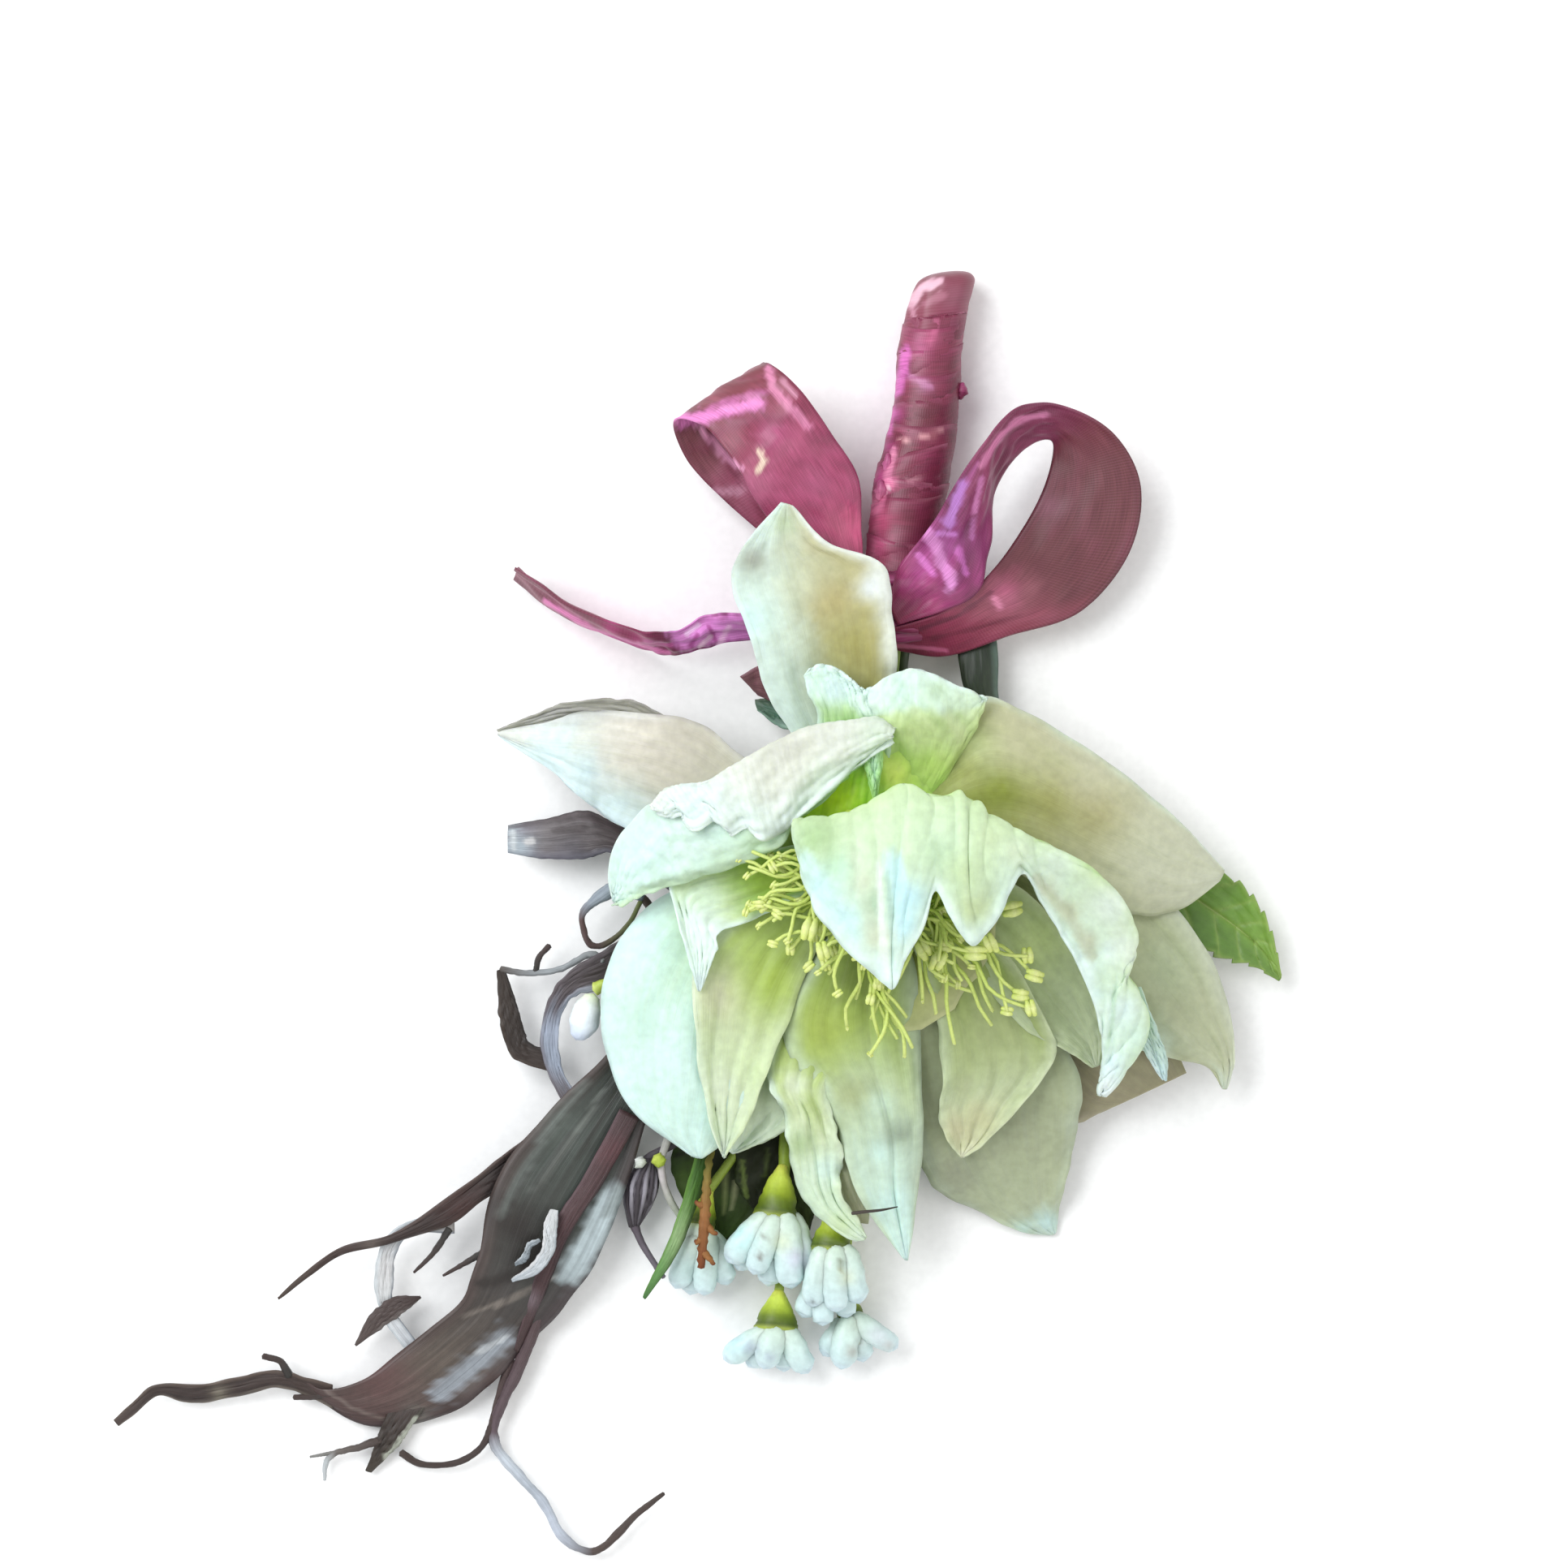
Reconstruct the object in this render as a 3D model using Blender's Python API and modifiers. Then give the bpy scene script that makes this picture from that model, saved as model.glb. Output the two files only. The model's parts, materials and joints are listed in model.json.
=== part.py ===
"""A corsage lying on its back: one double hellebore bloom, a sprig of white bell florets, a dried
strap-leaved sprig and a green leaf, with their stems wrapped in satin ribbon and tied with a bow.

The handle points along +Y, the bloom faces up (+Z) and lies towards -Y, and the part rests on z = 0.
Every petal, leaf, strap and ribbon is a grid laid between two edge lines, then thickened. The edge
lines are tables of points in millimetres, measured from a point beside the knot of the bow on a view
from straight above. What lies higher looks larger there, so every finished piece is drawn in or out
by its height, and the knot itself is brought over the origin.
"""
import math

import bmesh
import bpy
import numpy as np
from mathutils import Vector

MM = 0.001
KNOT = np.array((-2.4, 1.2, 0.0))      # centre of the knot in the measuring frame, mm

# Driving sizes, mm
PETAL_THICK = 0.7
LEAF_THICK = 0.7
RIBBON_THICK = 0.7
STRAP_THICK = 0.8
HANDLE_LENGTH = 36.5
HANDLE_RADIUS = 3.95
HANDLE_BORE = 3.3
HANDLE_START = 4.6                     # along the handle's axis, from the centre of the knot
RIBBON_TURNS = 10
KNOT_RADIUS = 5.35
KNOT_BORE = 3.55
KNOT_HALF_LENGTH = 4.1
AXIS_HEIGHT_KNOT = 5.12                # height of the stems' centre line above the table
AXIS_HEIGHT_END = 3.86
AXIS_SLOPE = 0.158                     # sideways drift of the handle for each mm of its length
STEM_RADIUS = 0.75
BLOOM_STEM_RADIUS = 1.2
STEM_RING = 2.25                       # ring of thin stems round the bloom's stem in the handle
STEM_SETBACK = 2.2                     # how far the stems' cut ends stay inside the handle's end
CORE_CENTRE = (-4.5, -31.0, 18.0)
CORE_RADII = (4.0, 4.0, 2.3)
RECEPTACLE_CENTRE = (-4.5, -29.0, 12.5)
RECEPTACLE_RADII = (5.5, 5.5, 3.0)
VIEW_CENTRE = (-14.0, -21.8)           # the point of the table that the measured view looks down on, mm
VIEW_HEIGHT = 820.0                    # eye above the table, mm
TRUE_LEVEL = 15.0                      # height at which the measured view shows sizes as they are, mm

for old in list(bpy.data.objects):
    bpy.data.objects.remove(old)

corsage = bpy.data.collections.new("corsage")
bpy.context.scene.collection.children.link(corsage)
guides = bpy.data.collections.new("guides")
bpy.context.scene.collection.children.link(guides)
guides.hide_render = True


def colour_slot(name, colour, roughness):
    """A plain material with one colour, named for its slot."""
    slot = bpy.data.materials.new(name)
    slot.use_nodes = True
    shader = slot.node_tree.nodes["Principled BSDF"]
    shader.inputs["Base Color"].default_value = (*colour, 1.0)
    shader.inputs["Roughness"].default_value = roughness
    return slot


PETAL_WHITE = colour_slot("petal_white", (0.80, 0.85, 0.70), 0.6)
STAMEN_YELLOW = colour_slot("stamen_yellow", (0.55, 0.68, 0.18), 0.6)
RIBBON_WINE = colour_slot("ribbon_wine", (0.22, 0.04, 0.09), 0.35)
STEM_GREEN = colour_slot("stem_green", (0.22, 0.34, 0.08), 0.6)
LEAF_GREEN = colour_slot("leaf_green", (0.14, 0.28, 0.05), 0.5)
FOLIAGE_BROWN = colour_slot("foliage_brown", (0.07, 0.045, 0.035), 0.7)
FLORET_WHITE = colour_slot("floret_white", (0.80, 0.88, 0.88), 0.55)
SPRIG_OLIVE = colour_slot("sprig_olive", (0.16, 0.20, 0.06), 0.65)


def smooth_line(points, steps):
    """A smooth line through the points, given at steps + 1 places."""
    pts = np.array(points, float)
    ends = np.vstack([2 * pts[0] - pts[1], pts, 2 * pts[-1] - pts[-2]])
    place = np.linspace(0, len(pts) - 1, steps + 1)
    first = np.minimum(place.astype(int), len(pts) - 2)
    f = (place - first)[:, None]
    a, b, c, d = ends[first], ends[first + 1], ends[first + 2], ends[first + 3]
    return 0.5 * (2 * b + (c - a) * f + (2 * a - 5 * b + 4 * c - d) * f**2
                  + (3 * b - a - 3 * c + d) * f**3)


def mesh_object(name, bm):
    """An object made from a bmesh, left in no collection."""
    data = bpy.data.meshes.new(name)
    bm.to_mesh(data)
    bm.free()
    return bpy.data.objects.new(name, data)


def applied(obj):
    """The object's mesh with its modifiers applied, as a new plain object."""
    guides.objects.link(obj)
    bpy.context.view_layer.update()
    ready = obj.evaluated_get(bpy.context.evaluated_depsgraph_get())
    data = bpy.data.meshes.new_from_object(ready)
    name = obj.name
    bpy.data.objects.remove(obj)
    return bpy.data.objects.new(name, data)


def blade(left, right, thick, cup=0.0, wave=0.0, waves=3, teeth=0.0, tooth_count=9, rows=8, cols=4):
    """A thin sheet between two edge lines.

    cup lifts the middle above the edges, wave ruffles both edges and teeth cuts them like a saw.
    """
    low = smooth_line(left, rows) - KNOT
    high = smooth_line(right, rows) - KNOT
    along = np.gradient(0.5 * (low + high), axis=0)
    face = np.cross(high - low, along)
    face /= np.linalg.norm(face, axis=1)[:, None] + 1e-9
    if face[:, 2].mean() < 0:
        face = -face
    bm = bmesh.new()
    bmesh.ops.create_grid(bm, x_segments=cols, y_segments=rows, size=0.5)
    for vert in bm.verts:
        across = vert.co.x + 0.5
        length = vert.co.y + 0.5
        row = min(rows, max(0, round(length * rows)))
        side = 2 * across - 1
        point = low[row] + (high[row] - low[row]) * across
        swell = math.sin(math.pi * min(1.0, max(0.0, length))) ** 0.7
        lift = cup * (1 - side * side) * swell
        lift += wave * side * side * swell * math.sin(2 * math.pi * (waves * length + 0.2 * side))
        point = point + face[row] * lift
        if teeth:
            step = (length * tooth_count) % 1.0
            outward = (high[row] - low[row]) / (np.linalg.norm(high[row] - low[row]) + 1e-9)
            point = point + outward * side * abs(side) * teeth * (0.5 - step) * swell
        vert.co = Vector(point * MM)
    bmesh.ops.triangulate(bm, faces=bm.faces[:])
    sheet = mesh_object("blade", bm)
    shell = sheet.modifiers.new("thickness", "SOLIDIFY")
    shell.thickness = thick * MM
    shell.offset = 0.0
    return applied(sheet)


def tube(points, radii, steps=8, sides=1, flat=1.0):
    """A round tube along a smooth line; radii are given at the points and flat squashes its height."""
    line = smooth_line(np.column_stack([np.array(points, float), np.array(radii, float)]), steps)
    curve = bpy.data.curves.new("tube", "CURVE")
    curve.dimensions = "3D"
    curve.bevel_depth = MM
    curve.bevel_resolution = sides
    curve.use_fill_caps = True
    curve.twist_mode = "Z_UP"
    spline = curve.splines.new("POLY")
    spline.points.add(len(line) - 1)
    for point, (x, y, z, radius) in zip(spline.points, line):
        point.co = ((x - KNOT[0]) * MM, (y - KNOT[1]) * MM, z * MM, 1.0)
        point.radius = radius
    solid = applied(bpy.data.objects.new("tube", curve))
    bm = bmesh.new()
    bm.from_mesh(solid.data)
    bmesh.ops.remove_doubles(bm, verts=bm.verts[:], dist=1e-6)
    if flat != 1.0:
        centres = np.array(line)[:, :3] - KNOT
        for vert in bm.verts:
            here = np.array(vert.co) / MM
            nearest = centres[np.argmin(((centres - here) ** 2).sum(axis=1))]
            vert.co.z = (nearest[2] + (here[2] - nearest[2]) * flat) * MM
    bm.to_mesh(solid.data)
    bm.free()
    return solid


def ball(centre, radii, segments=12, rings=8, turn=(0.0, 0.0, 0.0)):
    """A ball with its own three radii, turned by angles in degrees."""
    bm = bmesh.new()
    bmesh.ops.create_uvsphere(bm, u_segments=segments, v_segments=rings, radius=1.0)
    solid = mesh_object("ball", bm)
    solid.scale = [r * MM for r in radii]
    solid.rotation_euler = [math.radians(a) for a in turn]
    solid.location = Vector((np.array(centre, float) - KNOT) * MM)
    return applied_transform(solid)


def applied_transform(obj):
    """The object with its place, turn and scale moved into its mesh."""
    guides.objects.link(obj)
    bpy.context.view_layer.update()
    obj.data.transform(obj.matrix_world)
    obj.matrix_world.identity()
    obj.location = (0, 0, 0)
    obj.rotation_euler = (0, 0, 0)
    obj.scale = (1, 1, 1)
    guides.objects.unlink(obj)
    return obj


def drawn_to_size(obj):
    """Takes the view's perspective out: each point moves in by (eye - height) / (eye - true level)."""
    points = np.empty(len(obj.data.vertices) * 3)
    obj.data.vertices.foreach_get("co", points)
    points = points.reshape(-1, 3)
    reach = VIEW_HEIGHT - TRUE_LEVEL
    scale = (VIEW_HEIGHT - points[:, 2] / MM) / reach
    centre = np.array(VIEW_CENTRE) * MM
    points[:, :2] = points[:, :2] * scale[:, None] + centre * (VIEW_HEIGHT / reach - scale)[:, None]
    obj.data.vertices.foreach_set("co", points.ravel())
    obj.data.update()


def fused(name, pieces, slot, smooth=True, level=True):
    """All pieces joined into one body, cut level with the table, as a node of the part."""
    first = pieces[0]
    if len(pieces) > 1:
        group = bpy.data.collections.new(name + "_pieces")
        bpy.context.scene.collection.children.link(group)
        for piece in pieces[1:]:
            group.objects.link(piece)
        union = first.modifiers.new("union", "BOOLEAN")
        union.operation = "UNION"
        union.operand_type = "COLLECTION"
        union.collection = group
        union.solver = "MANIFOLD"
        first = applied(first)
        for piece in list(group.objects):
            bpy.data.objects.remove(piece)
        bpy.data.collections.remove(group)
        first = without_pockets(first)
    if level:
        table = table_cutter()
        cut = first.modifiers.new("table", "BOOLEAN")
        cut.operation = "DIFFERENCE"
        cut.object = table
        cut.solver = "MANIFOLD"
        first = applied(first)
        bpy.data.objects.remove(table)
    drawn_to_size(first)
    first.name = name
    first.data.materials.clear()
    first.data.materials.append(slot)
    for face in first.data.polygons:
        face.use_smooth = smooth
    corsage.objects.link(first)
    return first


def without_pockets(obj):
    """Takes away the pockets sealed in between crossing sheets, so the body is solid there."""
    bm = bmesh.new()
    bm.from_mesh(obj.data)
    bm.faces.ensure_lookup_table()
    left_over = set(bm.faces)
    pockets = []
    while left_over:
        front = [left_over.pop()]
        shell = list(front)
        while front:
            face = front.pop()
            for edge in face.edges:
                for other in edge.link_faces:
                    if other in left_over:
                        left_over.remove(other)
                        front.append(other)
                        shell.append(other)
        volume = 0.0
        for face in shell:
            first = face.verts[0].co
            for k in range(1, len(face.verts) - 1):
                volume += first.dot(face.verts[k].co.cross(face.verts[k + 1].co))
        if volume < 1e-12:
            pockets.extend(shell)
    bmesh.ops.delete(bm, geom=pockets, context="FACES")
    bm.to_mesh(obj.data)
    bm.free()
    return obj


def table_cutter():
    """The space under the table top, taken off what would sink into it."""
    bm = bmesh.new()
    bmesh.ops.create_cube(bm, size=0.4)
    cutter = mesh_object("table", bm)
    for vert in cutter.data.vertices:
        vert.co.z -= 0.2
    cutter.display_type = "WIRE"
    guides.objects.link(cutter)
    return cutter


def on_axis(distance):
    """A point of the stems' centre line, at a distance from the knot towards the handle's end."""
    share = distance / (HANDLE_START + HANDLE_LENGTH)
    height = AXIS_HEIGHT_KNOT + (AXIS_HEIGHT_END - AXIS_HEIGHT_KNOT) * max(0.0, share)
    return np.array((KNOT[0] + AXIS_SLOPE * distance, KNOT[1] + distance, height))


def turned_sleeve(profile, segments=16, slant=0.0):
    """A body turned round the stems' centre line from a closed outline of (distance, radius)."""
    bm = bmesh.new()
    rings = []
    for distance, radius in profile:
        centre = on_axis(distance) - KNOT
        ring = []
        for k in range(segments):
            angle = 2 * math.pi * k / segments
            side = radius * math.cos(angle)
            point = centre + np.array((side, slant * side, radius * math.sin(angle)))
            ring.append(bm.verts.new(point * MM))
        rings.append(ring)
    for here, after in zip(rings, rings[1:] + rings[:1]):
        for k in range(segments):
            nxt = (k + 1) % segments
            bm.faces.new((here[k], here[nxt], after[nxt], after[k]))
    bmesh.ops.recalc_face_normals(bm, faces=bm.faces[:])
    return mesh_object("sleeve", bm)


# The ribbon wound round the stems: a sleeve of overlapping turns, closed at its end
def handle_wrap():
    """Ten overlapping turns of ribbon, the last one folded over the cut ends of the stems."""
    turn = (HANDLE_LENGTH - 3.5) / RIBBON_TURNS
    outside = []
    for k in range(RIBBON_TURNS):
        start = HANDLE_START + k * turn
        swell = 0.7 * (1 - k / RIBBON_TURNS) ** 1.3
        outside.append((start, HANDLE_RADIUS - 0.28 + swell))
        outside.append((start + 0.9 * turn, HANDLE_RADIUS + 0.02 + swell))
    top = HANDLE_START + HANDLE_LENGTH
    outside.append((top - 3.4, HANDLE_RADIUS - 0.2))
    outside.append((top - 1.4, HANDLE_RADIUS - 0.1))
    outside.append((top - 0.45, HANDLE_RADIUS - 0.75))
    outside.append((top, HANDLE_RADIUS - 1.9))
    inside = [(top - 1.1, HANDLE_BORE), (HANDLE_START, HANDLE_BORE)]
    sleeve = turned_sleeve(outside + [(top, 0.45), (top - 1.1, 0.45)] + inside, 15, slant=0.12)
    plug = tube([on_axis(top - 1.0), on_axis(top - 0.5), on_axis(top + 0.05)], (1.4, 1.4, 1.4), 2, 2)
    nub = ball(on_axis(26.4) + (4.2, 0.0, 0.6), (0.75, 1.4, 1.1), 8, 6)
    loose = ball(on_axis(15.2) + (-4.3, 0.0, 1.4), (0.95, 2.0, 1.2), 8, 6)
    return fused("handle_wrap", [sleeve, plug, nub, loose], RIBBON_WINE)


# The bow: the knot's ring round the stems, two loops and two tails of one tied ribbon
LEFT_LOOP = (
    [(-6.3, 3.5, 8.2), (-6.8, 10.0, 9.5), (-7.2, 17.0, 11.0), (-10.5, 22.5, 12.5), (-14.0, 27.5, 13.0),
     (-17.2, 30.6, 11.8), (-18.9, 31.2, 8.6), (-16.5, 29.0, 4.6), (-11.5, 22.0, 3.4), (-8.0, 14.0, 3.0),
     (-6.4, 4.0, 3.2)],
    [(-7.0, -0.5, 8.6), (-11.5, 7.0, 11.0), (-14.5, 12.5, 12.6), (-18.0, 17.0, 13.2), (-21.8, 20.0, 13.4),
     (-26.0, 23.5, 12.0), (-30.0, 24.2, 8.4), (-28.4, 19.4, 4.4), (-24.0, 14.6, 3.2), (-16.5, 8.0, 2.8),
     (-7.2, -0.5, 3.2)],
)
RIGHT_LOOP = (
    [(-1.0, 3.4, 9.6), (0.4, 9.2, 12.6), (4.0, 14.8, 16.0), (8.0, 21.2, 17.2), (12.2, 25.7, 15.4),
     (18.0, 26.0, 11.0), (24.4, 22.4, 8.4), (27.6, 15.8, 6.8), (26.0, 7.6, 5.6), (20.0, 0.2, 4.8),
     (10.0, -3.2, 4.5), (1.6, -3.2, 4.5)],
    [(1.0, -0.8, 8.2), (7.4, 2.4, 8.4), (9.0, 8.8, 6.6), (9.6, 15.4, 5.6), (12.6, 20.4, 5.4),
     (16.4, 21.8, 5.4), (16.6, 19.0, 5.2), (15.0, 14.4, 5.0), (11.8, 9.0, 5.2), (9.0, 5.4, 6.2),
     (6.4, 3.2, 7.0), (2.0, 0.8, 7.4)],
)
LEFT_TAIL = (
    [(-6.9, 0.2, 6.2), (-14.0, 0.8, 9.8), (-22.0, 0.5, 11.2), (-26.0, 0.0, 11.0), (-29.0, -1.6, 10.8),
     (-31.5, -1.9, 10.6), (-35.0, -1.5, 10.4), (-43.0, 1.1, 9.6), (-49.6, 6.0, 8.6)],
    [(-6.9, -1.6, 3.4), (-14.0, -2.4, 1.6), (-21.6, -3.0, 0.8), (-26.0, -4.0, 0.5), (-29.0, -4.6, 0.4),
     (-31.5, -4.6, 0.4), (-35.0, -3.8, 0.4), (-43.0, 0.0, 0.4), (-49.2, 4.9, 0.4)],
)
SECOND_TAIL = (
    [(-6.9, -0.9, 5.6), (-10.5, -3.6, 7.2), (-15.0, -5.2, 8.0), (-19.2, -6.0, 8.2), (-21.8, -7.4, 8.0)],
    [(-6.6, -2.6, 4.2), (-9.8, -7.4, 5.0), (-14.0, -10.0, 5.4), (-17.2, -10.6, 5.6), (-19.6, -9.6, 6.0)],
)


def ribbon_bow():
    """The knot's ring with the loops and tails sunk into its wall."""
    half = KNOT_HALF_LENGTH
    outside = [(-half, KNOT_RADIUS - 0.9), (-half + 0.5, KNOT_RADIUS - 0.15), (-1.6, KNOT_RADIUS),
               (-0.9, KNOT_RADIUS - 0.35), (-0.2, KNOT_RADIUS), (1.4, KNOT_RADIUS),
               (2.0, KNOT_RADIUS - 0.3), (2.6, KNOT_RADIUS - 0.05), (half - 0.3, KNOT_RADIUS - 0.2),
               (half, KNOT_RADIUS - 0.8)]
    ring = turned_sleeve(outside + [(half, KNOT_BORE), (-half, KNOT_BORE)], slant=0.12)
    loops = [blade(*LEFT_LOOP, RIBBON_THICK, rows=18, cols=3),
             blade(*RIGHT_LOOP, RIBBON_THICK, rows=20, cols=3),
             blade(*LEFT_TAIL, RIBBON_THICK, rows=12, cols=2),
             blade(*SECOND_TAIL, RIBBON_THICK, rows=6, cols=3)]
    return fused("ribbon_bow", [ring] + loops, RIBBON_WINE)


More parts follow.
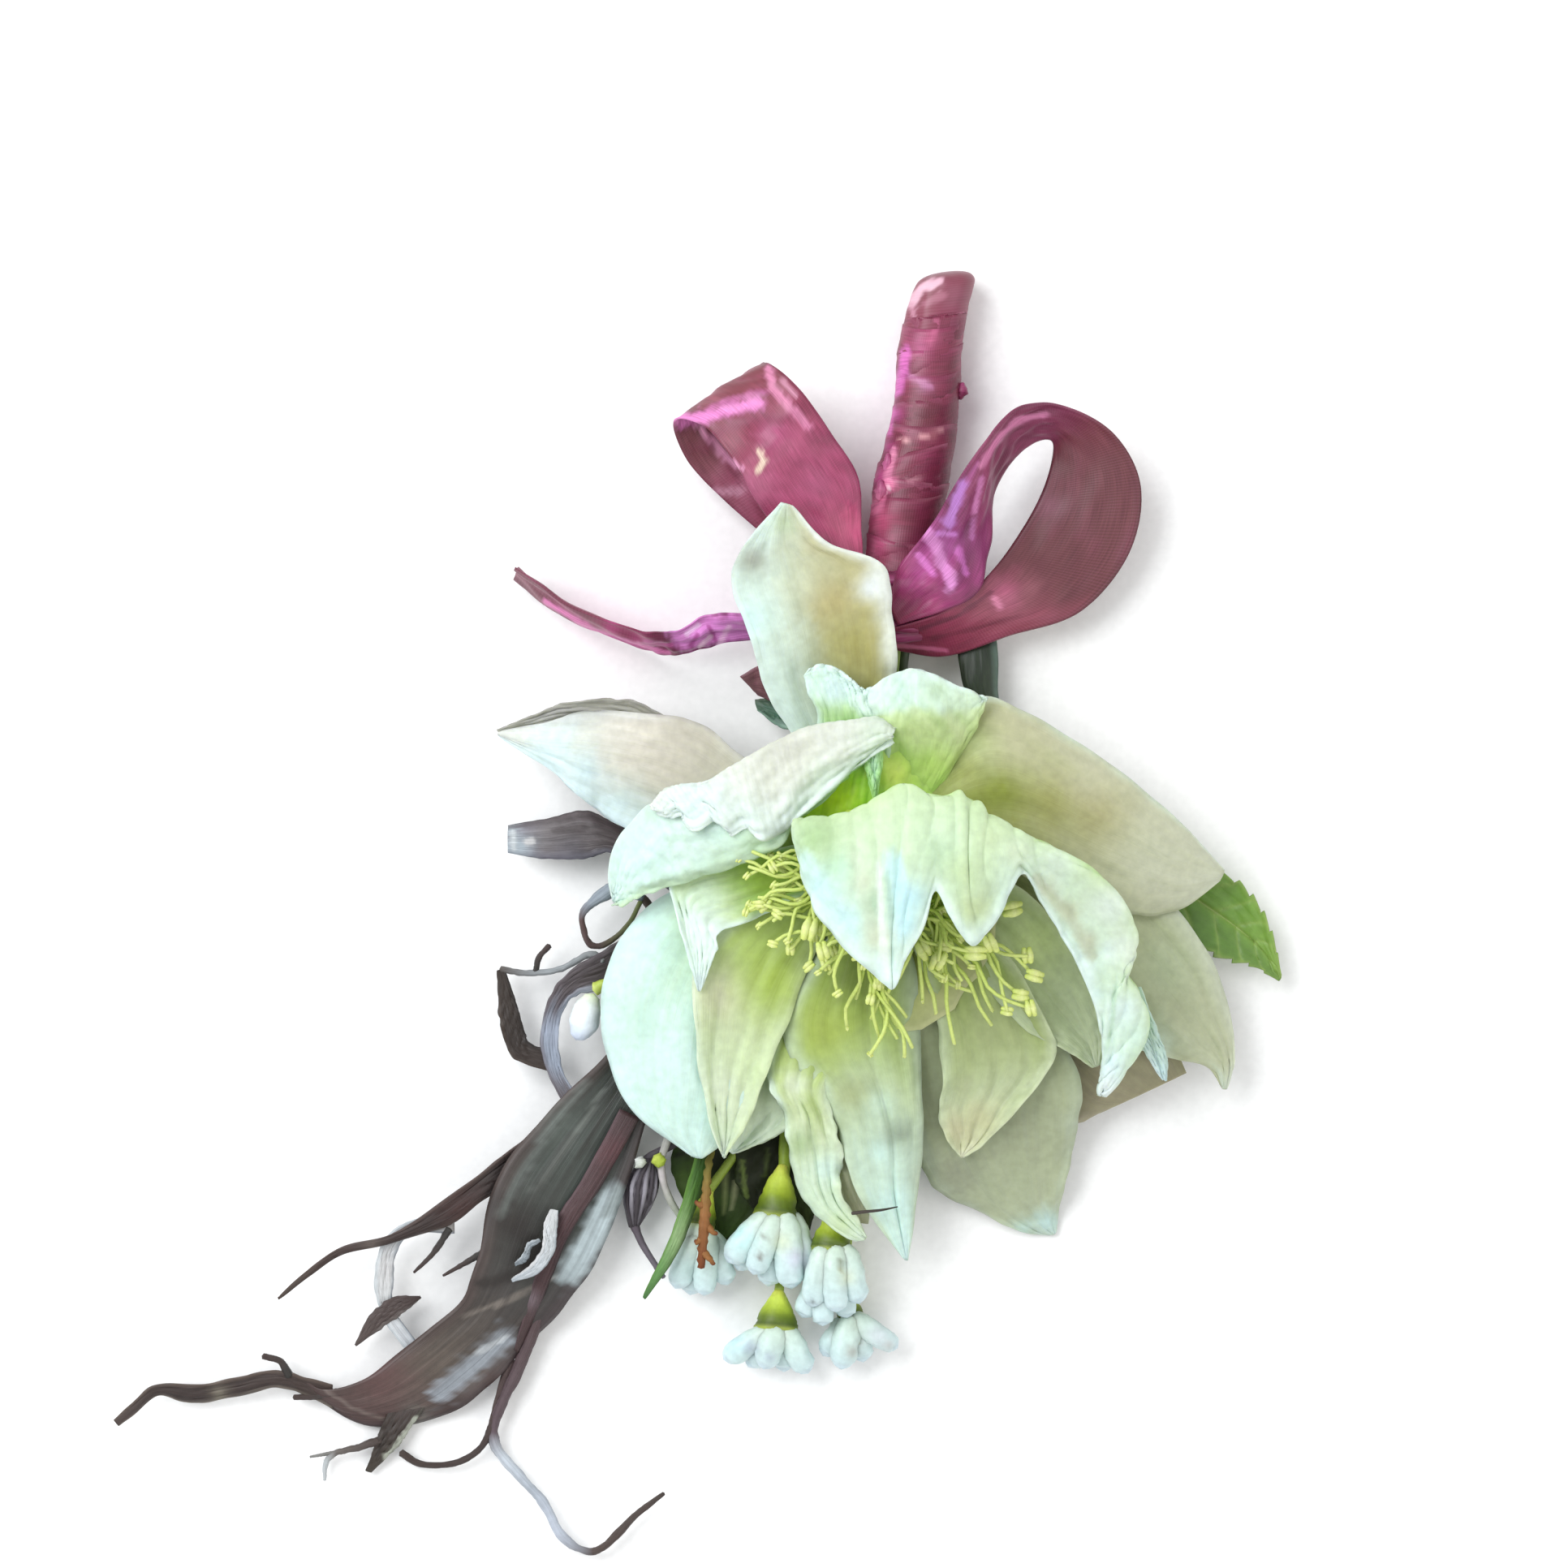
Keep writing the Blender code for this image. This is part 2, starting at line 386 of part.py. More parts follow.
# The bloom: each petal as its two edges from base to tip, with its cup and its ruffle
PETALS = {
    "upper": dict(
        left=[(-8.0, -27, 12), (-14.5, -16, 15.0), (-18.8, -9, 16.6), (-20.6, -2.4, 17.4),
              (-22.9, 4.6, 17.8), (-20.4, 10.0, 17.8), (-16.8, 14.1, 17.6)],
        right=[(-3.0, -26, 12), (-4.6, -13, 15.0), (-2.6, -6.6, 16.4), (-3.0, 0.4, 17.0),
               (-4.4, 6.5, 17.4), (-11.0, 9.2, 17.6), (-15.3, 13.7, 17.6)],
        cup=-1.6, wave=0.4, rows=9),
    "left": dict(
        left=[(-8.0, -25, 12), (-20.5, -16.6, 11.0), (-29, -12.2, 10.6), (-38, -9.9, 9.8),
              (-46, -11.9, 8.2), (-52, -13.9, 6.6)],
        right=[(-9.5, -29, 12), (-25, -29, 9.4), (-34, -26.4, 8.4), (-38.6, -24.4, 8.0),
               (-45, -19, 7.4), (-51.6, -14.6, 6.6)], cup=1.4, wave=0.6, rows=8),
    "right_big": dict(
        left=[(-2.5, -25, 12), (3.5, -14.5, 15.0), (9, -10, 17.0), (22, -17, 15.4),
              (32, -25, 12.0), (37.9, -31.2, 8.6)],
        right=[(0.0, -28, 12), (8, -30, 12.6), (16, -33, 12.0), (25, -36.4, 10.6),
               (31.6, -36.4, 9.2), (37.2, -32.6, 8.4)], cup=1.6, wave=0.4, rows=9, cols=5),
    "top_left": dict(
        left=[(-8.6, -26, 12), (-12.4, -17, 15.6), (-14.4, -10, 17.8), (-13.0, -6.6, 18.6)],
        right=[(-4.0, -25, 12), (-4.8, -17, 16.0), (-5.8, -11, 18.2), (-7.6, -7.2, 18.8)],
        cup=-0.8, wave=0.4, rows=5, cols=3),
    "top_right": dict(
        left=[(-5.0, -25, 12), (-5.2, -17, 16.8), (-5.4, -11, 19.6), (-3.4, -7.0, 20.4)],
        right=[(1.0, -25, 12), (4.6, -17, 16.0), (7.0, -12.4, 18.0), (8.8, -9.9, 18.6)],
        cup=-1.4, wave=0.5, rows=6),
    "top_lip": dict(
        left=[(-4.6, -12.6, 20.2), (-2.0, -12.4, 21.2), (3.0, -12.2, 20.6), (7.4, -12.2, 18.8)],
        right=[(-4.4, -8.2, 20.6), (-0.5, -6.6, 21.0), (4.0, -7.8, 20.2), (8.8, -9.9, 18.6)],
        cup=0.8, rows=5, cols=3),
    "left_front": dict(
        left=[(-5.0, -23.0, 14.0), (-5.6, -13.6, 18.4), (-13.0, -13.8, 19.4), (-20.6, -16.5, 19.2),
              (-26.4, -20.2, 18.0), (-31.6, -21.6, 16.2), (-36.2, -25.8, 14.2), (-38.6, -31.0, 12.6)],
        right=[(-9.0, -27.0, 14.0), (-11.6, -28.6, 16.8), (-15.4, -29.4, 17.4), (-20.4, -31.2, 17.2),
               (-26.0, -32.6, 16.4), (-30.0, -34.0, 15.2), (-34.2, -35.4, 13.6), (-37.4, -35.6, 12.4)],
        cup=1.2, wave=0.9, waves=3, rows=10),
    "small_point": dict(
        left=[(-9.0, -30.0, 13.0), (-20.0, -32.5, 14.4), (-30.0, -36.0, 15.4), (-27.8, -45.2, 15.8)],
        right=[(-8.4, -32.0, 13.2), (-18.0, -35.0, 14.8), (-24.4, -38.6, 16.4), (-26.8, -45.4, 15.8)],
        rows=5, cols=2),
    "hood_left": dict(
        left=[(-9.4, -26.4, 12.5), (-13.5, -24.6, 21.0), (-14.9, -24.6, 27.0), (-15.2, -30.6, 29.2),
              (-12.6, -37.0, 29.6), (-4.0, -45.4, 27.8)],
        right=[(0.0, -25.0, 12.5), (1.6, -22.4, 21.0), (3.4, -21.8, 27.6), (4.4, -27.6, 30.0),
               (2.0, -36.0, 30.2), (-2.6, -45.6, 27.8)], cup=1.4, wave=0.6, rows=10, cols=5),
    "hood_right": dict(
        left=[(-3.0, -25.0, 12.5), (-2.0, -22.8, 21.0), (-1.6, -22.4, 27.2), (1.4, -30.0, 29.4),
              (4.6, -37.6, 29.2), (6.6, -40.5, 28.2)],
        right=[(2.0, -26.0, 12.5), (7.4, -24.4, 20.0), (9.8, -24.4, 26.0), (13.6, -30.4, 27.8),
               (11.0, -36.6, 28.6), (7.6, -40.6, 28.2)], cup=0.9, wave=0.5, rows=10),
    "right_narrow": dict(
        left=[(0.4, -26.0, 12.6), (6.6, -23.4, 23.0), (17, -28.4, 26.4), (24.6, -33.8, 25.4),
              (27.0, -40, 22.8), (26.8, -48, 18.6), (25.6, -55, 14.6), (22.9, -58.8, 12.4)],
        right=[(0.8, -29.0, 12.6), (5.6, -29.0, 22.0), (12.6, -33.6, 24.6), (16.6, -39.0, 23.2),
               (19.0, -45, 20.0), (21.0, -51, 16.8), (22.0, -55.6, 14.0), (22.3, -58.8, 12.4)],
        cup=1.3, rows=10),
    "right_shade": dict(
        left=[(0.0, -29.0, 12.2), (12.0, -33.0, 11.8), (20.0, -42.0, 11.0), (23.6, -51.0, 10.0),
              (22.4, -58.4, 9.2)],
        right=[(-1.0, -31.0, 12.2), (6.0, -42.0, 11.4), (12.4, -51.0, 10.6), (18.4, -57.6, 9.8),
               (20.8, -59.6, 9.2)], cup=-0.8, rows=5, cols=3),
    "right_sliver": dict(
        left=[(24.0, -40.4, 23.2), (27.4, -47.0, 18.4), (29.6, -52.0, 14.6), (31.0, -56.6, 11.6)],
        right=[(22.4, -43.6, 22.0), (25.4, -48.6, 17.6), (28.4, -53.0, 14.2), (30.2, -56.8, 11.6)],
        rows=5, cols=2),
    "right_back": dict(
        left=[(-0.5, -27, 12), (14, -28, 9.6), (28, -32.6, 8.6), (35.2, -40.4, 7.8), (38.6, -49, 6.6),
              (39.1, -54.5, 5.8), (38.2, -58.2, 5.2)],
        right=[(0.0, -31, 12), (9, -38, 9.2), (18, -46, 8.2), (26, -52.4, 7.2), (31.4, -54.4, 6.4),
               (35.8, -55.4, 5.8), (37.6, -58.1, 5.2)], cup=1.2, wave=0.4, rows=8),
    "brown_back": dict(
        left=[(0.5, -31, 11.6), (12, -40, 7.4), (24, -47, 5.2), (30.6, -51.0, 4.2), (33.2, -56.2, 3.4)],
        right=[(-0.5, -34, 11.6), (5, -46, 7.4), (13, -56, 5.2), (18, -62.0, 4.2), (22.2, -61.2, 3.4)],
        cup=0.8, rows=5, cols=3),
    "lower_right": dict(
        left=[(-5.5, -33.0, 11.6), (-1.6, -46, 8.6), (-0.2, -58, 6.4), (1.0, -68.8, 3.8),
              (7.4, -73.0, 1.8), (15.0, -76.1, 0.25)],
        right=[(-1.0, -32.0, 11.6), (13, -45, 8.6), (20.0, -56.5, 6.6), (19.4, -64.8, 4.2),
               (18.0, -71.0, 1.8), (17.2, -75.6, 0.25)], cup=1.0, wave=0.5, rows=9),
    "inner_right": dict(
        left=[(-4.0, -33.4, 13.0), (0.8, -44, 12.4), (2.2, -54, 11.2), (3.0, -62, 9.4), (5.2, -66.4, 8.2)],
        right=[(-0.8, -31.6, 13.0), (13.0, -44.0, 12.8), (18.0, -53.0, 11.4), (12.6, -61.2, 9.6),
               (6.2, -66.4, 8.2)], cup=-1.2, wave=0.5, rows=7),
    "lower_narrow": dict(
        left=[(-7.4, -33.4, 12.6), (-9.0, -46, 12.0), (-8.6, -58, 11.2), (-6.6, -68, 10.4),
              (-4.4, -75.4, 9.4), (-1.6, -79.2, 8.6)],
        right=[(-4.4, -34.0, 12.6), (-0.6, -46, 12.0), (0.6, -58, 11.2), (0.6, -67, 10.4),
               (-0.6, -74.4, 9.4), (-0.9, -79.3, 8.6)], cup=1.3, rows=9, cols=3),
    "lower_ruffled": dict(
        left=[(-8.6, -33.0, 12.4), (-15.6, -46, 11.6), (-18.4, -56, 11.0), (-15.4, -64.4, 10.2),
              (-14.0, -69.6, 9.8), (-10.4, -74.2, 9.4), (-6.4, -76.8, 9.2)],
        right=[(-6.0, -34.0, 12.4), (-7.4, -46, 11.6), (-7.6, -56, 11.0), (-9.2, -64.4, 10.2),
               (-9.0, -69.4, 9.8), (-7.4, -73.2, 9.4), (-5.6, -76.2, 9.2)],
        cup=0.8, wave=0.8, waves=3, rows=9, cols=3),
    "lower_left_back": dict(
        left=[(-9.4, -32.0, 12.0), (-20, -46, 10.4), (-23.5, -56, 9.8), (-24.4, -64.8, 9.0)],
        right=[(-7.6, -33.6, 12.0), (-13, -46, 10.4), (-14.6, -56, 9.8), (-17.6, -63.8, 9.0)],
        cup=-0.8, wave=0.4, rows=5, cols=3),
    "left_round": dict(
        left=[(-9.6, -28.6, 12.0), (-24, -31.2, 12.0), (-34, -36.4, 11.8), (-38.3, -44, 11.4),
              (-38.5, -53, 10.8), (-35.2, -60.8, 10.0), (-27.8, -66.5, 9.2)],
        right=[(-8.6, -31.6, 12.0), (-14, -39, 12.0), (-18, -47, 12.2), (-19.6, -54, 12.0),
               (-20.6, -60.0, 11.2), (-23.4, -64.4, 10.0), (-26.4, -66.7, 9.2)],
        cup=1.5, wave=0.4, rows=10),
    "left_inner": dict(
        left=[(-9.8, -30.4, 13.2), (-20, -35.0, 14.0), (-26.4, -42, 14.6), (-27.2, -52, 14.4),
              (-26.6, -60, 13.2), (-24.2, -66.6, 11.4)],
        right=[(-8.0, -33.0, 13.4), (-14, -40.0, 14.0), (-18, -46, 14.4), (-18.6, -54, 14.2),
               (-21.4, -61.6, 13.0), (-23.4, -66.8, 11.4)], cup=-1.0, wave=0.4, rows=8),
}


def bloom_petals():
    """Every petal sunk into one receptacle."""
    pieces = [ball(RECEPTACLE_CENTRE, RECEPTACLE_RADII, 14, 8)]
    for shape in PETALS.values():
        pieces.append(blade(thick=PETAL_THICK, **shape))
    return fused("bloom_petals", pieces, PETAL_WHITE)


# Stamens: each as the way it points (degrees, 0 along +X), its length and how far it rises
def stamens():
    """A low core ringed with thin filaments, each ending in a longer anther."""
    core = ball(CORE_CENTRE, CORE_RADII, 12, 6)
    pieces = [core]
    spread = ([(angle, 12.0 + 3.2 * ((7 * k) % 5) / 4, 2.6 + 0.9 * (k % 3))
               for k, angle in enumerate(range(196, 262, 9))]
              + [(angle, 13.0 + 2.4 * ((5 * k) % 4) / 3, 1.6 + 0.9 * (k % 3))
                 for k, angle in enumerate(range(268, 344, 9))])
    for angle, length, rise in spread:
        way = np.array((math.cos(math.radians(angle)), math.sin(math.radians(angle)), 0.0))
        root = np.array(CORE_CENTRE) + way * 2.6
        middle = root + way * (0.5 * length - 2.6) + (0, 0, rise * 0.9)
        tip = np.array(CORE_CENTRE) + way * length + (0, 0, rise)
        end = tip + way * 2.0 + (0, 0, -0.5)
        pieces.append(tube([root, middle, tip, 0.5 * (tip + end), end],
                           (0.5, 0.36, 0.38, 0.8, 0.4), 4))
    return fused("bloom_stamens", pieces, STAMEN_YELLOW, level=False)


# Stems in the handle: one in the middle and thinner ones in a ring round it
def stem_path(angle, ring, after):
    """Points of a stem from the handle's end to the knot, then on through the points given."""
    shift = np.array((ring * math.cos(math.radians(angle)), 0.0, ring * math.sin(math.radians(angle))))
    inside = [on_axis(d) + shift for d in (HANDLE_START + HANDLE_LENGTH - STEM_SETBACK, 26.0, 12.0, 4.0, -4.4)]
    return inside + [np.array(p, float) for p in after]


def stem(angle, ring, radius, after, end_radius=None, steps=18):
    """A stem in the handle that goes on through the points given."""
    path = stem_path(angle, ring, after)
    radii = [radius] * len(path)
    if end_radius:
        radii[-1] = end_radius
    return tube(path, radii, steps)


def bloom_stem():
    """The bloom's own stem, ending just under its receptacle."""
    path = [(-3.6, -9.0, 5.4), (-4.2, -18.0, 5.8), (-4.5, -25.0, 7.0), (-4.5, -29.5, 8.2)]
    return fused("bloom_stem", [stem(0, 0.0, BLOOM_STEM_RADIUS, path)], STEM_GREEN)


# The dried sprig: straps as two edges, tendrils as lines with a radius
STRAPS = {
    "broad": dict(
        left=[(-32.0, -46.0, 4.2), (-38.4, -54.0, 5.0), (-46, -61.5, 5.6), (-52, -69.6, 5.6),
              (-54.4, -78.6, 5.0), (-57, -84.8, 4.2), (-63, -90.0, 3.4), (-68, -93.4, 2.8),
              (-72.8, -95.0, 2.4), (-75.6, -94.0, 2.4)],
        right=[(-29.0, -52.0, 4.2), (-33.4, -62.0, 4.6), (-36.4, -71.6, 4.4), (-39.4, -79.0, 3.4),
               (-43.6, -84.6, 2.4), (-48.4, -89.6, 1.4), (-53, -94.4, 0.8), (-58.4, -98.2, 0.4),
               (-67, -99.6, 0.25), (-74.4, -96.0, 1.4)], cup=1.2, wave=0.5, rows=13, cols=3),
    "upper": dict(
        left=[(-43, -58, 7.0), (-48.2, -63.4, 7.4), (-52.6, -67.4, 7.2), (-58.6, -72.0, 6.4),
              (-65, -75.8, 5.6), (-71, -77.4, 4.8), (-75.2, -80.2, 4.0), (-78.8, -83.8, 3.4)],
        right=[(-43, -62, 6.6), (-49, -67.6, 6.6), (-53.4, -71.4, 6.2), (-58.4, -74.8, 5.6),
               (-64.6, -77.4, 4.8), (-70.8, -79.0, 4.0), (-74.4, -81.8, 3.4), (-78.2, -84.4, 3.2)],
        cup=0.4, rows=9, cols=2),
    "ridge": dict(
        left=[(-34, -60, 6.0), (-38.6, -66, 6.8), (-42.4, -73, 6.6), (-47, -79.6, 5.6),
              (-51.4, -85.6, 4.4), (-57, -91.0, 3.2)],
        right=[(-32, -62, 5.2), (-35.6, -68, 5.8), (-39.6, -75, 5.4), (-44.4, -81.6, 4.4),
               (-49.6, -88.0, 3.0), (-56, -93.4, 2.2)], cup=0.8, rows=7, cols=2),
    "long_tip": dict(
        left=[(-72, -94.6, 2.2), (-75.4, -93.6, 2.4), (-79, -92.8, 2.6), (-84, -93.6, 2.6),
              (-89, -94.5, 2.6), (-94, -94.6, 2.8), (-97, -97.0, 2.8), (-99.0, -99.0, 2.6)],
        right=[(-72, -97.6, 1.6), (-75.4, -95.8, 1.8), (-79, -94.9, 2.0), (-84, -96.0, 1.6),
               (-89.4, -96.8, 1.6), (-93.4, -95.8, 2.0), (-96.2, -98.0, 2.2), (-98.4, -99.7, 2.2)],
        rows=9, cols=1),
    "frayed": dict(
        left=[(-64, -97.0, 1.4), (-66.4, -100.4, 1.2), (-67.6, -103.0, 0.9), (-68.2, -105.2, 0.5)],
        right=[(-60, -97.0, 1.4), (-62.4, -101.0, 1.2), (-64.6, -103.4, 0.9), (-67.0, -105.4, 0.5)],
        rows=4, cols=2),
    "pale_arc": dict(
        left=[(-57.0, -73.8, 5.4), (-62.6, -74.4, 4.6), (-66.0, -77.4, 4.0), (-66.8, -82.0, 3.4),
              (-66.0, -86.0, 3.0), (-63.0, -90.4, 2.8)],
        right=[(-57.0, -76.0, 5.2), (-62.2, -76.0, 4.2), (-64.2, -78.4, 3.6), (-64.6, -82.0, 3.2),
               (-64.4, -85.4, 3.0), (-61.6, -89.4, 2.8)], rows=8, cols=1),
    "claw": dict(
        left=[(-61.4, -83.4, 3.0), (-64.4, -83.4, 3.4), (-67.6, -85.4, 3.4), (-69.2, -89.4, 3.0)],
        right=[(-61.4, -84.6, 2.8), (-64.6, -85.2, 2.8), (-66.4, -87.0, 2.8), (-68.4, -89.8, 2.8)],
        rows=5, cols=1),
    "blunt": dict(
        left=[(-25.0, -36.0, 2.6), (-31, -28.6, 3.4), (-37, -25.6, 3.8), (-41, -24.0, 3.8),
              (-45.4, -24.9, 3.6), (-50.4, -25.7, 3.4)],
        right=[(-23.0, -39.0, 2.6), (-31, -33.4, 3.2), (-37.4, -29.2, 3.6), (-41, -29.8, 3.6),
               (-46, -29.8, 3.4), (-50.4, -29.1, 3.2)], cup=0.7, rows=7, cols=3),
    "curved": dict(
        left=[(-29, -40.0, 3.2), (-36, -39.6, 4.4), (-39, -41.4, 5.0), (-43, -43.8, 5.0),
              (-45.6, -47.4, 4.8), (-46.4, -52, 4.4), (-45.6, -56, 4.4), (-43.6, -60.0, 5.0)],
        right=[(-29, -44.0, 3.2), (-35, -45.4, 4.0), (-38.6, -46.0, 4.4), (-41.8, -46.4, 4.4),
               (-43.8, -48.8, 4.2), (-44.2, -52.6, 4.0), (-43.6, -56.2, 4.2), (-41.8, -59.0, 5.0)],
        rows=9, cols=2),
    "hook": dict(
        left=[(-51.8, -43.6, 2.8), (-51.6, -47.4, 3.2), (-51.2, -51.0, 3.4), (-49.6, -54.4, 3.6),
              (-45.4, -56.0, 4.2)],
        right=[(-50.8, -43.4, 2.8), (-49.4, -47.4, 3.2), (-48.4, -50.8, 3.4), (-47.6, -52.6, 3.6),
               (-44.8, -53.4, 4.2)], rows=6, cols=1),
}
TENDRILS = {
    "curl": ([(-33.8, -34.6, 4.6), (-36.4, -33.0, 5.2), (-40.2, -34.8, 5.6), (-41.6, -38.0, 5.4),
              (-40.2, -40.6, 5.2), (-38.2, -40.4, 5.0), (-35.6, -38.0, 4.8), (-33.8, -34.6, 4.6)],
             (0.5, 0.6, 0.5, 0.5, 0.45, 0.45, 0.45, 0.5), 9),
    "curl_root": ([(-30.0, -40.0, 3.2), (-32.0, -37.0, 3.8), (-33.8, -34.6, 4.6)], (0.7, 0.6, 0.5), 2),
    "thread": ([(-51.3, -43.4, 2.8), (-48, -43.9, 3.2), (-44, -43.4, 3.8), (-40.4, -41.6, 4.6),
                (-38.6, -42.4, 4.8)], (0.42, 0.4, 0.4, 0.45, 0.5), 5),
    "thread_hook": ([(-47.0, -43.8, 3.3), (-46.6, -42.0, 3.6), (-45.3, -40.5, 3.8)],
                    (0.4, 0.38, 0.36), 2),
    "hooklet_one": ([(-57.6, -75.4, 5.2), (-59.6, -78.4, 4.8), (-62.0, -80.6, 4.4)],
                    (0.5, 0.4, 0.36), 2),
    "hooklet_two": ([(-53.2, -78.2, 5.0), (-55.6, -79.6, 5.0), (-58.4, -81.2, 4.8)],
                    (0.5, 0.4, 0.36), 2),
    "tip_hook": ([(-77.4, -93.6, 2.4), (-78.4, -91.8, 2.9), (-80.6, -91.1, 3.2)],
                 (0.6, 0.45, 0.38), 3),
    "side_fork": ([(-71.4, -95.6, 2.2), (-74.0, -96.0, 1.8), (-76.8, -96.2, 1.8)],
                  (0.6, 0.45, 0.36), 2),
    "fray_branch": ([(-66.0, -101.4, 1.1), (-69.0, -102.4, 1.2), (-72.8, -103.4, 1.2)],
                    (0.6, 0.45, 0.36), 2),
    "bridge": ([(-63.6, -103.0, 1.0), (-61, -104.4, 1.0), (-57, -104.3, 1.2), (-54, -102.6, 1.4),
                (-52.5, -100.0, 1.6), (-51.6, -96.6, 1.6), (-50.0, -91.6, 1.6)],
               (0.5, 0.42, 0.42, 0.42, 0.5, 0.6, 0.7), 9),
    "tendril": ([(-46.6, -86.0, 2.6), (-48.6, -91.4, 2.4), (-51.0, -96.6, 2.0), (-52.1, -99.6, 1.6),
                 (-51.8, -102.4, 1.4), (-49.0, -105.8, 1.6), (-46.0, -109.2, 1.8),
                 (-43.8, -113.2, 1.8), (-40.8, -115.1, 1.6), (-38.4, -114.4, 1.6),
                 (-34.8, -110.8, 1.8), (-31.2, -108.0, 2.0)],
                (0.9, 0.8, 0.7, 0.65, 0.6, 0.6, 0.6, 0.55, 0.5, 0.48, 0.45, 0.42), 15),
}


def dried_sprig():
    """Every strap and tendril of the dried sprig, joined to its stem under the bloom."""
    path = [(-8.0, -9.0, 2.8), (-13.0, -22.0, 2.2), (-22.0, -36.0, 2.4), (-29.0, -45.0, 3.4),
            (-34.0, -53.0, 4.4)]
    pieces = [stem(180, STEM_RING, STEM_RADIUS, path, 0.9, 16)]
    for shape in STRAPS.values():
        pieces.append(blade(thick=STRAP_THICK, **shape))
    for points, radii, steps in TENDRILS.values():
        pieces.append(tube(points, radii, steps))
    return fused("dried_sprig", pieces, FOLIAGE_BROWN)


# The green leaf at the right, its folded base beside the bow and its stem
LEAF = dict(
    left=[(23.0, -25.0, 3.6), (30.0, -27.6, 4.2), (38.4, -32.0, 4.6), (41.8, -35.2, 4.6),
          (43.8, -39.4, 4.2), (44.9, -44.4, 3.6)],
    right=[(22.0, -27.0, 3.6), (26.0, -33.0, 4.0), (33.0, -39.4, 4.2), (37.6, -42.0, 4.0),
           (41.4, -43.0, 3.8), (44.6, -44.9, 3.6)])
LEAF_BASE = dict(
    left=[(4.6, -2.4, 3.5), (5.0, -6.0, 3.7), (6.0, -9.6, 3.7), (9.4, -13.6, 3.2)],
    right=[(9.2, -2.6, 3.3), (9.4, -6.0, 3.5), (9.6, -9.8, 3.5), (10.8, -13.2, 3.0)])


def green_leaf():
    """A saw-edged blade on a stem whose folded base shows beside the bow."""
    path = [(0.6, -6.6, 2.8), (5.6, -9.0, 2.3), (10.0, -12.0, 2.4), (14.6, -18.0, 2.6),
            (20.0, -24.6, 3.0), (26.0, -28.6, 3.8)]
    pieces = [stem(315, STEM_RING, STEM_RADIUS, path, 0.7, 16),
              blade(thick=LEAF_THICK, cup=-0.9, teeth=0.7, tooth_count=6, rows=12, cols=4, **LEAF),
              blade(thick=LEAF_THICK, rows=5, cols=2, **LEAF_BASE)]
    return fused("green_leaf", pieces, LEAF_GREEN)


# Florets: top of the tube, middle of the mouth, spread and number of the fingers, calyx radius
FLORETS = {
    "floret_far_left": ((-26.8, -74.2, 3.0), (-28.0, -82.0, 2.9), 2.9, 5, 1.8),
    "floret_left": ((-17.9, -73.8, 5.4), (-20.4, -81.6, 5.7), 4.6, 6, 2.4),
    "floret_right": ((-10.6, -78.0, 6.0), (-11.2, -83.8, 6.0), 3.4, 6, 2.3),
    "floret_low_left": ((-17.8, -88.2, 2.9), (-18.4, -92.2, 2.9), 5.1, 6, 2.2),
    "floret_low_right": ((-7.6, -86.8, 2.4), (-6.8, -91.2, 2.6), 4.6, 6, 1.5),
}
CALYX_LENGTH = 5.0


def finger_floret(name, top, mouth, spread, count):
    """A short tube that divides into blunt fingers."""
    top = np.array(top, float)
    mouth = np.array(mouth, float)
    axis = (mouth - top) / np.linalg.norm(mouth - top)
    sideways = np.cross(axis, (0, 0, 1.0))
    sideways /= np.linalg.norm(sideways)
    upward = np.cross(sideways, axis)
    pieces = [tube([top + axis * 0.4, top + axis * 1.6, top + axis * 3.4], (1.5, 1.9, 1.7), 3, 2)]
    for k in range(count):
        turn = 2 * math.pi * k / count
        out = sideways * math.cos(turn) + upward * math.sin(turn) * 0.34
        start = top + axis * 1.2 + out * 0.5
        middle = 0.5 * (top + mouth) + out * spread * 0.52
        end = mouth + out * spread * (0.85 + 0.15 * math.cos(5 * k))
        pieces.append(tube([start, middle, end, end + axis * 0.9], (0.9, 1.25, 1.2, 0.6), 3))
    return fused(name, pieces, FLORET_WHITE, level=False)


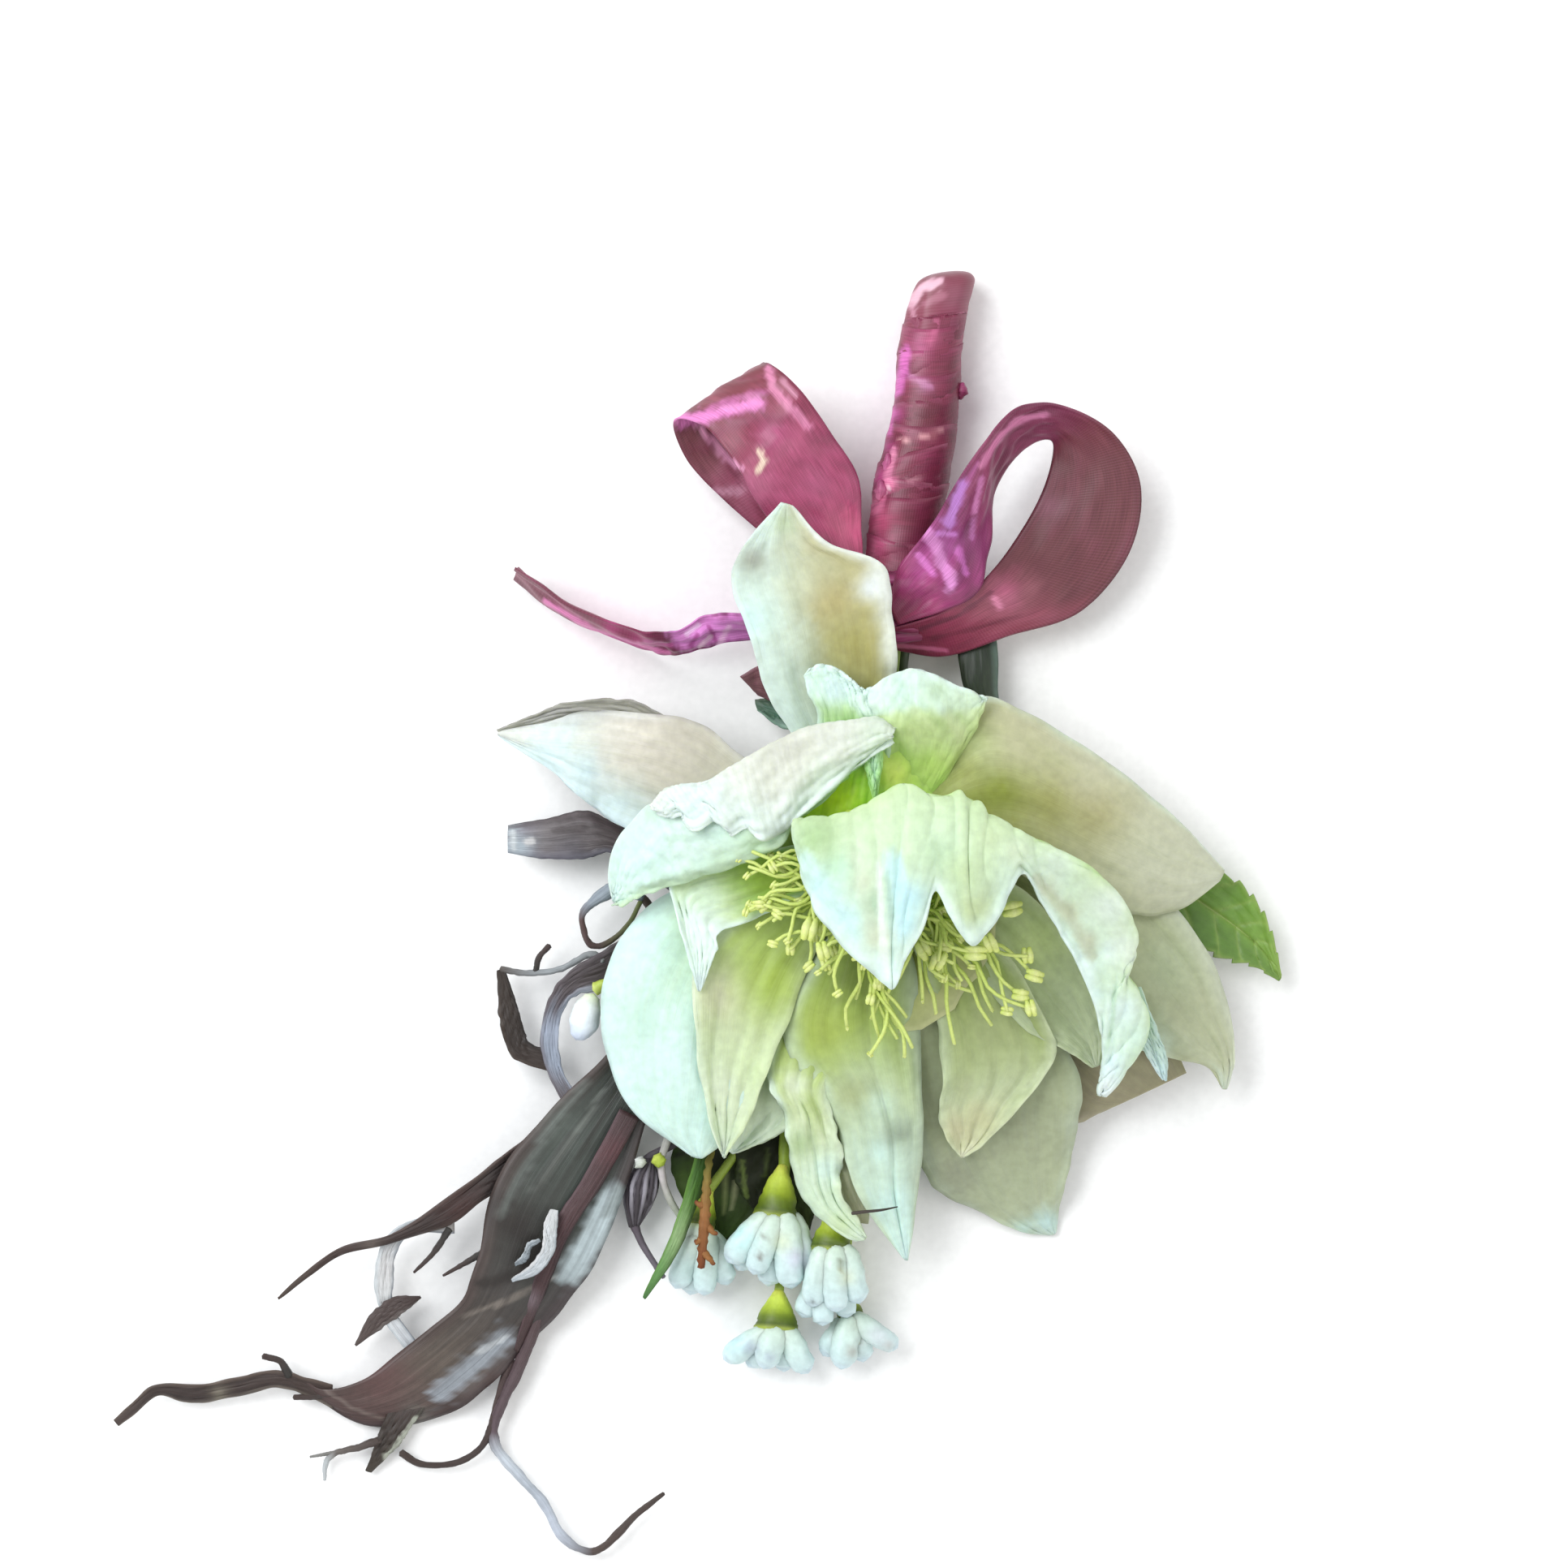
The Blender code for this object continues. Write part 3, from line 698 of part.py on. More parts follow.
def floret_sprig():
    """The sprig's stem, its branches and a green calyx behind each floret."""
    path = [(-4.7, -9.0, 2.7), (-7.0, -22.0, 2.0), (-11.0, -40.0, 2.2), (-15.0, -56.0, 3.0),
            (-16.2, -64.0, 4.4), (-16.4, -69.4, 5.2)]
    pieces = [stem(270, STEM_RING, STEM_RADIUS, path, 0.7, 16)]
    node = np.array((-15.0, -56.0, 3.0))
    for name, (top, mouth, spread, count, radius) in FLORETS.items():
        top = np.array(top, float)
        mouth = np.array(mouth, float)
        axis = (mouth - top) / np.linalg.norm(mouth - top)
        start = top - axis * CALYX_LENGTH
        seat = top + axis * 0.05
        pieces.append(tube([start, start + axis * 1.6, top - axis * 1.2, seat],
                           (0.6, 0.55 * radius, radius, 0.96 * radius), 4, 2))
        if name == "floret_low_left":
            pieces.append(tube([(-14.4, -63.0, 1.6), (-14.6, -74.0, 0.6), (-15.4, -79.6, 1.2), start],
                               (0.55, 0.5, 0.5, 0.6), 6))
            pieces.append(tube([node, (-14.6, -60.0, 2.2), (-14.4, -63.0, 1.6)], (0.6, 0.55, 0.55), 2))
        elif name == "floret_low_right":
            pieces.append(tube([(-14.4, -63.0, 1.6), (-9.0, -72.0, 0.6), (-7.6, -77.6, 0.7), start],
                               (0.55, 0.5, 0.5, 0.6), 6))
        elif name != "floret_left":
            pieces.append(tube([node, 0.5 * (node + start) + (0, 0, -0.3), start], (0.6, 0.55, 0.6), 5))
    bud_branch = [(-10.0, -36.0, 2.1), (-20.0, -43.5, 6.4), (-29.0, -46.6, 7.6), (-37.4, -45.2, 7.0),
                  (-39.66, -45.86, 6.46)]
    pieces.append(tube(bud_branch, (0.6, 0.5, 0.5, 0.6, 0.8), 7))
    teal = dict(left=[(-5.0, -15.0, 2.2), (-8.6, -13.6, 4.3), (-13.0, -12.0, 4.3), (-18.0, -10.2, 3.4),
                      (-20.0, -10.2, 3.0)],
                right=[(-5.6, -16.4, 2.0), (-9.0, -15.4, 4.2), (-13.0, -14.4, 4.2), (-16.8, -13.6, 3.3),
                       (-19.6, -11.6, 3.0)])
    pieces.append(blade(thick=LEAF_THICK, rows=6, cols=2, **teal))
    return fused("floret_sprig", pieces, STEM_GREEN)


def side_bud():
    """A small closed white bud at the left of the bloom."""
    body = ball((-40.9, -49.2, 6.4), (1.8, 3.0, 1.7), 10, 7, (0, 0, -18))
    return fused("side_bud", [body], FLORET_WHITE, level=False)


# Fillers under the bloom: a grass blade, a rusty twig and a small catkin on one stem
def filler_sprig():
    """A grass blade, a twig and a catkin on one thin stem."""
    path = [(-6.4, -9.0, 1.3), (-10.0, -24.0, 1.1), (-17.0, -44.0, 1.2), (-23.0, -58.0, 2.2),
            (-25.4, -64.0, 3.2)]
    grass = dict(left=[(-26.4, -62.0, 3.4), (-28.4, -69.0, 5.4), (-31.0, -77.0, 6.6), (-33.8, -83.8, 6.0)],
                 right=[(-24.0, -62.0, 3.4), (-26.0, -69.6, 5.4), (-29.2, -78.0, 6.6),
                        (-33.2, -84.2, 6.0)])
    broad = dict(left=[(-21.6, -53.0, 1.8), (-26.4, -60.6, 1.3), (-27.6, -66.0, 0.9), (-26.0, -71.0, 0.6)],
                 right=[(-19.4, -53.4, 1.7), (-18.8, -60.6, 1.2), (-18.6, -66.0, 0.8), (-21.0, -70.6, 0.6)])
    pieces = [stem(225, STEM_RING, 0.65, path, 0.8, 15),
              blade(thick=LEAF_THICK, cup=0.4, rows=8, cols=2, **grass),
              blade(thick=LEAF_THICK, rows=6, cols=2, **broad),
              tube([(-24.6, -62.0, 3.2), (-25.8, -68.0, 6.6), (-26.0, -74.0, 8.2), (-26.2, -80.6, 7.2)],
                   (0.6, 0.45, 0.42, 0.38), 5),
              tube([(-26.0, -75.0, 8.1), (-24.8, -77.4, 8.4), (-24.0, -79.0, 8.2)], (0.4, 0.4, 0.36), 2),
              tube([(-25.0, -62.0, 3.0), (-30.0, -65.4, 3.4), (-33.0, -68.4, 2.8), (-34.0, -74.0, 2.6)],
                   (0.5, 0.5, 1.4, 1.0), 6, 2),
              tube([(-34.0, -73.6, 2.6), (-34.2, -77.0, 2.6), (-33.8, -80.4, 2.6)],
                   (0.7, 0.42, 0.38), 2)]
    return fused("filler_sprig", pieces, SPRIG_OLIVE)


handle_wrap()
ribbon_bow()
bloom_petals()
stamens()
bloom_stem()
dried_sprig()
green_leaf()
floret_sprig()
for floret_name, floret_shape in FLORETS.items():
    finger_floret(floret_name, *floret_shape[:4])
side_bud()
filler_sprig()
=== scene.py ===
"""The looks of the corsage: petals, stamens, satin ribbon, dried straps, leaf, florets and fillers.

Every piece is worked out in the measuring frame of the CAD source, in millimetres, and then taken to
the part's own frame by placed(). A grid of points is a function of side (-1 at one edge line, 1 at
the other) and along (0 at the base, 1 at the tip).

Listed points and colours are text tables, which table() reads. A row of a line is x, y, z. A
row of stops is a place and a colour, of margins a colour and a width as a share of the blade.
"""
import json
import math

import bpy
import numpy as np
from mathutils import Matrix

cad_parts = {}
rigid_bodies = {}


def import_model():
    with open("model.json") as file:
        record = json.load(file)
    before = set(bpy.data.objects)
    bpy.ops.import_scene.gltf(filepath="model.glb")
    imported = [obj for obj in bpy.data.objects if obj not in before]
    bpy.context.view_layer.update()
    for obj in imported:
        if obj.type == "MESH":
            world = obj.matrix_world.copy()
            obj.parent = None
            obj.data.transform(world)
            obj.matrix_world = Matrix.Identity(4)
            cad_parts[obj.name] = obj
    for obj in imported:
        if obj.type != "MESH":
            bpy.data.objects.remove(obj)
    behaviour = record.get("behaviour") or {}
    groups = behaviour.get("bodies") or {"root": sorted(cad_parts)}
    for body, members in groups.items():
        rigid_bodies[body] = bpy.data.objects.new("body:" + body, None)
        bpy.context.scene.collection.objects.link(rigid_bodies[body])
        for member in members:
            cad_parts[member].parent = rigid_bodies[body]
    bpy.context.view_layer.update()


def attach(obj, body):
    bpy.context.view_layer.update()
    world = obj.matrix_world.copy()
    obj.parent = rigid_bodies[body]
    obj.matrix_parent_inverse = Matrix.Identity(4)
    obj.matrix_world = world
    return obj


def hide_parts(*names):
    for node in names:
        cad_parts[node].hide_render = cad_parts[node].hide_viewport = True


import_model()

MM = 0.001
TURN = 2 * math.pi
KNOT = np.array((-2.4, 1.2, 0.0))      # centre of the knot in the measuring frame, mm
VIEW_CENTRE = np.array((-14.0, -21.8)) # the point of the table that the measured view looks down on
VIEW_HEIGHT = 820.0                    # eye above the table, mm
TRUE_LEVEL = 15.0                      # height at which the measured view shows sizes as they are, mm
TABLE_SOFTNESS = 0.3                   # how gently a piece comes down on the table, mm

# Sheets, ribbon, the wound handle and the stems in it, mm; the axis leans by its slope as it runs out
PETAL_THICK = 0.34
RIBBON_THICK = 0.26
STRAP_THICK = 0.42
LEAF_THICK = 0.4
RIBBON_WIDTH = 11.0
HANDLE_START = 4.6
HANDLE_LENGTH = 36.5
HANDLE_TURNS = 10
KNOT_RADIUS = 5.35
KNOT_HALF_LENGTH = 4.1
AXIS_HEIGHT_KNOT = 5.12
AXIS_HEIGHT_END = 3.86
AXIS_SLOPE = 0.158
STEM_RADIUS = 0.75
STEM_RING = 2.25
STEM_SETBACK = 2.2
CORE_CENTRE = np.array((-4.5, -31.0, 18.0))  # middle of the bloom, where the stamens start, mm
SPREAD_STAMENS = 86   # all round below the hood
LOW_STAMENS = 18      # long thin ones that fall towards the narrow petals
NECTARIES = 15
CATKIN_SCALES = 14
PETAL_CAST = np.array((0.80, 0.92, 0.915))  # fresh petals are mint white: less red than their listed tints


def linear(hex_colour):
    """An sRGB hex colour as linear red, green and blue."""
    parts = np.array([int(hex_colour[k:k + 2], 16) for k in (1, 3, 5)]) / 255
    return np.where(parts <= 0.04045, parts / 12.92, ((parts + 0.055) / 1.055) ** 2.4)


def table(text):
    """The rows of a text table as tuples: commas part rows, blanks part values, # starts a colour."""
    return [tuple(value if value[0] == "#" else float(value) for value in row.split())
            for row in text.split(",") if row.strip()]


def tables(text):
    """Several text tables, parted by semicolons: the lines that a surface goes through."""
    return [table(part) for part in text.split(";")]


def smooth_line(points, steps):
    """A smooth line through the points, given at steps + 1 places."""
    shape = np.shape(points)
    pts = np.reshape(points, (shape[0], -1)).astype(float)
    ends = np.vstack([2 * pts[0] - pts[1], pts, 2 * pts[-1] - pts[-2]])
    place = np.linspace(0, len(pts) - 1, steps + 1)
    first = np.minimum(place.astype(int), len(pts) - 2)
    f = (place - first)[:, None]
    a, b, c, d = ends[first], ends[first + 1], ends[first + 2], ends[first + 3]
    line = 0.5 * (2 * b + (c - a) * f + (2 * a - 5 * b + 4 * c - d) * f**2
                  + (3 * b - a - 3 * c + d) * f**3)
    return line.reshape(steps + 1, *shape[1:])


def placed(points):
    """From the measuring frame, mm, to the part's frame, m.

    The view's perspective is taken out: x and y move in by (eye - z) / (eye - true level). A height
    z becomes (z + sqrt(z^2 + softness^2)) / 2, which never goes under the table.
    """
    moved = points - KNOT
    height = 0.5 * (moved[:, 2] + np.sqrt(moved[:, 2] ** 2 + TABLE_SOFTNESS**2))
    reach = VIEW_HEIGHT - TRUE_LEVEL
    scale = ((VIEW_HEIGHT - height) / reach)[:, None]
    flat = moved[:, :2] * scale + VIEW_CENTRE * (VIEW_HEIGHT / reach - scale)
    return np.column_stack([flat, height]) * MM


def unit(vectors):
    """The vectors at length one."""
    return vectors / (np.linalg.norm(vectors, axis=-1, keepdims=True) + 1e-9)


def step_up(low, high, value):
    """0 below low, 1 above high, and a smooth S between them."""
    t = np.clip((value - low) / (high - low), 0, 1)
    return t * t * (3 - 2 * t)


def uneven(a, b, seed, count=6):
    """Smooth uneven relief between about -1 and 1: the sum of sine waves in seeded directions."""
    rng = np.random.default_rng(seed)
    total = 0.0
    for k in range(count):
        fa, fb = rng.uniform(-1, 1, 2) * (1 + 0.7 * k)
        total = total + np.sin(TURN * (fa * a + fb * b) + rng.uniform(0, TURN)) / (1 + 0.5 * k)
    return total / 2.2


def crumpled(a, b, seed, count=5):
    """Sharp folds between 0 and 1: the mean of triangle waves in seeded directions."""
    rng = np.random.default_rng(seed)
    total = 0.0
    for k in range(count):
        fa, fb = rng.uniform(-1, 1, 2) * (1 + 0.5 * k)
        line = fa * a + fb * b + rng.uniform(0, 1)
        total = total + 2 * np.abs(line - np.floor(line + 0.5))
    return total / count


def coloured(stops, along):
    """Colours read along a text table whose rows are a place and a colour."""
    places, colours = zip(*table(stops))
    colours = np.array([linear(colour) for colour in colours])
    return np.stack([np.interp(along, places, colours[:, k]) for k in range(3)], axis=-1)


def tinted(tint, weight, hex_colour):
    """The colours mixed with one more by a weight from 0 to 1."""
    weight = np.clip(weight, 0, 1)[..., None]
    return tint * (1 - weight) + linear(hex_colour) * weight


def patched(tint, points, patches, seed=5):
    """Soft patches of colour, uneven at their rims, from rows of x, y, reach, colour and strength."""
    rough = 1 + 0.35 * uneven(points[..., 0] / 3.1, points[..., 1] / 3.1, seed)
    for x, y, reach, colour, strength in table(patches):
        away = (points[..., 0] - x) ** 2 + (points[..., 1] - y) ** 2
        tint = tinted(tint, strength * np.exp(-away / reach**2 * rough), colour)
    return tint


def streaked(tint, points, streaks, seed=6):
    """Streaks of colour, from rows of each point's x and y, then half width, colour and strength.

    The weight is strength * exp(-(distance from the streak's line / half width)^4), a crisp rim that
    is moved in and out by a third of the half width.
    """
    x, y = points[..., 0], points[..., 1]
    rough = 1 + 0.35 * uneven(x / 1.9, y / 1.9, seed)
    for *line, reach, colour, strength in table(streaks):
        away = np.inf
        for x0, y0, x1, y1 in zip(line[::2], line[1::2], line[2::2], line[3::2]):
            run, rise = x1 - x0, y1 - y0
            share = np.clip(((x - x0) * run + (y - y0) * rise) / (run**2 + rise**2), 0, 1)
            away = np.minimum(away, np.hypot(x - x0 - share * run, y - y0 - share * rise))
        tint = tinted(tint, strength * np.exp(-((away / reach * rough) ** 4)), colour)
    return tint


def loft(lines, rows, cols):
    """A smooth surface through lines, rows along them and cols across, as a grid of points.

    With it come side and along at each point, the upward normal, and the direction across.
    """
    points = smooth_line(np.stack([smooth_line(line, rows) for line in lines]), cols).swapaxes(0, 1)
    side, along = np.meshgrid(np.linspace(-1, 1, cols + 1), np.linspace(0, 1, rows + 1))
    across = np.gradient(points, axis=1)
    face = unit(np.cross(across, np.gradient(points, axis=0)))
    if face[..., 2].mean() < 0:
        face = -face
    return points, side, along, face, unit(across)


def mesh_part(points, quads, tris, unit_uv, laid_uv, tint):
    """One closed surface, ready to be joined with others into a piece."""
    return dict(points=points, quads=quads, tris=tris, unit_uv=unit_uv, laid_uv=laid_uv, tint=tint)


def shell(points, side, along, tint, thick, taper=0.5):
    """A closed sheet: the grid moved half a thickness both ways along its normals, with rims.

    The thickness falls by taper towards both edge lines, as thick * (1 - taper * side^8).
    """
    rows, cols = side.shape
    normal = unit(np.cross(np.gradient(points, axis=1), np.gradient(points, axis=0)))
    half = (0.5 * thick * (1 - taper * side**8))[..., None] * normal
    both = np.concatenate([(points + half).reshape(-1, 3), (points - half).reshape(-1, 3)])
    index = np.arange(rows * cols).reshape(rows, cols)
    corners = (index[:-1, :-1], index[:-1, 1:], index[1:, 1:], index[1:, :-1])
    upper = np.stack(corners, axis=-1).reshape(-1, 4)
    under = upper[:, ::-1] + rows * cols
    border = np.concatenate([index[0], index[1:, -1], index[-1, -2::-1], index[-2:0:-1, 0]])
    after = np.roll(border, -1)
    rim = np.stack([after, border, border + rows * cols, after + rows * cols], axis=-1)
    width = np.linalg.norm(points[:, -1] - points[:, 0], axis=1).max()
    length = np.linalg.norm(np.diff(points.mean(axis=1), axis=0), axis=1).sum()
    place = np.stack([0.5 * side + 0.5, along], axis=-1).reshape(-1, 2)
    laid = place * (width, length)
    return mesh_part(both, np.concatenate([upper, under, rim]), np.zeros((0, 3), int),
                     np.concatenate([place, place]), np.concatenate([laid, laid]),
                     np.tile(tint.reshape(-1, 3), (2, 1)))


def tube(points, radii, stops, steps=24, sides=10, flat=1.0, knobbly=0.0, seed=3):
    """A closed tube: rings of a radius read along a smooth line, with a point beyond each end.

    knobbly swells and narrows each ring by that share, unevenly along and round the tube, and flat
    squashes the rings' height.
    """
    line = smooth_line(np.column_stack([np.array(points, float), np.array(radii, float)]), steps)
    centre, radius = line[:, :3], np.maximum(line[:, 3], 0.02)
    way = unit(np.gradient(centre, axis=0))
    aside = unit(np.cross(way, (0.04, 0.02, 1.0)))
    upward = np.cross(aside, way)
    turn, along = np.meshgrid(np.arange(sides) * TURN / sides, np.linspace(0, 1, steps + 1))
    swell = radius[:, None] * (1 + knobbly * uneven(along * steps / 5, np.cos(turn) * 0.6, seed))
    rings = (centre[:, None] + (swell * np.cos(turn))[..., None] * aside[:, None]
             + (swell * flat * np.sin(turn))[..., None] * upward[:, None])
    tips = np.stack([centre[0] - way[0] * radius[0] * 0.45, centre[-1] + way[-1] * radius[-1] * 0.45])
    everything = np.concatenate([rings.reshape(-1, 3), tips])
    index = np.arange((steps + 1) * sides).reshape(steps + 1, sides)
    beside = np.roll(index, -1, axis=1)
    quads = np.stack([index[:-1], index[1:], beside[1:], beside[:-1]], axis=-1).reshape(-1, 4)
    first = np.stack([np.full(sides, index.size), index[0], beside[0]], axis=-1)
    last = np.stack([np.full(sides, index.size + 1), beside[-1], index[-1]], axis=-1)
    place = np.concatenate([np.stack([np.abs(2 * turn / TURN - 1), along], axis=-1).reshape(-1, 2),
                            [(0.5, 0.0), (0.5, 1.0)]])
    length = np.linalg.norm(np.diff(centre, axis=0), axis=1).sum()
    return mesh_part(everything, quads, np.concatenate([first, last]), place,
                     place * (TURN * radius.mean(), length), coloured(stops, place[:, 1]))


def make_piece(name, parts, material, nodes):
    """Joins closed surfaces into one mesh, puts it in its place and ties it to the frame."""
    count = np.cumsum([0] + [len(part["points"]) for part in parts])
    points = placed(np.concatenate([part["points"] for part in parts]))
    quads = np.concatenate([part["quads"] + start for part, start in zip(parts, count)])
    tris = np.concatenate([part["tris"] + start for part, start in zip(parts, count)])
    mesh = bpy.data.meshes.new(name)
    mesh.from_pydata(points, [], quads.tolist() + tris.tolist())
    corner = np.empty(len(mesh.loops), int)
    mesh.loops.foreach_get("vertex_index", corner)
    for key in ("unit_uv", "laid_uv"):
        place = np.concatenate([part[key] for part in parts])
        mesh.uv_layers.new(name=key).data.foreach_set("uv", place[corner].ravel())
    tint = np.concatenate([part["tint"] for part in parts])
    shade = mesh.attributes.new("tint", "FLOAT_COLOR", "POINT")
    shade.data.foreach_set("color", np.column_stack([tint, np.ones(len(tint))]).ravel())
    mesh.shade_smooth()
    mesh.materials.append(material)
    piece = bpy.data.objects.new(name, mesh)
    bpy.context.scene.collection.objects.link(piece)
    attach(piece, "root")
    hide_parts(*nodes)
    return piece


def add_node(material, kind, settings=(), inputs=(), stops=""):
    """One shader node: its settings, its inputs as values or (node, output) links, its ramp's stops."""
    node = material.node_tree.nodes.new(kind)
    for key, value in dict(settings).items():
        setattr(node, key, value)
    for key, value in dict(inputs).items():
        if isinstance(value, tuple) and isinstance(value[0], bpy.types.Node):
            material.node_tree.links.new(value[0].outputs[value[1]], node.inputs[key])
        else:
            node.inputs[key].default_value = value
    if stops:
        ramp = node.color_ramp.elements
        for k, (place, colour) in enumerate(table(stops)):
            stop = ramp[k] if k < 2 else ramp.new(place)
            stop.position = place
            stop.color = (*linear(colour), 1.0)
    return node


def finish_material(name, constants):
    """An empty node material with its surface's constant values, and its shader."""
    material = bpy.data.materials.new(name)
    material.use_nodes = True
    shader = material.node_tree.nodes["Principled BSDF"]
    for key, value in constants.items():
        shader.inputs[key].default_value = value
    return material, shader


def band_scale(period):
    """The Wave texture's scale for bands that repeat at this distance in the units of its vector."""
    return math.pi / 10 / period


def tissue(name, constants, across, lengthwise, depth, vein_colour, vein_share, speckle):
    """Plant tissue or cloth from its own colours, with lengthwise fibres and a fine unevenness.

    Fibres: noise on the piece's own map, stretched to so many across the blade and so few along it,
    darkens or tints by vein_share and raises the surface by depth. speckle is the size of the fine
    mottling in metres, read from Object coordinates.
    """
    material, shader = finish_material(name, constants)
    own = add_node(material, "ShaderNodeAttribute", {"attribute_name": "tint"})
    place = add_node(material, "ShaderNodeUVMap", {"uv_map": "unit_uv"})
    stretch = add_node(material, "ShaderNodeMapping", (),
                       {"Vector": (place, "UV"), "Scale": (across, lengthwise, 1.0)})
    fibres = add_node(material, "ShaderNodeTexNoise", (),
                      {"Vector": (stretch, "Vector"), "Scale": 1.0, "Detail": 4.0, "Roughness": 0.6})
    share = add_node(material, "ShaderNodeMath", {"operation": "MULTIPLY"},
                     {0: (fibres, "Fac"), 1: vein_share})
    veined = add_node(material, "ShaderNodeMixRGB", (),
                      {"Fac": (share, "Value"), "Color1": (own, "Color"),
                       "Color2": (*linear(vein_colour), 1.0)})
    spot = add_node(material, "ShaderNodeTexCoord")
    mottle = add_node(material, "ShaderNodeTexNoise", (),
                      {"Vector": (spot, "Object"), "Scale": 1.0 / speckle, "Detail": 3.0})
    even = add_node(material, "ShaderNodeValToRGB", (), {"Fac": (mottle, "Fac")},
                    "0.3 #e6e6e6, 0.7 #ffffff")
    mixed = add_node(material, "ShaderNodeMixRGB", {"blend_type": "MULTIPLY"},
                     {"Fac": 0.7, "Color1": (veined, "Color"), "Color2": (even, "Color")})
    raised = add_node(material, "ShaderNodeBump", (),
                      {"Height": (fibres, "Fac"), "Distance": depth, "Strength": 0.6})
    links = material.node_tree.links
    links.new(mixed.outputs["Color"], shader.inputs["Base Color"])
    links.new(raised.outputs["Normal"], shader.inputs["Normal"])
    return material


# A fresh petal is thin wet tissue: light soaks into it, and its skin has a soft satin gloss
PETAL_TISSUE = tissue("hellebore_petal", {
    "Roughness": 0.5, "Subsurface Weight": 0.35, "Subsurface Radius": (1.0, 1.0, 0.6),
    "Subsurface Scale": 0.0012, "Specular IOR Level": 0.35},
    30.0, 1.6, 0.00012, "#b9c08a", 0.30, 0.0011)
# A bell floret is fleshier than a petal and has hardly any veins
FLORET_TISSUE = tissue("bell_floret", {
    "Roughness": 0.45, "Subsurface Weight": 0.4, "Subsurface Radius": (0.9, 1.0, 1.0),
    "Subsurface Scale": 0.0014, "Specular IOR Level": 0.4},
    6.0, 1.5, 0.00008, "#a9b4c0", 0.22, 0.0009)
# Filaments and anthers: matte threads tipped with powdery pollen sacs
FILAMENT_TISSUE = tissue("filament_and_anther", {
    "Roughness": 0.6, "Subsurface Weight": 0.25, "Subsurface Radius": (0.8, 1.0, 0.2),
    "Subsurface Scale": 0.0006},
    3.0, 14.0, 0.00005, "#8aa030", 0.35, 0.0004)
# Dried straps: dull leathery skin, ribbed lengthwise where it shrank
DRIED_STRAP = tissue("dried_strap", {"Roughness": 0.48, "Specular IOR Level": 0.45},
                     26.0, 1.3, 0.00022, "#1f1714", 0.75, 0.0008)
# A fresh leaf has a waxy skin that gives it a low gloss
LEAF_SKIN = tissue("waxy_leaf", {
    "Roughness": 0.42, "Subsurface Weight": 0.12, "Subsurface Radius": (0.5, 1.0, 0.2),
    "Subsurface Scale": 0.0008},
    14.0, 3.0, 0.0001, "#39521c", 0.35, 0.0008)
# Young stems and calyxes: green skin with fine lengthwise lines
STEM_SKIN = tissue("green_stem", {
    "Roughness": 0.5, "Subsurface Weight": 0.15, "Subsurface Radius": (0.6, 1.0, 0.2),
    "Subsurface Scale": 0.0008},
    9.0, 2.0, 0.00006, "#5d6a1c", 0.35, 0.0006)
# Fillers: dry thin grass, twig and catkin scales
FILLER_SKIN = tissue("grass_and_twig", {"Roughness": 0.62, "Specular IOR Level": 0.25},
                     10.0, 3.0, 0.0001, "#2c2a1c", 0.5, 0.0006)


def satin(name):
    """Satin ribbon: the piece's own colours, crosswise ribs and a fine lengthwise warp.

    A real thread of the weft is about 0.12 mm; the ribs are drawn at 0.3 mm, so that they just show.
    """
    material, shader = finish_material(name, {
        "Roughness": 0.42, "Sheen Weight": 0.12, "Sheen Roughness": 0.35,
        "Sheen Tint": (*linear("#e8a0b4"), 1.0), "Anisotropic": 0.3, "Specular IOR Level": 0.45})
    own = add_node(material, "ShaderNodeAttribute", {"attribute_name": "tint"})
    place = add_node(material, "ShaderNodeUVMap", {"uv_map": "laid_uv"})
    ribs = add_node(material, "ShaderNodeTexWave", {"bands_direction": "Y"},
                    {"Vector": (place, "UV"), "Scale": band_scale(0.3), "Distortion": 0.8,
                     "Detail": 2.0, "Detail Scale": 1.5})
    stretch = add_node(material, "ShaderNodeMapping", (),
                       {"Vector": (place, "UV"), "Scale": (5.0, 0.25, 1.0)})
    warp = add_node(material, "ShaderNodeTexNoise", (),
                    {"Vector": (stretch, "Vector"), "Scale": 1.0, "Detail": 3.0})
    shade = add_node(material, "ShaderNodeValToRGB", (), {"Fac": (warp, "Fac")},
                     "0.3 #c4b4ba, 0.7 #ffffff")
    threads = add_node(material, "ShaderNodeMixRGB", {"blend_type": "MULTIPLY"},
                       {"Fac": 0.8, "Color1": (own, "Color"), "Color2": (shade, "Color")})
    weft = add_node(material, "ShaderNodeMath", {"operation": "MULTIPLY"}, {0: (ribs, "Fac"), 1: 0.09})
    lit = add_node(material, "ShaderNodeMixRGB", (),
                   {"Fac": (weft, "Value"), "Color1": (threads, "Color"),
                    "Color2": (*linear("#b8688c"), 1.0)})
    raised = add_node(material, "ShaderNodeBump", (),
                      {"Height": (ribs, "Fac"), "Distance": 0.00002, "Strength": 0.4})
    links = material.node_tree.links
    links.new(lit.outputs["Color"], shader.inputs["Base Color"])
    links.new(raised.outputs["Normal"], shader.inputs["Normal"])
    return material


# Satin weave: long floats of thread lie side by side, so it shines in streaks and turns pink
SATIN_RIBBON = satin("satin_ribbon")


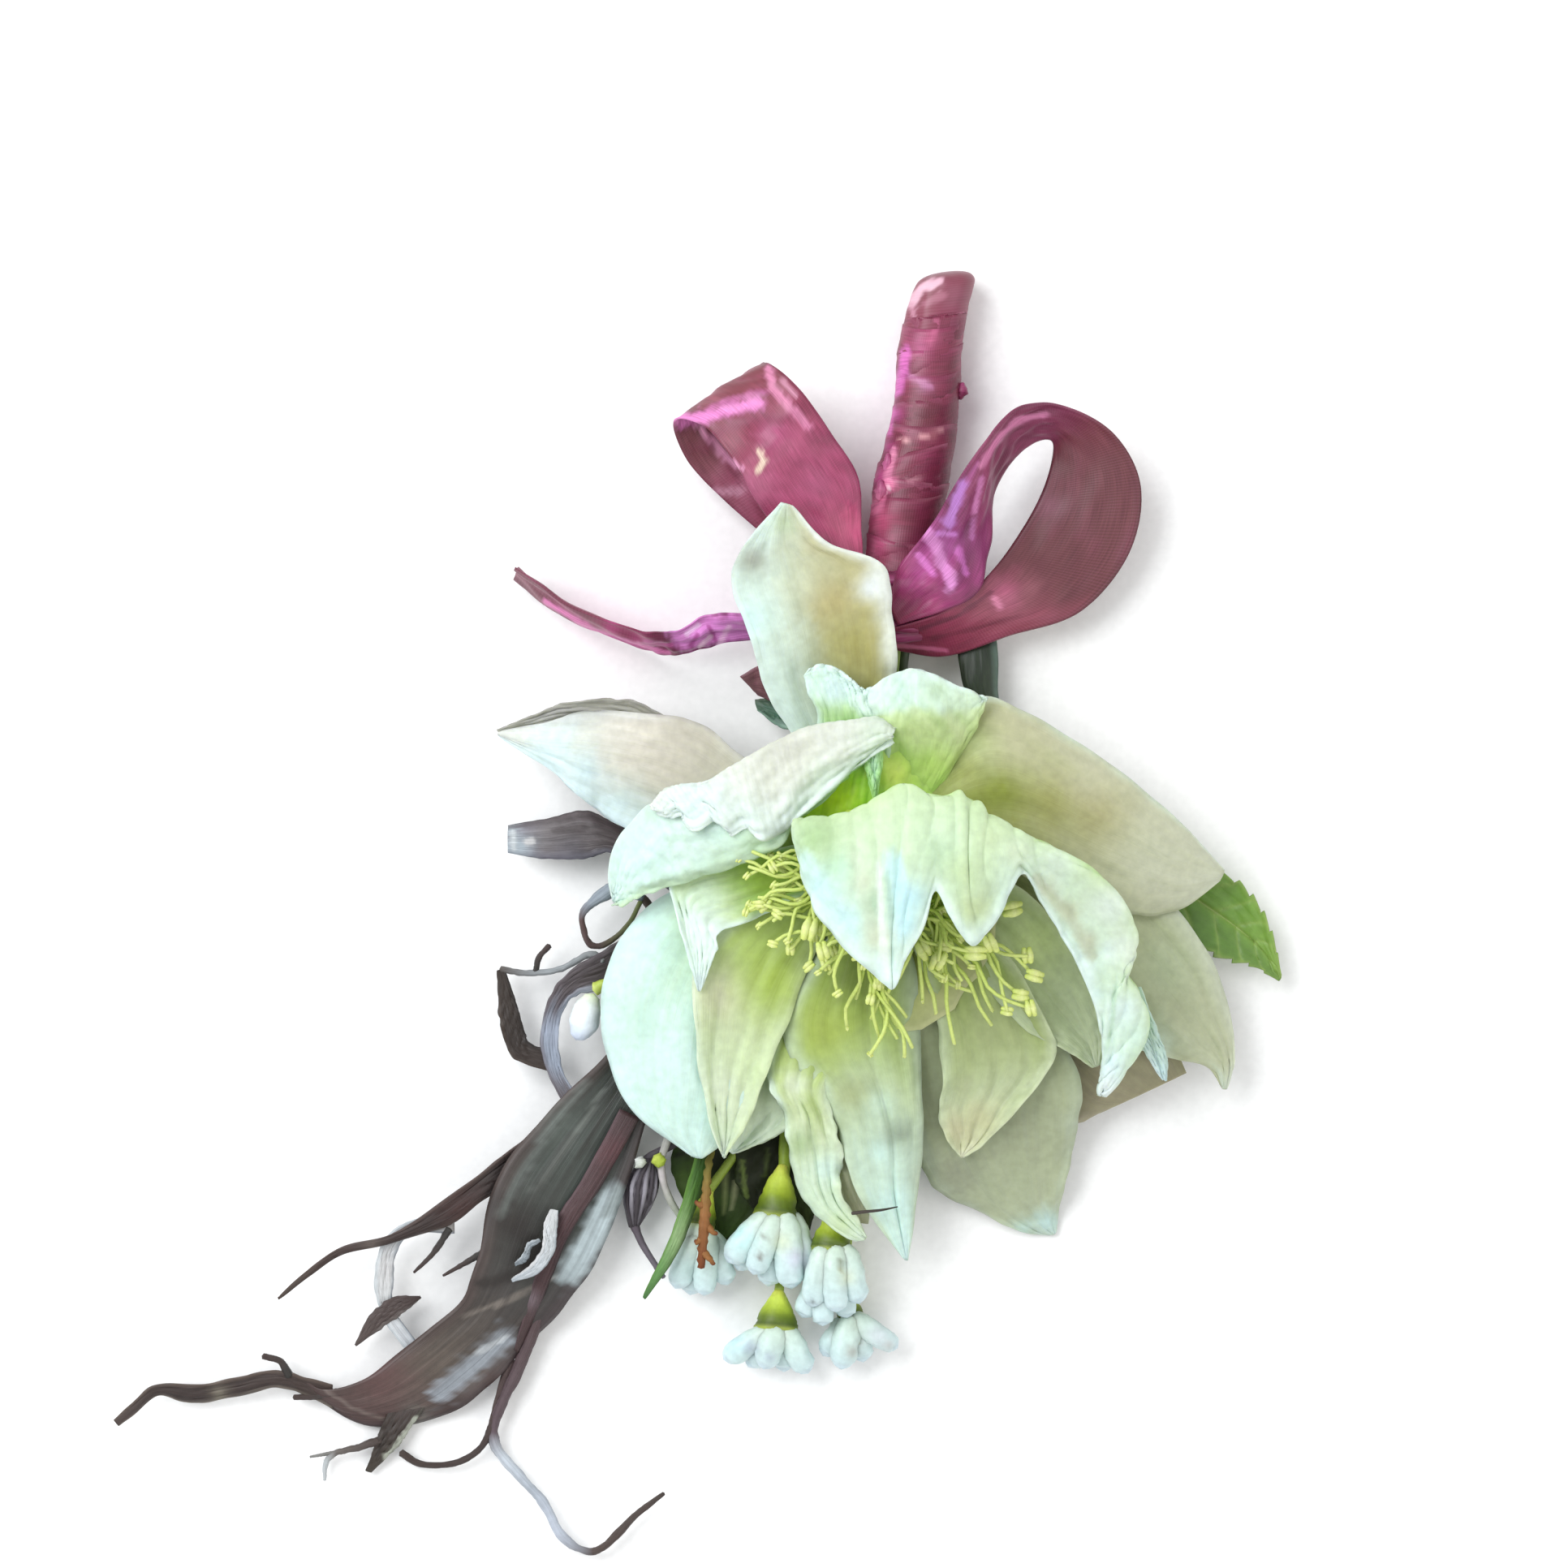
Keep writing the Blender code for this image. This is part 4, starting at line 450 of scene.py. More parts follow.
# The bow: the knot's ring round the stems, two loops and two tails of one tied ribbon
LEFT_LOOP = """-6.3 3.5 8.2, -6.8 10 9.5, -7.2 17 11, -10.5 22.5 12.5, -14 27.5 13, -17.2 30.6 11.8,
    -18.9 31.2 8.6, -16.5 29 4.6, -11.5 22 3.4, -8 14 3, -6.4 4 3.2; -7 -0.5 8.6, -12.4 5.2 10.8,
    -17 10.4 12.4, -20.2 14.8 13.2, -22.2 18.6 13.6, -26 23.3 12.2, -30 24.2 8.4, -28.4 19.4 4.4,
    -24 14.6 3.2, -16.5 8 2.8, -7.2 -0.5 3.2"""
RIGHT_LOOP = """-3.6 1.6 10.9, -2.2 6.2 11.2, 0.4 9.6 12.6, 4 14.8 15.8, 8 21.2 17.2, 12.2 25.7 15.4,
    18 26 11, 24.4 22.4 8.4, 27.6 15.8 6.8, 26 7.6 5.6, 20 0.6 4.8, 11 -2.4 4.6, 3.6 -4.8 4.8, -2.8 -4 5.6;
    -2.4 -1 10.8, 3.4 0.8 10.2, 7.4 3 8.4, 9 8.8 6.6, 9.6 15.4 5.6, 12.6 20.4 5.4, 16.4 21.8 5.4,
    16.6 19 5.2, 15 14.4 5, 11.8 9 5.2, 9 5.4 6.6, 6 2.6 8.6, 2 0.2 10.2, -3 -1.4 10.9"""
LEFT_TAIL = """-6.9 0.2 6.2, -14 0.8 9.4, -22 0.5 8.4, -26 0 7.8, -29 -1.6 8, -31.5 -1.9 9.4, -35 -1.5 10.2,
    -43 1.1 9.6, -49.6 6 8.6; -6.9 -1.6 3.4, -14 -2.4 2, -21.6 -3 4.4, -26 -4 4.6, -29 -4.6 4,
    -31.5 -4.6 2.2, -35 -3.8 0.6, -43 0 0.4, -49.2 4.9 0.4"""
SECOND_TAIL = """-6.9 -0.9 5.6, -10.5 -3.6 7.2, -15 -5.2 8, -19.2 -6 8.2, -21.8 -7.4 8; -6.6 -2.6 4.2,
    -9.8 -7.4 5, -14 -10 5.4, -17.2 -10.6 5.6, -19.6 -9.6 6"""

# The bloom: each petal as its two edges from base to tip, or as lines all across it, with its cup and wave
PETALS = {
    "upper": dict(lines="""-8 -27 12, -14.5 -16 15, -18.8 -9 16.6, -20.6 -2.4 17.4, -22.9 4.6 17.8,
        -20.4 10 17.8, -16.8 14.1 17.6; -3 -26 12, -4.6 -13 15, -2.6 -6.6 16.4, -3 0.4 17, -4.4 6.5 17.4,
        -11 9.2 17.6, -15.3 13.7 17.6""", cup=-1.6, wave=0.4),
    "left": dict(lines="""-8 -25 12, -20.5 -17.8 11, -26.5 -13.6 10.8, -33 -12 10.4, -41 -11.7 9.6,
        -46 -13.1 8.4, -51.6 -14.2 6.8; -9.5 -29 12, -25 -29 9.4, -34 -26.4 8.4, -38.6 -24.4 8,
        -41.6 -22 7.8, -45 -19 7.4, -51.6 -14.6 6.6""", cup=1.4, wave=0.6),
    "right_big": dict(lines="""-2.5 -25 12, 3.5 -14.5 15, 9 -10 17, 22 -17 15.4, 32 -25 12, 37.9 -31.2 8.6;
        0 -28 12, 8 -30 12.6, 16 -33 12, 25 -36.4 10.6, 31.6 -36.4 9.2, 37.2 -32.6 8.4""", cup=1.6, wave=0.4),
    "top_left": dict(lines="""-8.6 -26 12, -12.2 -17 15.6, -12.4 -11.9 17.6, -13.5 -9.3 18.3,
        -13.9 -7.4 18.5, -13.3 -6.4 18.6; -7.6 -26 12, -10.6 -17 16.4, -10.5 -12.1 18, -11.2 -9.3 18.9,
        -11.5 -7.2 19, -11.3 -5.8 18.8; -6 -26 12, -8 -17 16.6, -8.2 -12.4 18, -8.7 -10.2 18.5,
        -8.9 -8.2 18.8, -8.7 -7.2 18.8; -5 -25.6 12, -5.4 -17 16.8, -6.3 -13 18.4, -7 -11.2 19.2,
        -7.1 -9.6 19.2, -6.9 -8.7 19; -4 -25 12, -3.4 -17.6 16.8, -3.6 -15 18.2, -5 -12.1 19,
        -5.5 -10 19.2, -5.3 -8.6 19"""),
    "top_right": dict(lines="""-5 -25 12, -4.8 -17 16.6, -6 -11.9 19.5, -6.1 -9.1 19.3; -3.6 -25 12,
        -2.6 -16.6 16.6, -3.2 -11.7 20.4, -3.3 -7.2 19.8; -2.2 -25 12, -0.4 -16.6 16.6, -0.9 -11.3 20.9,
        -0.9 -6.4 20.2; -1.2 -25 12, 2.2 -17 16.6, 2.2 -11.7 20.7, 1.7 -6.9 20; 0 -25 12, 4.2 -16.8 16.6,
        4.8 -11.7 19.9, 4.8 -8.4 19.5; 0.9 -25 12, 5.8 -15.6 16.6, 7.3 -11.4 19.2, 7.2 -9.4 19; 1.4 -25 12,
        6.8 -14.2 16.6, 8.4 -10.5 18.7, 8.7 -10 18.6"""),
    "left_front": dict(lines="""-3.7 -15.4 17.2, -4.1 -15.9 17.5, -4.4 -16.3 17.2; -7.5 -15.5 18,
        -7.6 -17.4 18.5, -7.7 -19.4 17.9; -12.4 -18.4 18.8, -11.8 -20.4 19.5, -11.2 -22.4 18.4;
        -16.2 -20.7 19, -15.4 -22.9 19.9, -14.7 -25.1 18.7; -20 -22.2 19, -18.4 -25.1 19.9, -16.9 -28 18.5;
        -23.9 -22.7 18.7, -21.9 -26.2 19.6, -19.9 -29.8 18.1; -27.7 -22.7 18.3, -25.3 -26.8 19.3,
        -22.9 -30.9 17.6; -30.8 -22.9 17.8, -28.6 -27.4 18.7, -26.3 -32 17; -33.2 -23.2 17.1,
        -31.2 -28 17.9, -29.1 -32.9 16.3; -35.2 -25.3 16.3, -33.5 -29.5 17, -31.7 -33.6 15.6;
        -36.7 -27.1 15.3, -35.2 -30.7 16, -33.8 -34.3 14.8; -37.7 -29.5 14.3, -36.4 -32.2 14.8,
        -35.1 -34.9 14; -38 -32.3 13.3, -37.1 -33.8 13.5, -36.3 -35.4 13.1; -37.6 -34.7 12.7,
        -37.5 -35 12.6, -37.3 -35.3 12.5"""),
    "small_point": dict(lines="""-9 -27.5 13, -17 -28.4 13.8, -24 -29.8 14.6, -30.2 -31.8 15,
        -29.4 -37.6 15.6, -28.1 -42.4 15.9, -27 -46.1 15.8; -8.4 -32 13.2, -14 -34.4 14.2, -19 -36.8 15,
        -24.2 -38.8 16, -24.7 -41 16.2, -25.7 -43.6 16.2, -26.7 -46.2 15.8""", cup=-0.6),
    "hood": dict(lines="""-9.6 -27.2 12.5, -14.2 -25.3 19.8, -15.2 -25.1 23.2, -15.3 -25.7 23.1,
        -15.4 -26.3 22.6; -8.9 -27.1 12.5, -13.3 -25.1 21, -14.3 -24.9 24.4, -14.7 -27.4 25.1,
        -15 -29.8 23.8; -8.2 -27.1 12.5, -11.6 -25.1 22.2, -12.4 -24.9 25.6, -13.2 -29.3 27.1,
        -14 -33.7 25; -7.5 -27 12.5, -9.5 -24.9 23.2, -10 -24.7 26.6, -11.1 -30.9 28.5, -12.1 -37 26;
        -6.8 -27 12.5, -7.5 -24.5 24, -7.6 -24.3 27.4, -8.5 -32.5 29.5, -9.4 -40.6 26.8; -6.1 -26.9 12.5,
        -5.5 -23.8 24.6, -5.4 -23.6 28, -5.8 -33.6 30, -6.3 -43.6 27.4; -5.4 -26.8 12.5, -4 -22.8 25,
        -3.7 -22.6 28.4, -3.8 -34 30, -3.9 -45.5 27.6; -4.7 -26.8 12.5, -2.6 -21.7 25.3, -2.2 -21.5 28.7,
        -2.5 -33.6 30, -2.8 -45.8 27.6; -4 -26.7 12.5, -1.5 -21.6 25.5, -0.9 -21.4 28.9, -1.2 -32 30.3,
        -1.5 -42.6 28.3; -3.2 -26.7 12.5, 0.1 -22.2 25.5, 0.8 -22 28.9, 0.6 -30.4 30.3, 0.4 -38.9 28.7;
        -2.5 -26.6 12.5, 1.6 -22.6 25.4, 2.5 -22.4 28.8, 2.4 -28.1 29.8, 2.2 -33.8 29.1; -1.8 -26.6 12.5,
        3 -22.5 25.3, 4.1 -22.3 28.7, 4 -29.5 30, 4 -36.8 28.9; -1.1 -26.5 12.5, 4.3 -22.2 25.1,
        5.5 -22 28.5, 5.7 -30.9 30.3, 5.8 -39.7 28.6; -0.4 -26.4 12.5, 5.3 -23.1 24.9, 6.5 -22.9 28.3,
        6.8 -31.7 30.2, 7.1 -40.5 28.4; 0.3 -26.4 12.5, 6.5 -23.5 24.6, 7.9 -23.3 28, 8.4 -31 29.8,
        8.8 -38.7 28.4; 1 -26.3 12.5, 7.3 -24.7 24.3, 8.7 -24.5 27.7, 9.8 -30 29.1, 10.9 -35.5 28.2;
        1.7 -26.3 12.5, 8.8 -25.5 24, 10.3 -25.3 27.4, 11.2 -29.1 28.5, 12 -32.9 27.8; 2.4 -26.2 12.5,
        10.7 -26.7 23.6, 12.5 -26.5 27, 12.8 -29.1 27.6, 13.1 -31.7 27; 14 -30.6 22.2, 15.2 -28 25,
        15.1 -28.1 26.6, 14.6 -30.6 26.1, 14.2 -33 25.6; 16.7 -33 20.8, 18.8 -30 24.4, 18.7 -30.1 26,
        17.3 -33 24.2, 15.9 -36 24.2; 19.4 -36 19.4, 22.2 -32.4 23.6, 22.1 -32.5 25.2, 20.1 -36 22.7,
        18 -39.4 22.8; 21.7 -39 17.8, 25 -35.5 22.6, 24.9 -35.6 24.2, 22.3 -39 21.4, 19.7 -42.5 21.2;
        23.2 -42.2 16.2, 26.8 -38.8 21.2, 26.7 -38.9 22.8, 23.9 -42.2 20.2, 21 -45.6 19.6; 23.8 -45.2 14.6,
        26.9 -41.8 19.8, 26.8 -41.9 21.4, 24.4 -45.2 19.1, 22 -48.5 18; 23.6 -47.8 13.2, 26 -44.4 18.6,
        25.9 -44.5 20.2, 24.2 -47.8 18.2, 22.6 -51.1 16.6; 24.4 -50.2 12, 27.3 -46.6 17.2, 27.2 -46.7 18.8,
        25 -50.2 17.4, 22.8 -53.8 15.4; 24.8 -52.8 11, 28.2 -49.6 15.8, 28.1 -49.7 17.4, 25.4 -52.8 16.5,
        22.6 -55.9 14.4; 24.3 -55.3 10.2, 27.6 -52.9 14.4, 27.5 -53 16, 24.9 -55.3 15.4, 22.3 -57.6 13.6;
        23.1 -57.6 9.4, 25.4 -56.4 12.6, 25.3 -56.5 14.2, 23.8 -57.6 13.8, 22.2 -58.7 12.8; 22.2 -59 9,
        23.1 -58.9 11, 23 -59 12.6, 22.9 -59 12.5, 22.7 -59.1 12.4"""),
    "right_shade": dict(lines="""0 -29 12.2, 12 -33 12.4, 20.4 -42 12, 23.2 -50 11.2, 22.6 -55.2 10.6;
        -1 -31 12.2, 6 -42 12, 12.4 -50 11.6, 18.4 -53.4 11, 21.6 -55.6 10.6""", cup=-0.8),
    "right_sliver": dict(lines="""24.6 -46 15.4, 26 -50 14, 28.4 -54.2 12.6, 30.2 -57 11.6; 27.6 -45.6 16,
        29.4 -50.4 14.6, 30.7 -54.2 12.8, 30.8 -57.2 11.6"""),
    "right_back": dict(lines="""-0.5 -27 12, 14 -28 9.6, 28 -32.6 8.6, 35.2 -40.4 7.8, 38.6 -49 6.6,
        39.1 -54.5 5.8, 38.2 -58.2 5.2; 0 -31 12, 9 -38 9.2, 18 -46 8.2, 26 -52.4 7.2, 31.4 -54.4 6.4,
        35.8 -55.4 5.8, 37.6 -58.1 5.2""", cup=1.2, wave=0.4),
    "brown_back": dict(lines="""0.5 -31 11.6, 12 -40 7.4, 24 -47 5.2, 30.6 -51 4.2, 33.2 -56.2 3.4;
        -0.5 -34 11.6, 5 -46 7.4, 13 -56 5.2, 18 -62 4.2, 22.2 -61.2 3.4""", cup=0.8),
    "lower_right": dict(lines="""-5.5 -33 11.8, -3.6 -46 10.4, -2.2 -58 8.6, 0.6 -67.8 5.6, 3.8 -71.5 3.6,
        8.6 -73.9 1.8, 13.4 -75.8 0.5, 16.4 -76.2 0.25; -1 -32 11.8, 13 -45 10.2, 19.7 -56 8.4,
        20 -61.4 6.6, 19.2 -66.2 4.6, 17.8 -71 2.4, 17.4 -74.4 0.8, 17.1 -75.9 0.25""", cup=1, wave=0.5),
    "inner_right": dict(lines="""-4 -33.4 13, 0.2 -42 12.8, 2.4 -50 12.2, 3.2 -57 11, 2.8 -61.5 10,
        4 -64.6 9, 5.3 -66.6 8.4; -0.8 -31.6 13, 10.6 -41 12.8, 16.4 -50.5 12, 17 -54.6 11.4,
        12.6 -60.4 10.4, 8.6 -64.8 9.2, 5.8 -66.6 8.4""", cup=-1.2, wave=0.5),
    "lower_narrow": dict(lines="""-7.4 -33.4 12.6, -13.6 -43.6 12.6, -16.4 -50 12.4, -15.4 -54.8 12.2,
        -12 -58 12, -9.9 -62.4 11.6, -8.6 -67.6 10.9, -7 -71.6 10.2, -4.4 -75.6 9.4, -1.6 -79.2 8.6;
        -4.4 -34 12.6, -0.4 -42 12.4, 0.2 -48 12.2, 0.5 -53 12, 0.7 -58 11.8, 0.8 -62 11.5, 0.7 -66.4 10.9,
        0.2 -70.6 10.3, -0.4 -75 9.4, -1.1 -79.3 8.6""", cup=0.9, wave=0.4, waves=2),
    "lower_ruffled": dict(lines="""-8.6 -33 12.4, -16.6 -46 12, -18.7 -54 12.2, -18.2 -57.4 12,
        -16.6 -60.6 11.6, -16.4 -64.4 11, -15 -70 10.2, -12.4 -73.8 9.7, -8.6 -76.4 9.2, -6.6 -76.9 9.2;
        -6 -34 12.4, -7.4 -46 11, -9 -54 11.4, -11.2 -58.6 12.2, -10.2 -62.4 11.9, -9.2 -65.6 11.2,
        -9.4 -68.8 10.4, -9 -71.8 9.8, -7.2 -74.6 9.4, -6.2 -76.4 9.2""", cup=0.8, wave=0.9, waves=4),
    "lower_left_back": dict(lines="""-9.4 -32 12, -20 -46 10.6, -24 -54 10.2, -25 -60 9.9, -25.2 -63 9.6,
        -24.2 -65 9.3, -22.9 -66.1 9.2; -7.6 -33.6 12, -10 -46 10.8, -11 -54 10.4, -12.3 -59.7 10,
        -14.3 -61.9 9.7, -18.1 -64.4 9.4, -22.4 -66.1 9.2""", cup=-0.8, wave=0.4),
    "left_round": dict(lines="""-9.6 -28.6 12, -24 -31.2 12, -34 -36.4 11.8, -38.3 -44 11.4, -38.5 -53 10.8,
        -35.2 -60.8 10, -27.8 -66.5 9.2; -8.6 -31.6 12, -14 -39 12, -18 -47 12.2, -19.6 -54 12,
        -20.6 -60 11.2, -23.4 -64.4 10, -26.4 -66.7 9.2""", cup=1.5, wave=0.4),
    "left_inner": dict(lines="""-9.8 -30.4 13.2, -21 -35.6 14.2, -26.8 -40.6 14.8, -27.6 -48 14.8,
        -27 -55 14.2, -25.8 -61 13, -24.4 -65.4 11.8, -23.9 -66.6 11.4; -8 -33 13.4, -12.5 -41.5 13.6,
        -15.6 -49 13.8, -17.8 -54.6 13.6, -19.6 -59.6 13, -21.6 -63.4 12.2, -23.3 -66 11.6,
        -23.7 -66.7 11.4""", cup=-1, wave=0.5),
}

# The dried sprig: straps as two edges, tendrils as lines with a radius
STRAPS = {
    "broad": dict(lines="""-32 -46 4.2, -38.4 -54 5, -46 -61.5 5.6, -52 -69.6 5.6, -54.4 -78.6 5,
        -57 -84.8 4.2, -63 -90 3.4, -68 -93.4 2.8, -72.8 -95 2.4, -75.6 -94 2.4; -29 -52 4.2,
        -33.4 -62 4.6, -36.4 -71.6 4.4, -39.4 -79 3.4, -43.6 -84.6 2.4, -48.4 -89.6 1.4, -53 -94.4 0.8,
        -58.4 -98.2 0.4, -67 -99.6 0.25, -74.4 -96 1.4""", cup=1.2, wave=0.5),
    "upper": dict(lines="""-39.6 -56.6 3, -47.6 -63.6 3.6, -52.6 -67.4 5, -58.6 -72 5.8, -65 -76.1 5.4,
        -71 -77.7 4.8, -75.2 -80.5 4, -78.8 -83.9 3.4; -39 -60 3, -48 -67.8 3.4, -53.4 -72 4.8,
        -58.4 -75.2 5.4, -64.8 -77.1 5, -70.9 -78.5 4.4, -74.8 -81.1 3.7, -78.7 -84.1 3.3""", cup=0.4),
    "ridge": dict(lines="""-36.6 -60.6 6.4, -41 -68.7 6.6, -44.6 -74.6 6.2, -46.9 -80.6 5, -48.3 -85.5 3.6,
        -49.6 -90.3 2.7; -34.2 -61.8 5.8, -38.8 -69.8 6.2, -42.6 -75.6 5.8, -45.2 -81.4 4.6,
        -47.1 -86.1 3.3, -49.2 -90.7 2.6""", cup=0.5),
    "long_tip": dict(lines="""-72 -94.6 2.2, -75.4 -93.6 2.4, -79 -92.8 2.6, -84 -93.6 2.6, -89 -94.5 2.6,
        -94 -94.6 2.8, -97 -97 2.8, -99 -99 2.6; -72 -97.6 1.6, -75.4 -95.8 1.8, -79 -94.9 2, -84 -96 1.6,
        -89.4 -96.8 1.6, -93.4 -95.8 2, -96.2 -98 2.2, -98.4 -99.7 2.2"""),
    "frayed": dict(lines="""-64.4 -96.6 1.6, -66.2 -100.2 1.3, -67 -102.8 0.9, -68 -105.2 0.5; -60.4 -97 1.6,
        -63 -101 1.3, -65 -103.2 0.9, -67.2 -105.4 0.5"""),
    "pale_arc": dict(lines="""-57 -73.8 5.4, -62.6 -74.4 4.6, -66 -77.4 4, -66.8 -82 3.4, -66 -86 3,
        -63 -90.4 2.8; -57 -76 5.2, -62.2 -76 4.2, -64.2 -78.4 3.6, -64.6 -82 3.2, -64.4 -85.4 3,
        -61.6 -89.4 2.8"""),
    "claw": dict(lines="""-61.2 -83.7 3.2, -64.4 -83.8 3.8, -67.4 -86 3.6, -69.3 -89.7 2.9; -61.2 -83.9 3.1,
        -63.4 -85.8 3.2, -66 -87.6 3, -69.1 -89.8 2.8"""),
    "blunt": dict(lines="""-25 -36 2.6, -31 -28.6 3.4, -37 -25.6 3.8, -41 -24 3.8, -45.4 -24.9 3.6,
        -50.4 -25.7 3.4; -23 -39 2.6, -31 -33.4 3.2, -37.4 -29.2 3.6, -41 -29.8 3.6, -46 -29.8 3.4,
        -50.4 -29.1 3.2""", cup=0.7),
    "curved": dict(lines="""-29 -40 3.2, -36 -39.6 4.4, -39 -41.4 5, -43 -43.8 5, -45.6 -47.4 4.8,
        -46.4 -52 4.4, -45.6 -56 4.4, -43.6 -60 5; -29 -44 3.2, -35 -45.4 4, -38.6 -46 4.4,
        -41.8 -46.4 4.4, -43.8 -48.8 4.2, -44.2 -52.6 4, -43.6 -56.2 4.2, -41.8 -59 5"""),
    "hook": dict(lines="""-51.8 -43.6 2.8, -51.6 -47.4 3.2, -51.2 -51 3.4, -49.6 -54.4 3.6, -45.4 -56 4.2;
        -50.8 -43.4 2.8, -49.4 -47.4 3.2, -48.4 -50.8 3.4, -47.6 -52.6 3.6, -44.8 -53.4 4.2"""),
}
TENDRILS = {
    "curl": """-33.8 -34.6 4.6 0.6, -36.6 -33.4 5.2 0.95, -39.2 -34.6 5.6 0.8, -41.2 -36.6 5.5 0.42,
        -41 -38.8 5.3 0.4, -40.2 -40.4 5.2 0.42, -38.4 -40.3 5 0.38, -35.8 -38.2 4.8 0.34,
        -33.8 -34.6 4.6 0.3""",
    "curl_root": "-30 -40 3.2 0.7, -32 -37 3.8 0.6, -33.8 -34.6 4.6 0.5",
    "thread": """-51.3 -43.4 2.8 0.42, -48 -43.9 3.2 0.4, -44 -43.4 3.8 0.4, -40.4 -41.6 4.6 0.45,
        -38.6 -42.4 4.8 0.5""",
    "thread_hook": "-47 -43.8 3.3 0.4, -46.6 -42 3.6 0.38, -45.3 -40.5 3.8 0.36",
    "hooklet_one": "-57.6 -75.4 5.2 0.5, -59.6 -78.4 4.8 0.36, -62 -80.8 4.4 0.18",
    "hooklet_two": "-53.2 -78.2 5 0.5, -55.6 -79.6 5 0.36, -58.4 -81.2 4.8 0.18",
    "tip_hook": "-77.4 -93.6 2.4 0.6, -78.4 -91.8 2.9 0.45, -80.6 -91.1 3.2 0.38",
    "side_fork": "-71.4 -95.6 2.2 0.6, -74 -96 1.8 0.45, -76.8 -96.2 1.8 0.36",
    "fray_branch": """-66 -101.4 1.1 0.6, -69 -102.4 1.2 0.45, -71.5 -103 1.2 0.38, -72.8 -104.2 1.1 0.36,
        -73 -106.4 0.9 0.2""",
    "fray_thread": "-70.6 -102.8 1.2 0.3, -73 -103.2 1.1 0.24, -74.8 -103.5 1 0.16",
    "bridge": """-63.6 -103 1 0.5, -61 -104.4 1 0.42, -57 -104.3 1.2 0.42, -54 -102.6 1.4 0.42,
        -52.5 -100 1.6 0.5, -51.6 -96.6 1.6 0.6, -50 -91.6 1.6 0.7""",
    "tendril": """-46.6 -86 2.6 0.9, -48.6 -91.4 2.4 0.8, -51 -96.6 2 0.72, -52.1 -99.6 1.6 0.62,
        -51.8 -102.4 1.4 0.7, -49 -105.8 1.6 0.62, -46 -109.2 1.8 0.6, -43.8 -113.2 1.8 0.62,
        -40.8 -115.1 1.6 0.46, -38.4 -114.4 1.6 0.5, -34.8 -110.8 1.8 0.46, -31.2 -108 2 0.26""",
}

# The green leaf and its folded base: two edges each
LEAF = """23 -25 3.6, 30 -27.6 4.2, 38.4 -32 4.6, 41.8 -35.2 4.6, 43.8 -39.4 4.2, 44.9 -44.4 3.6; 22 -27 3.6,
    26 -33 4, 33 -39.4 4.2, 37.6 -42 4, 41.4 -43 3.8, 44.6 -44.9 3.6"""
LEAF_BASE = """4.8 -2.4 3.5, 5.2 -6 3.7, 6.2 -9.6 3.7, 9.6 -13.6 3.2; 9.8 -2.6 3.3, 10 -6 3.5, 10 -9.8 3.5,
    11 -13.2 3"""
# Florets: where each bell starts and the middle of its mouth, mm
FLORETS = {
    "floret_far_left": ((-26.8, -74.8, 3.2), (-27.6, -83, 3)),
    "floret_left": ((-17.6, -73.6, 6.4), (-20, -82, 6.2)),
    "floret_right": ((-10.6, -77.6, 6.9), (-11.2, -84.6, 6.6)),
    "floret_low_left": ((-17.5, -87, 3.7), (-18.4, -92, 3.2)),
    "floret_low_right": ((-8, -86.2, 3), (-7.4, -91.4, 2.8)),
}
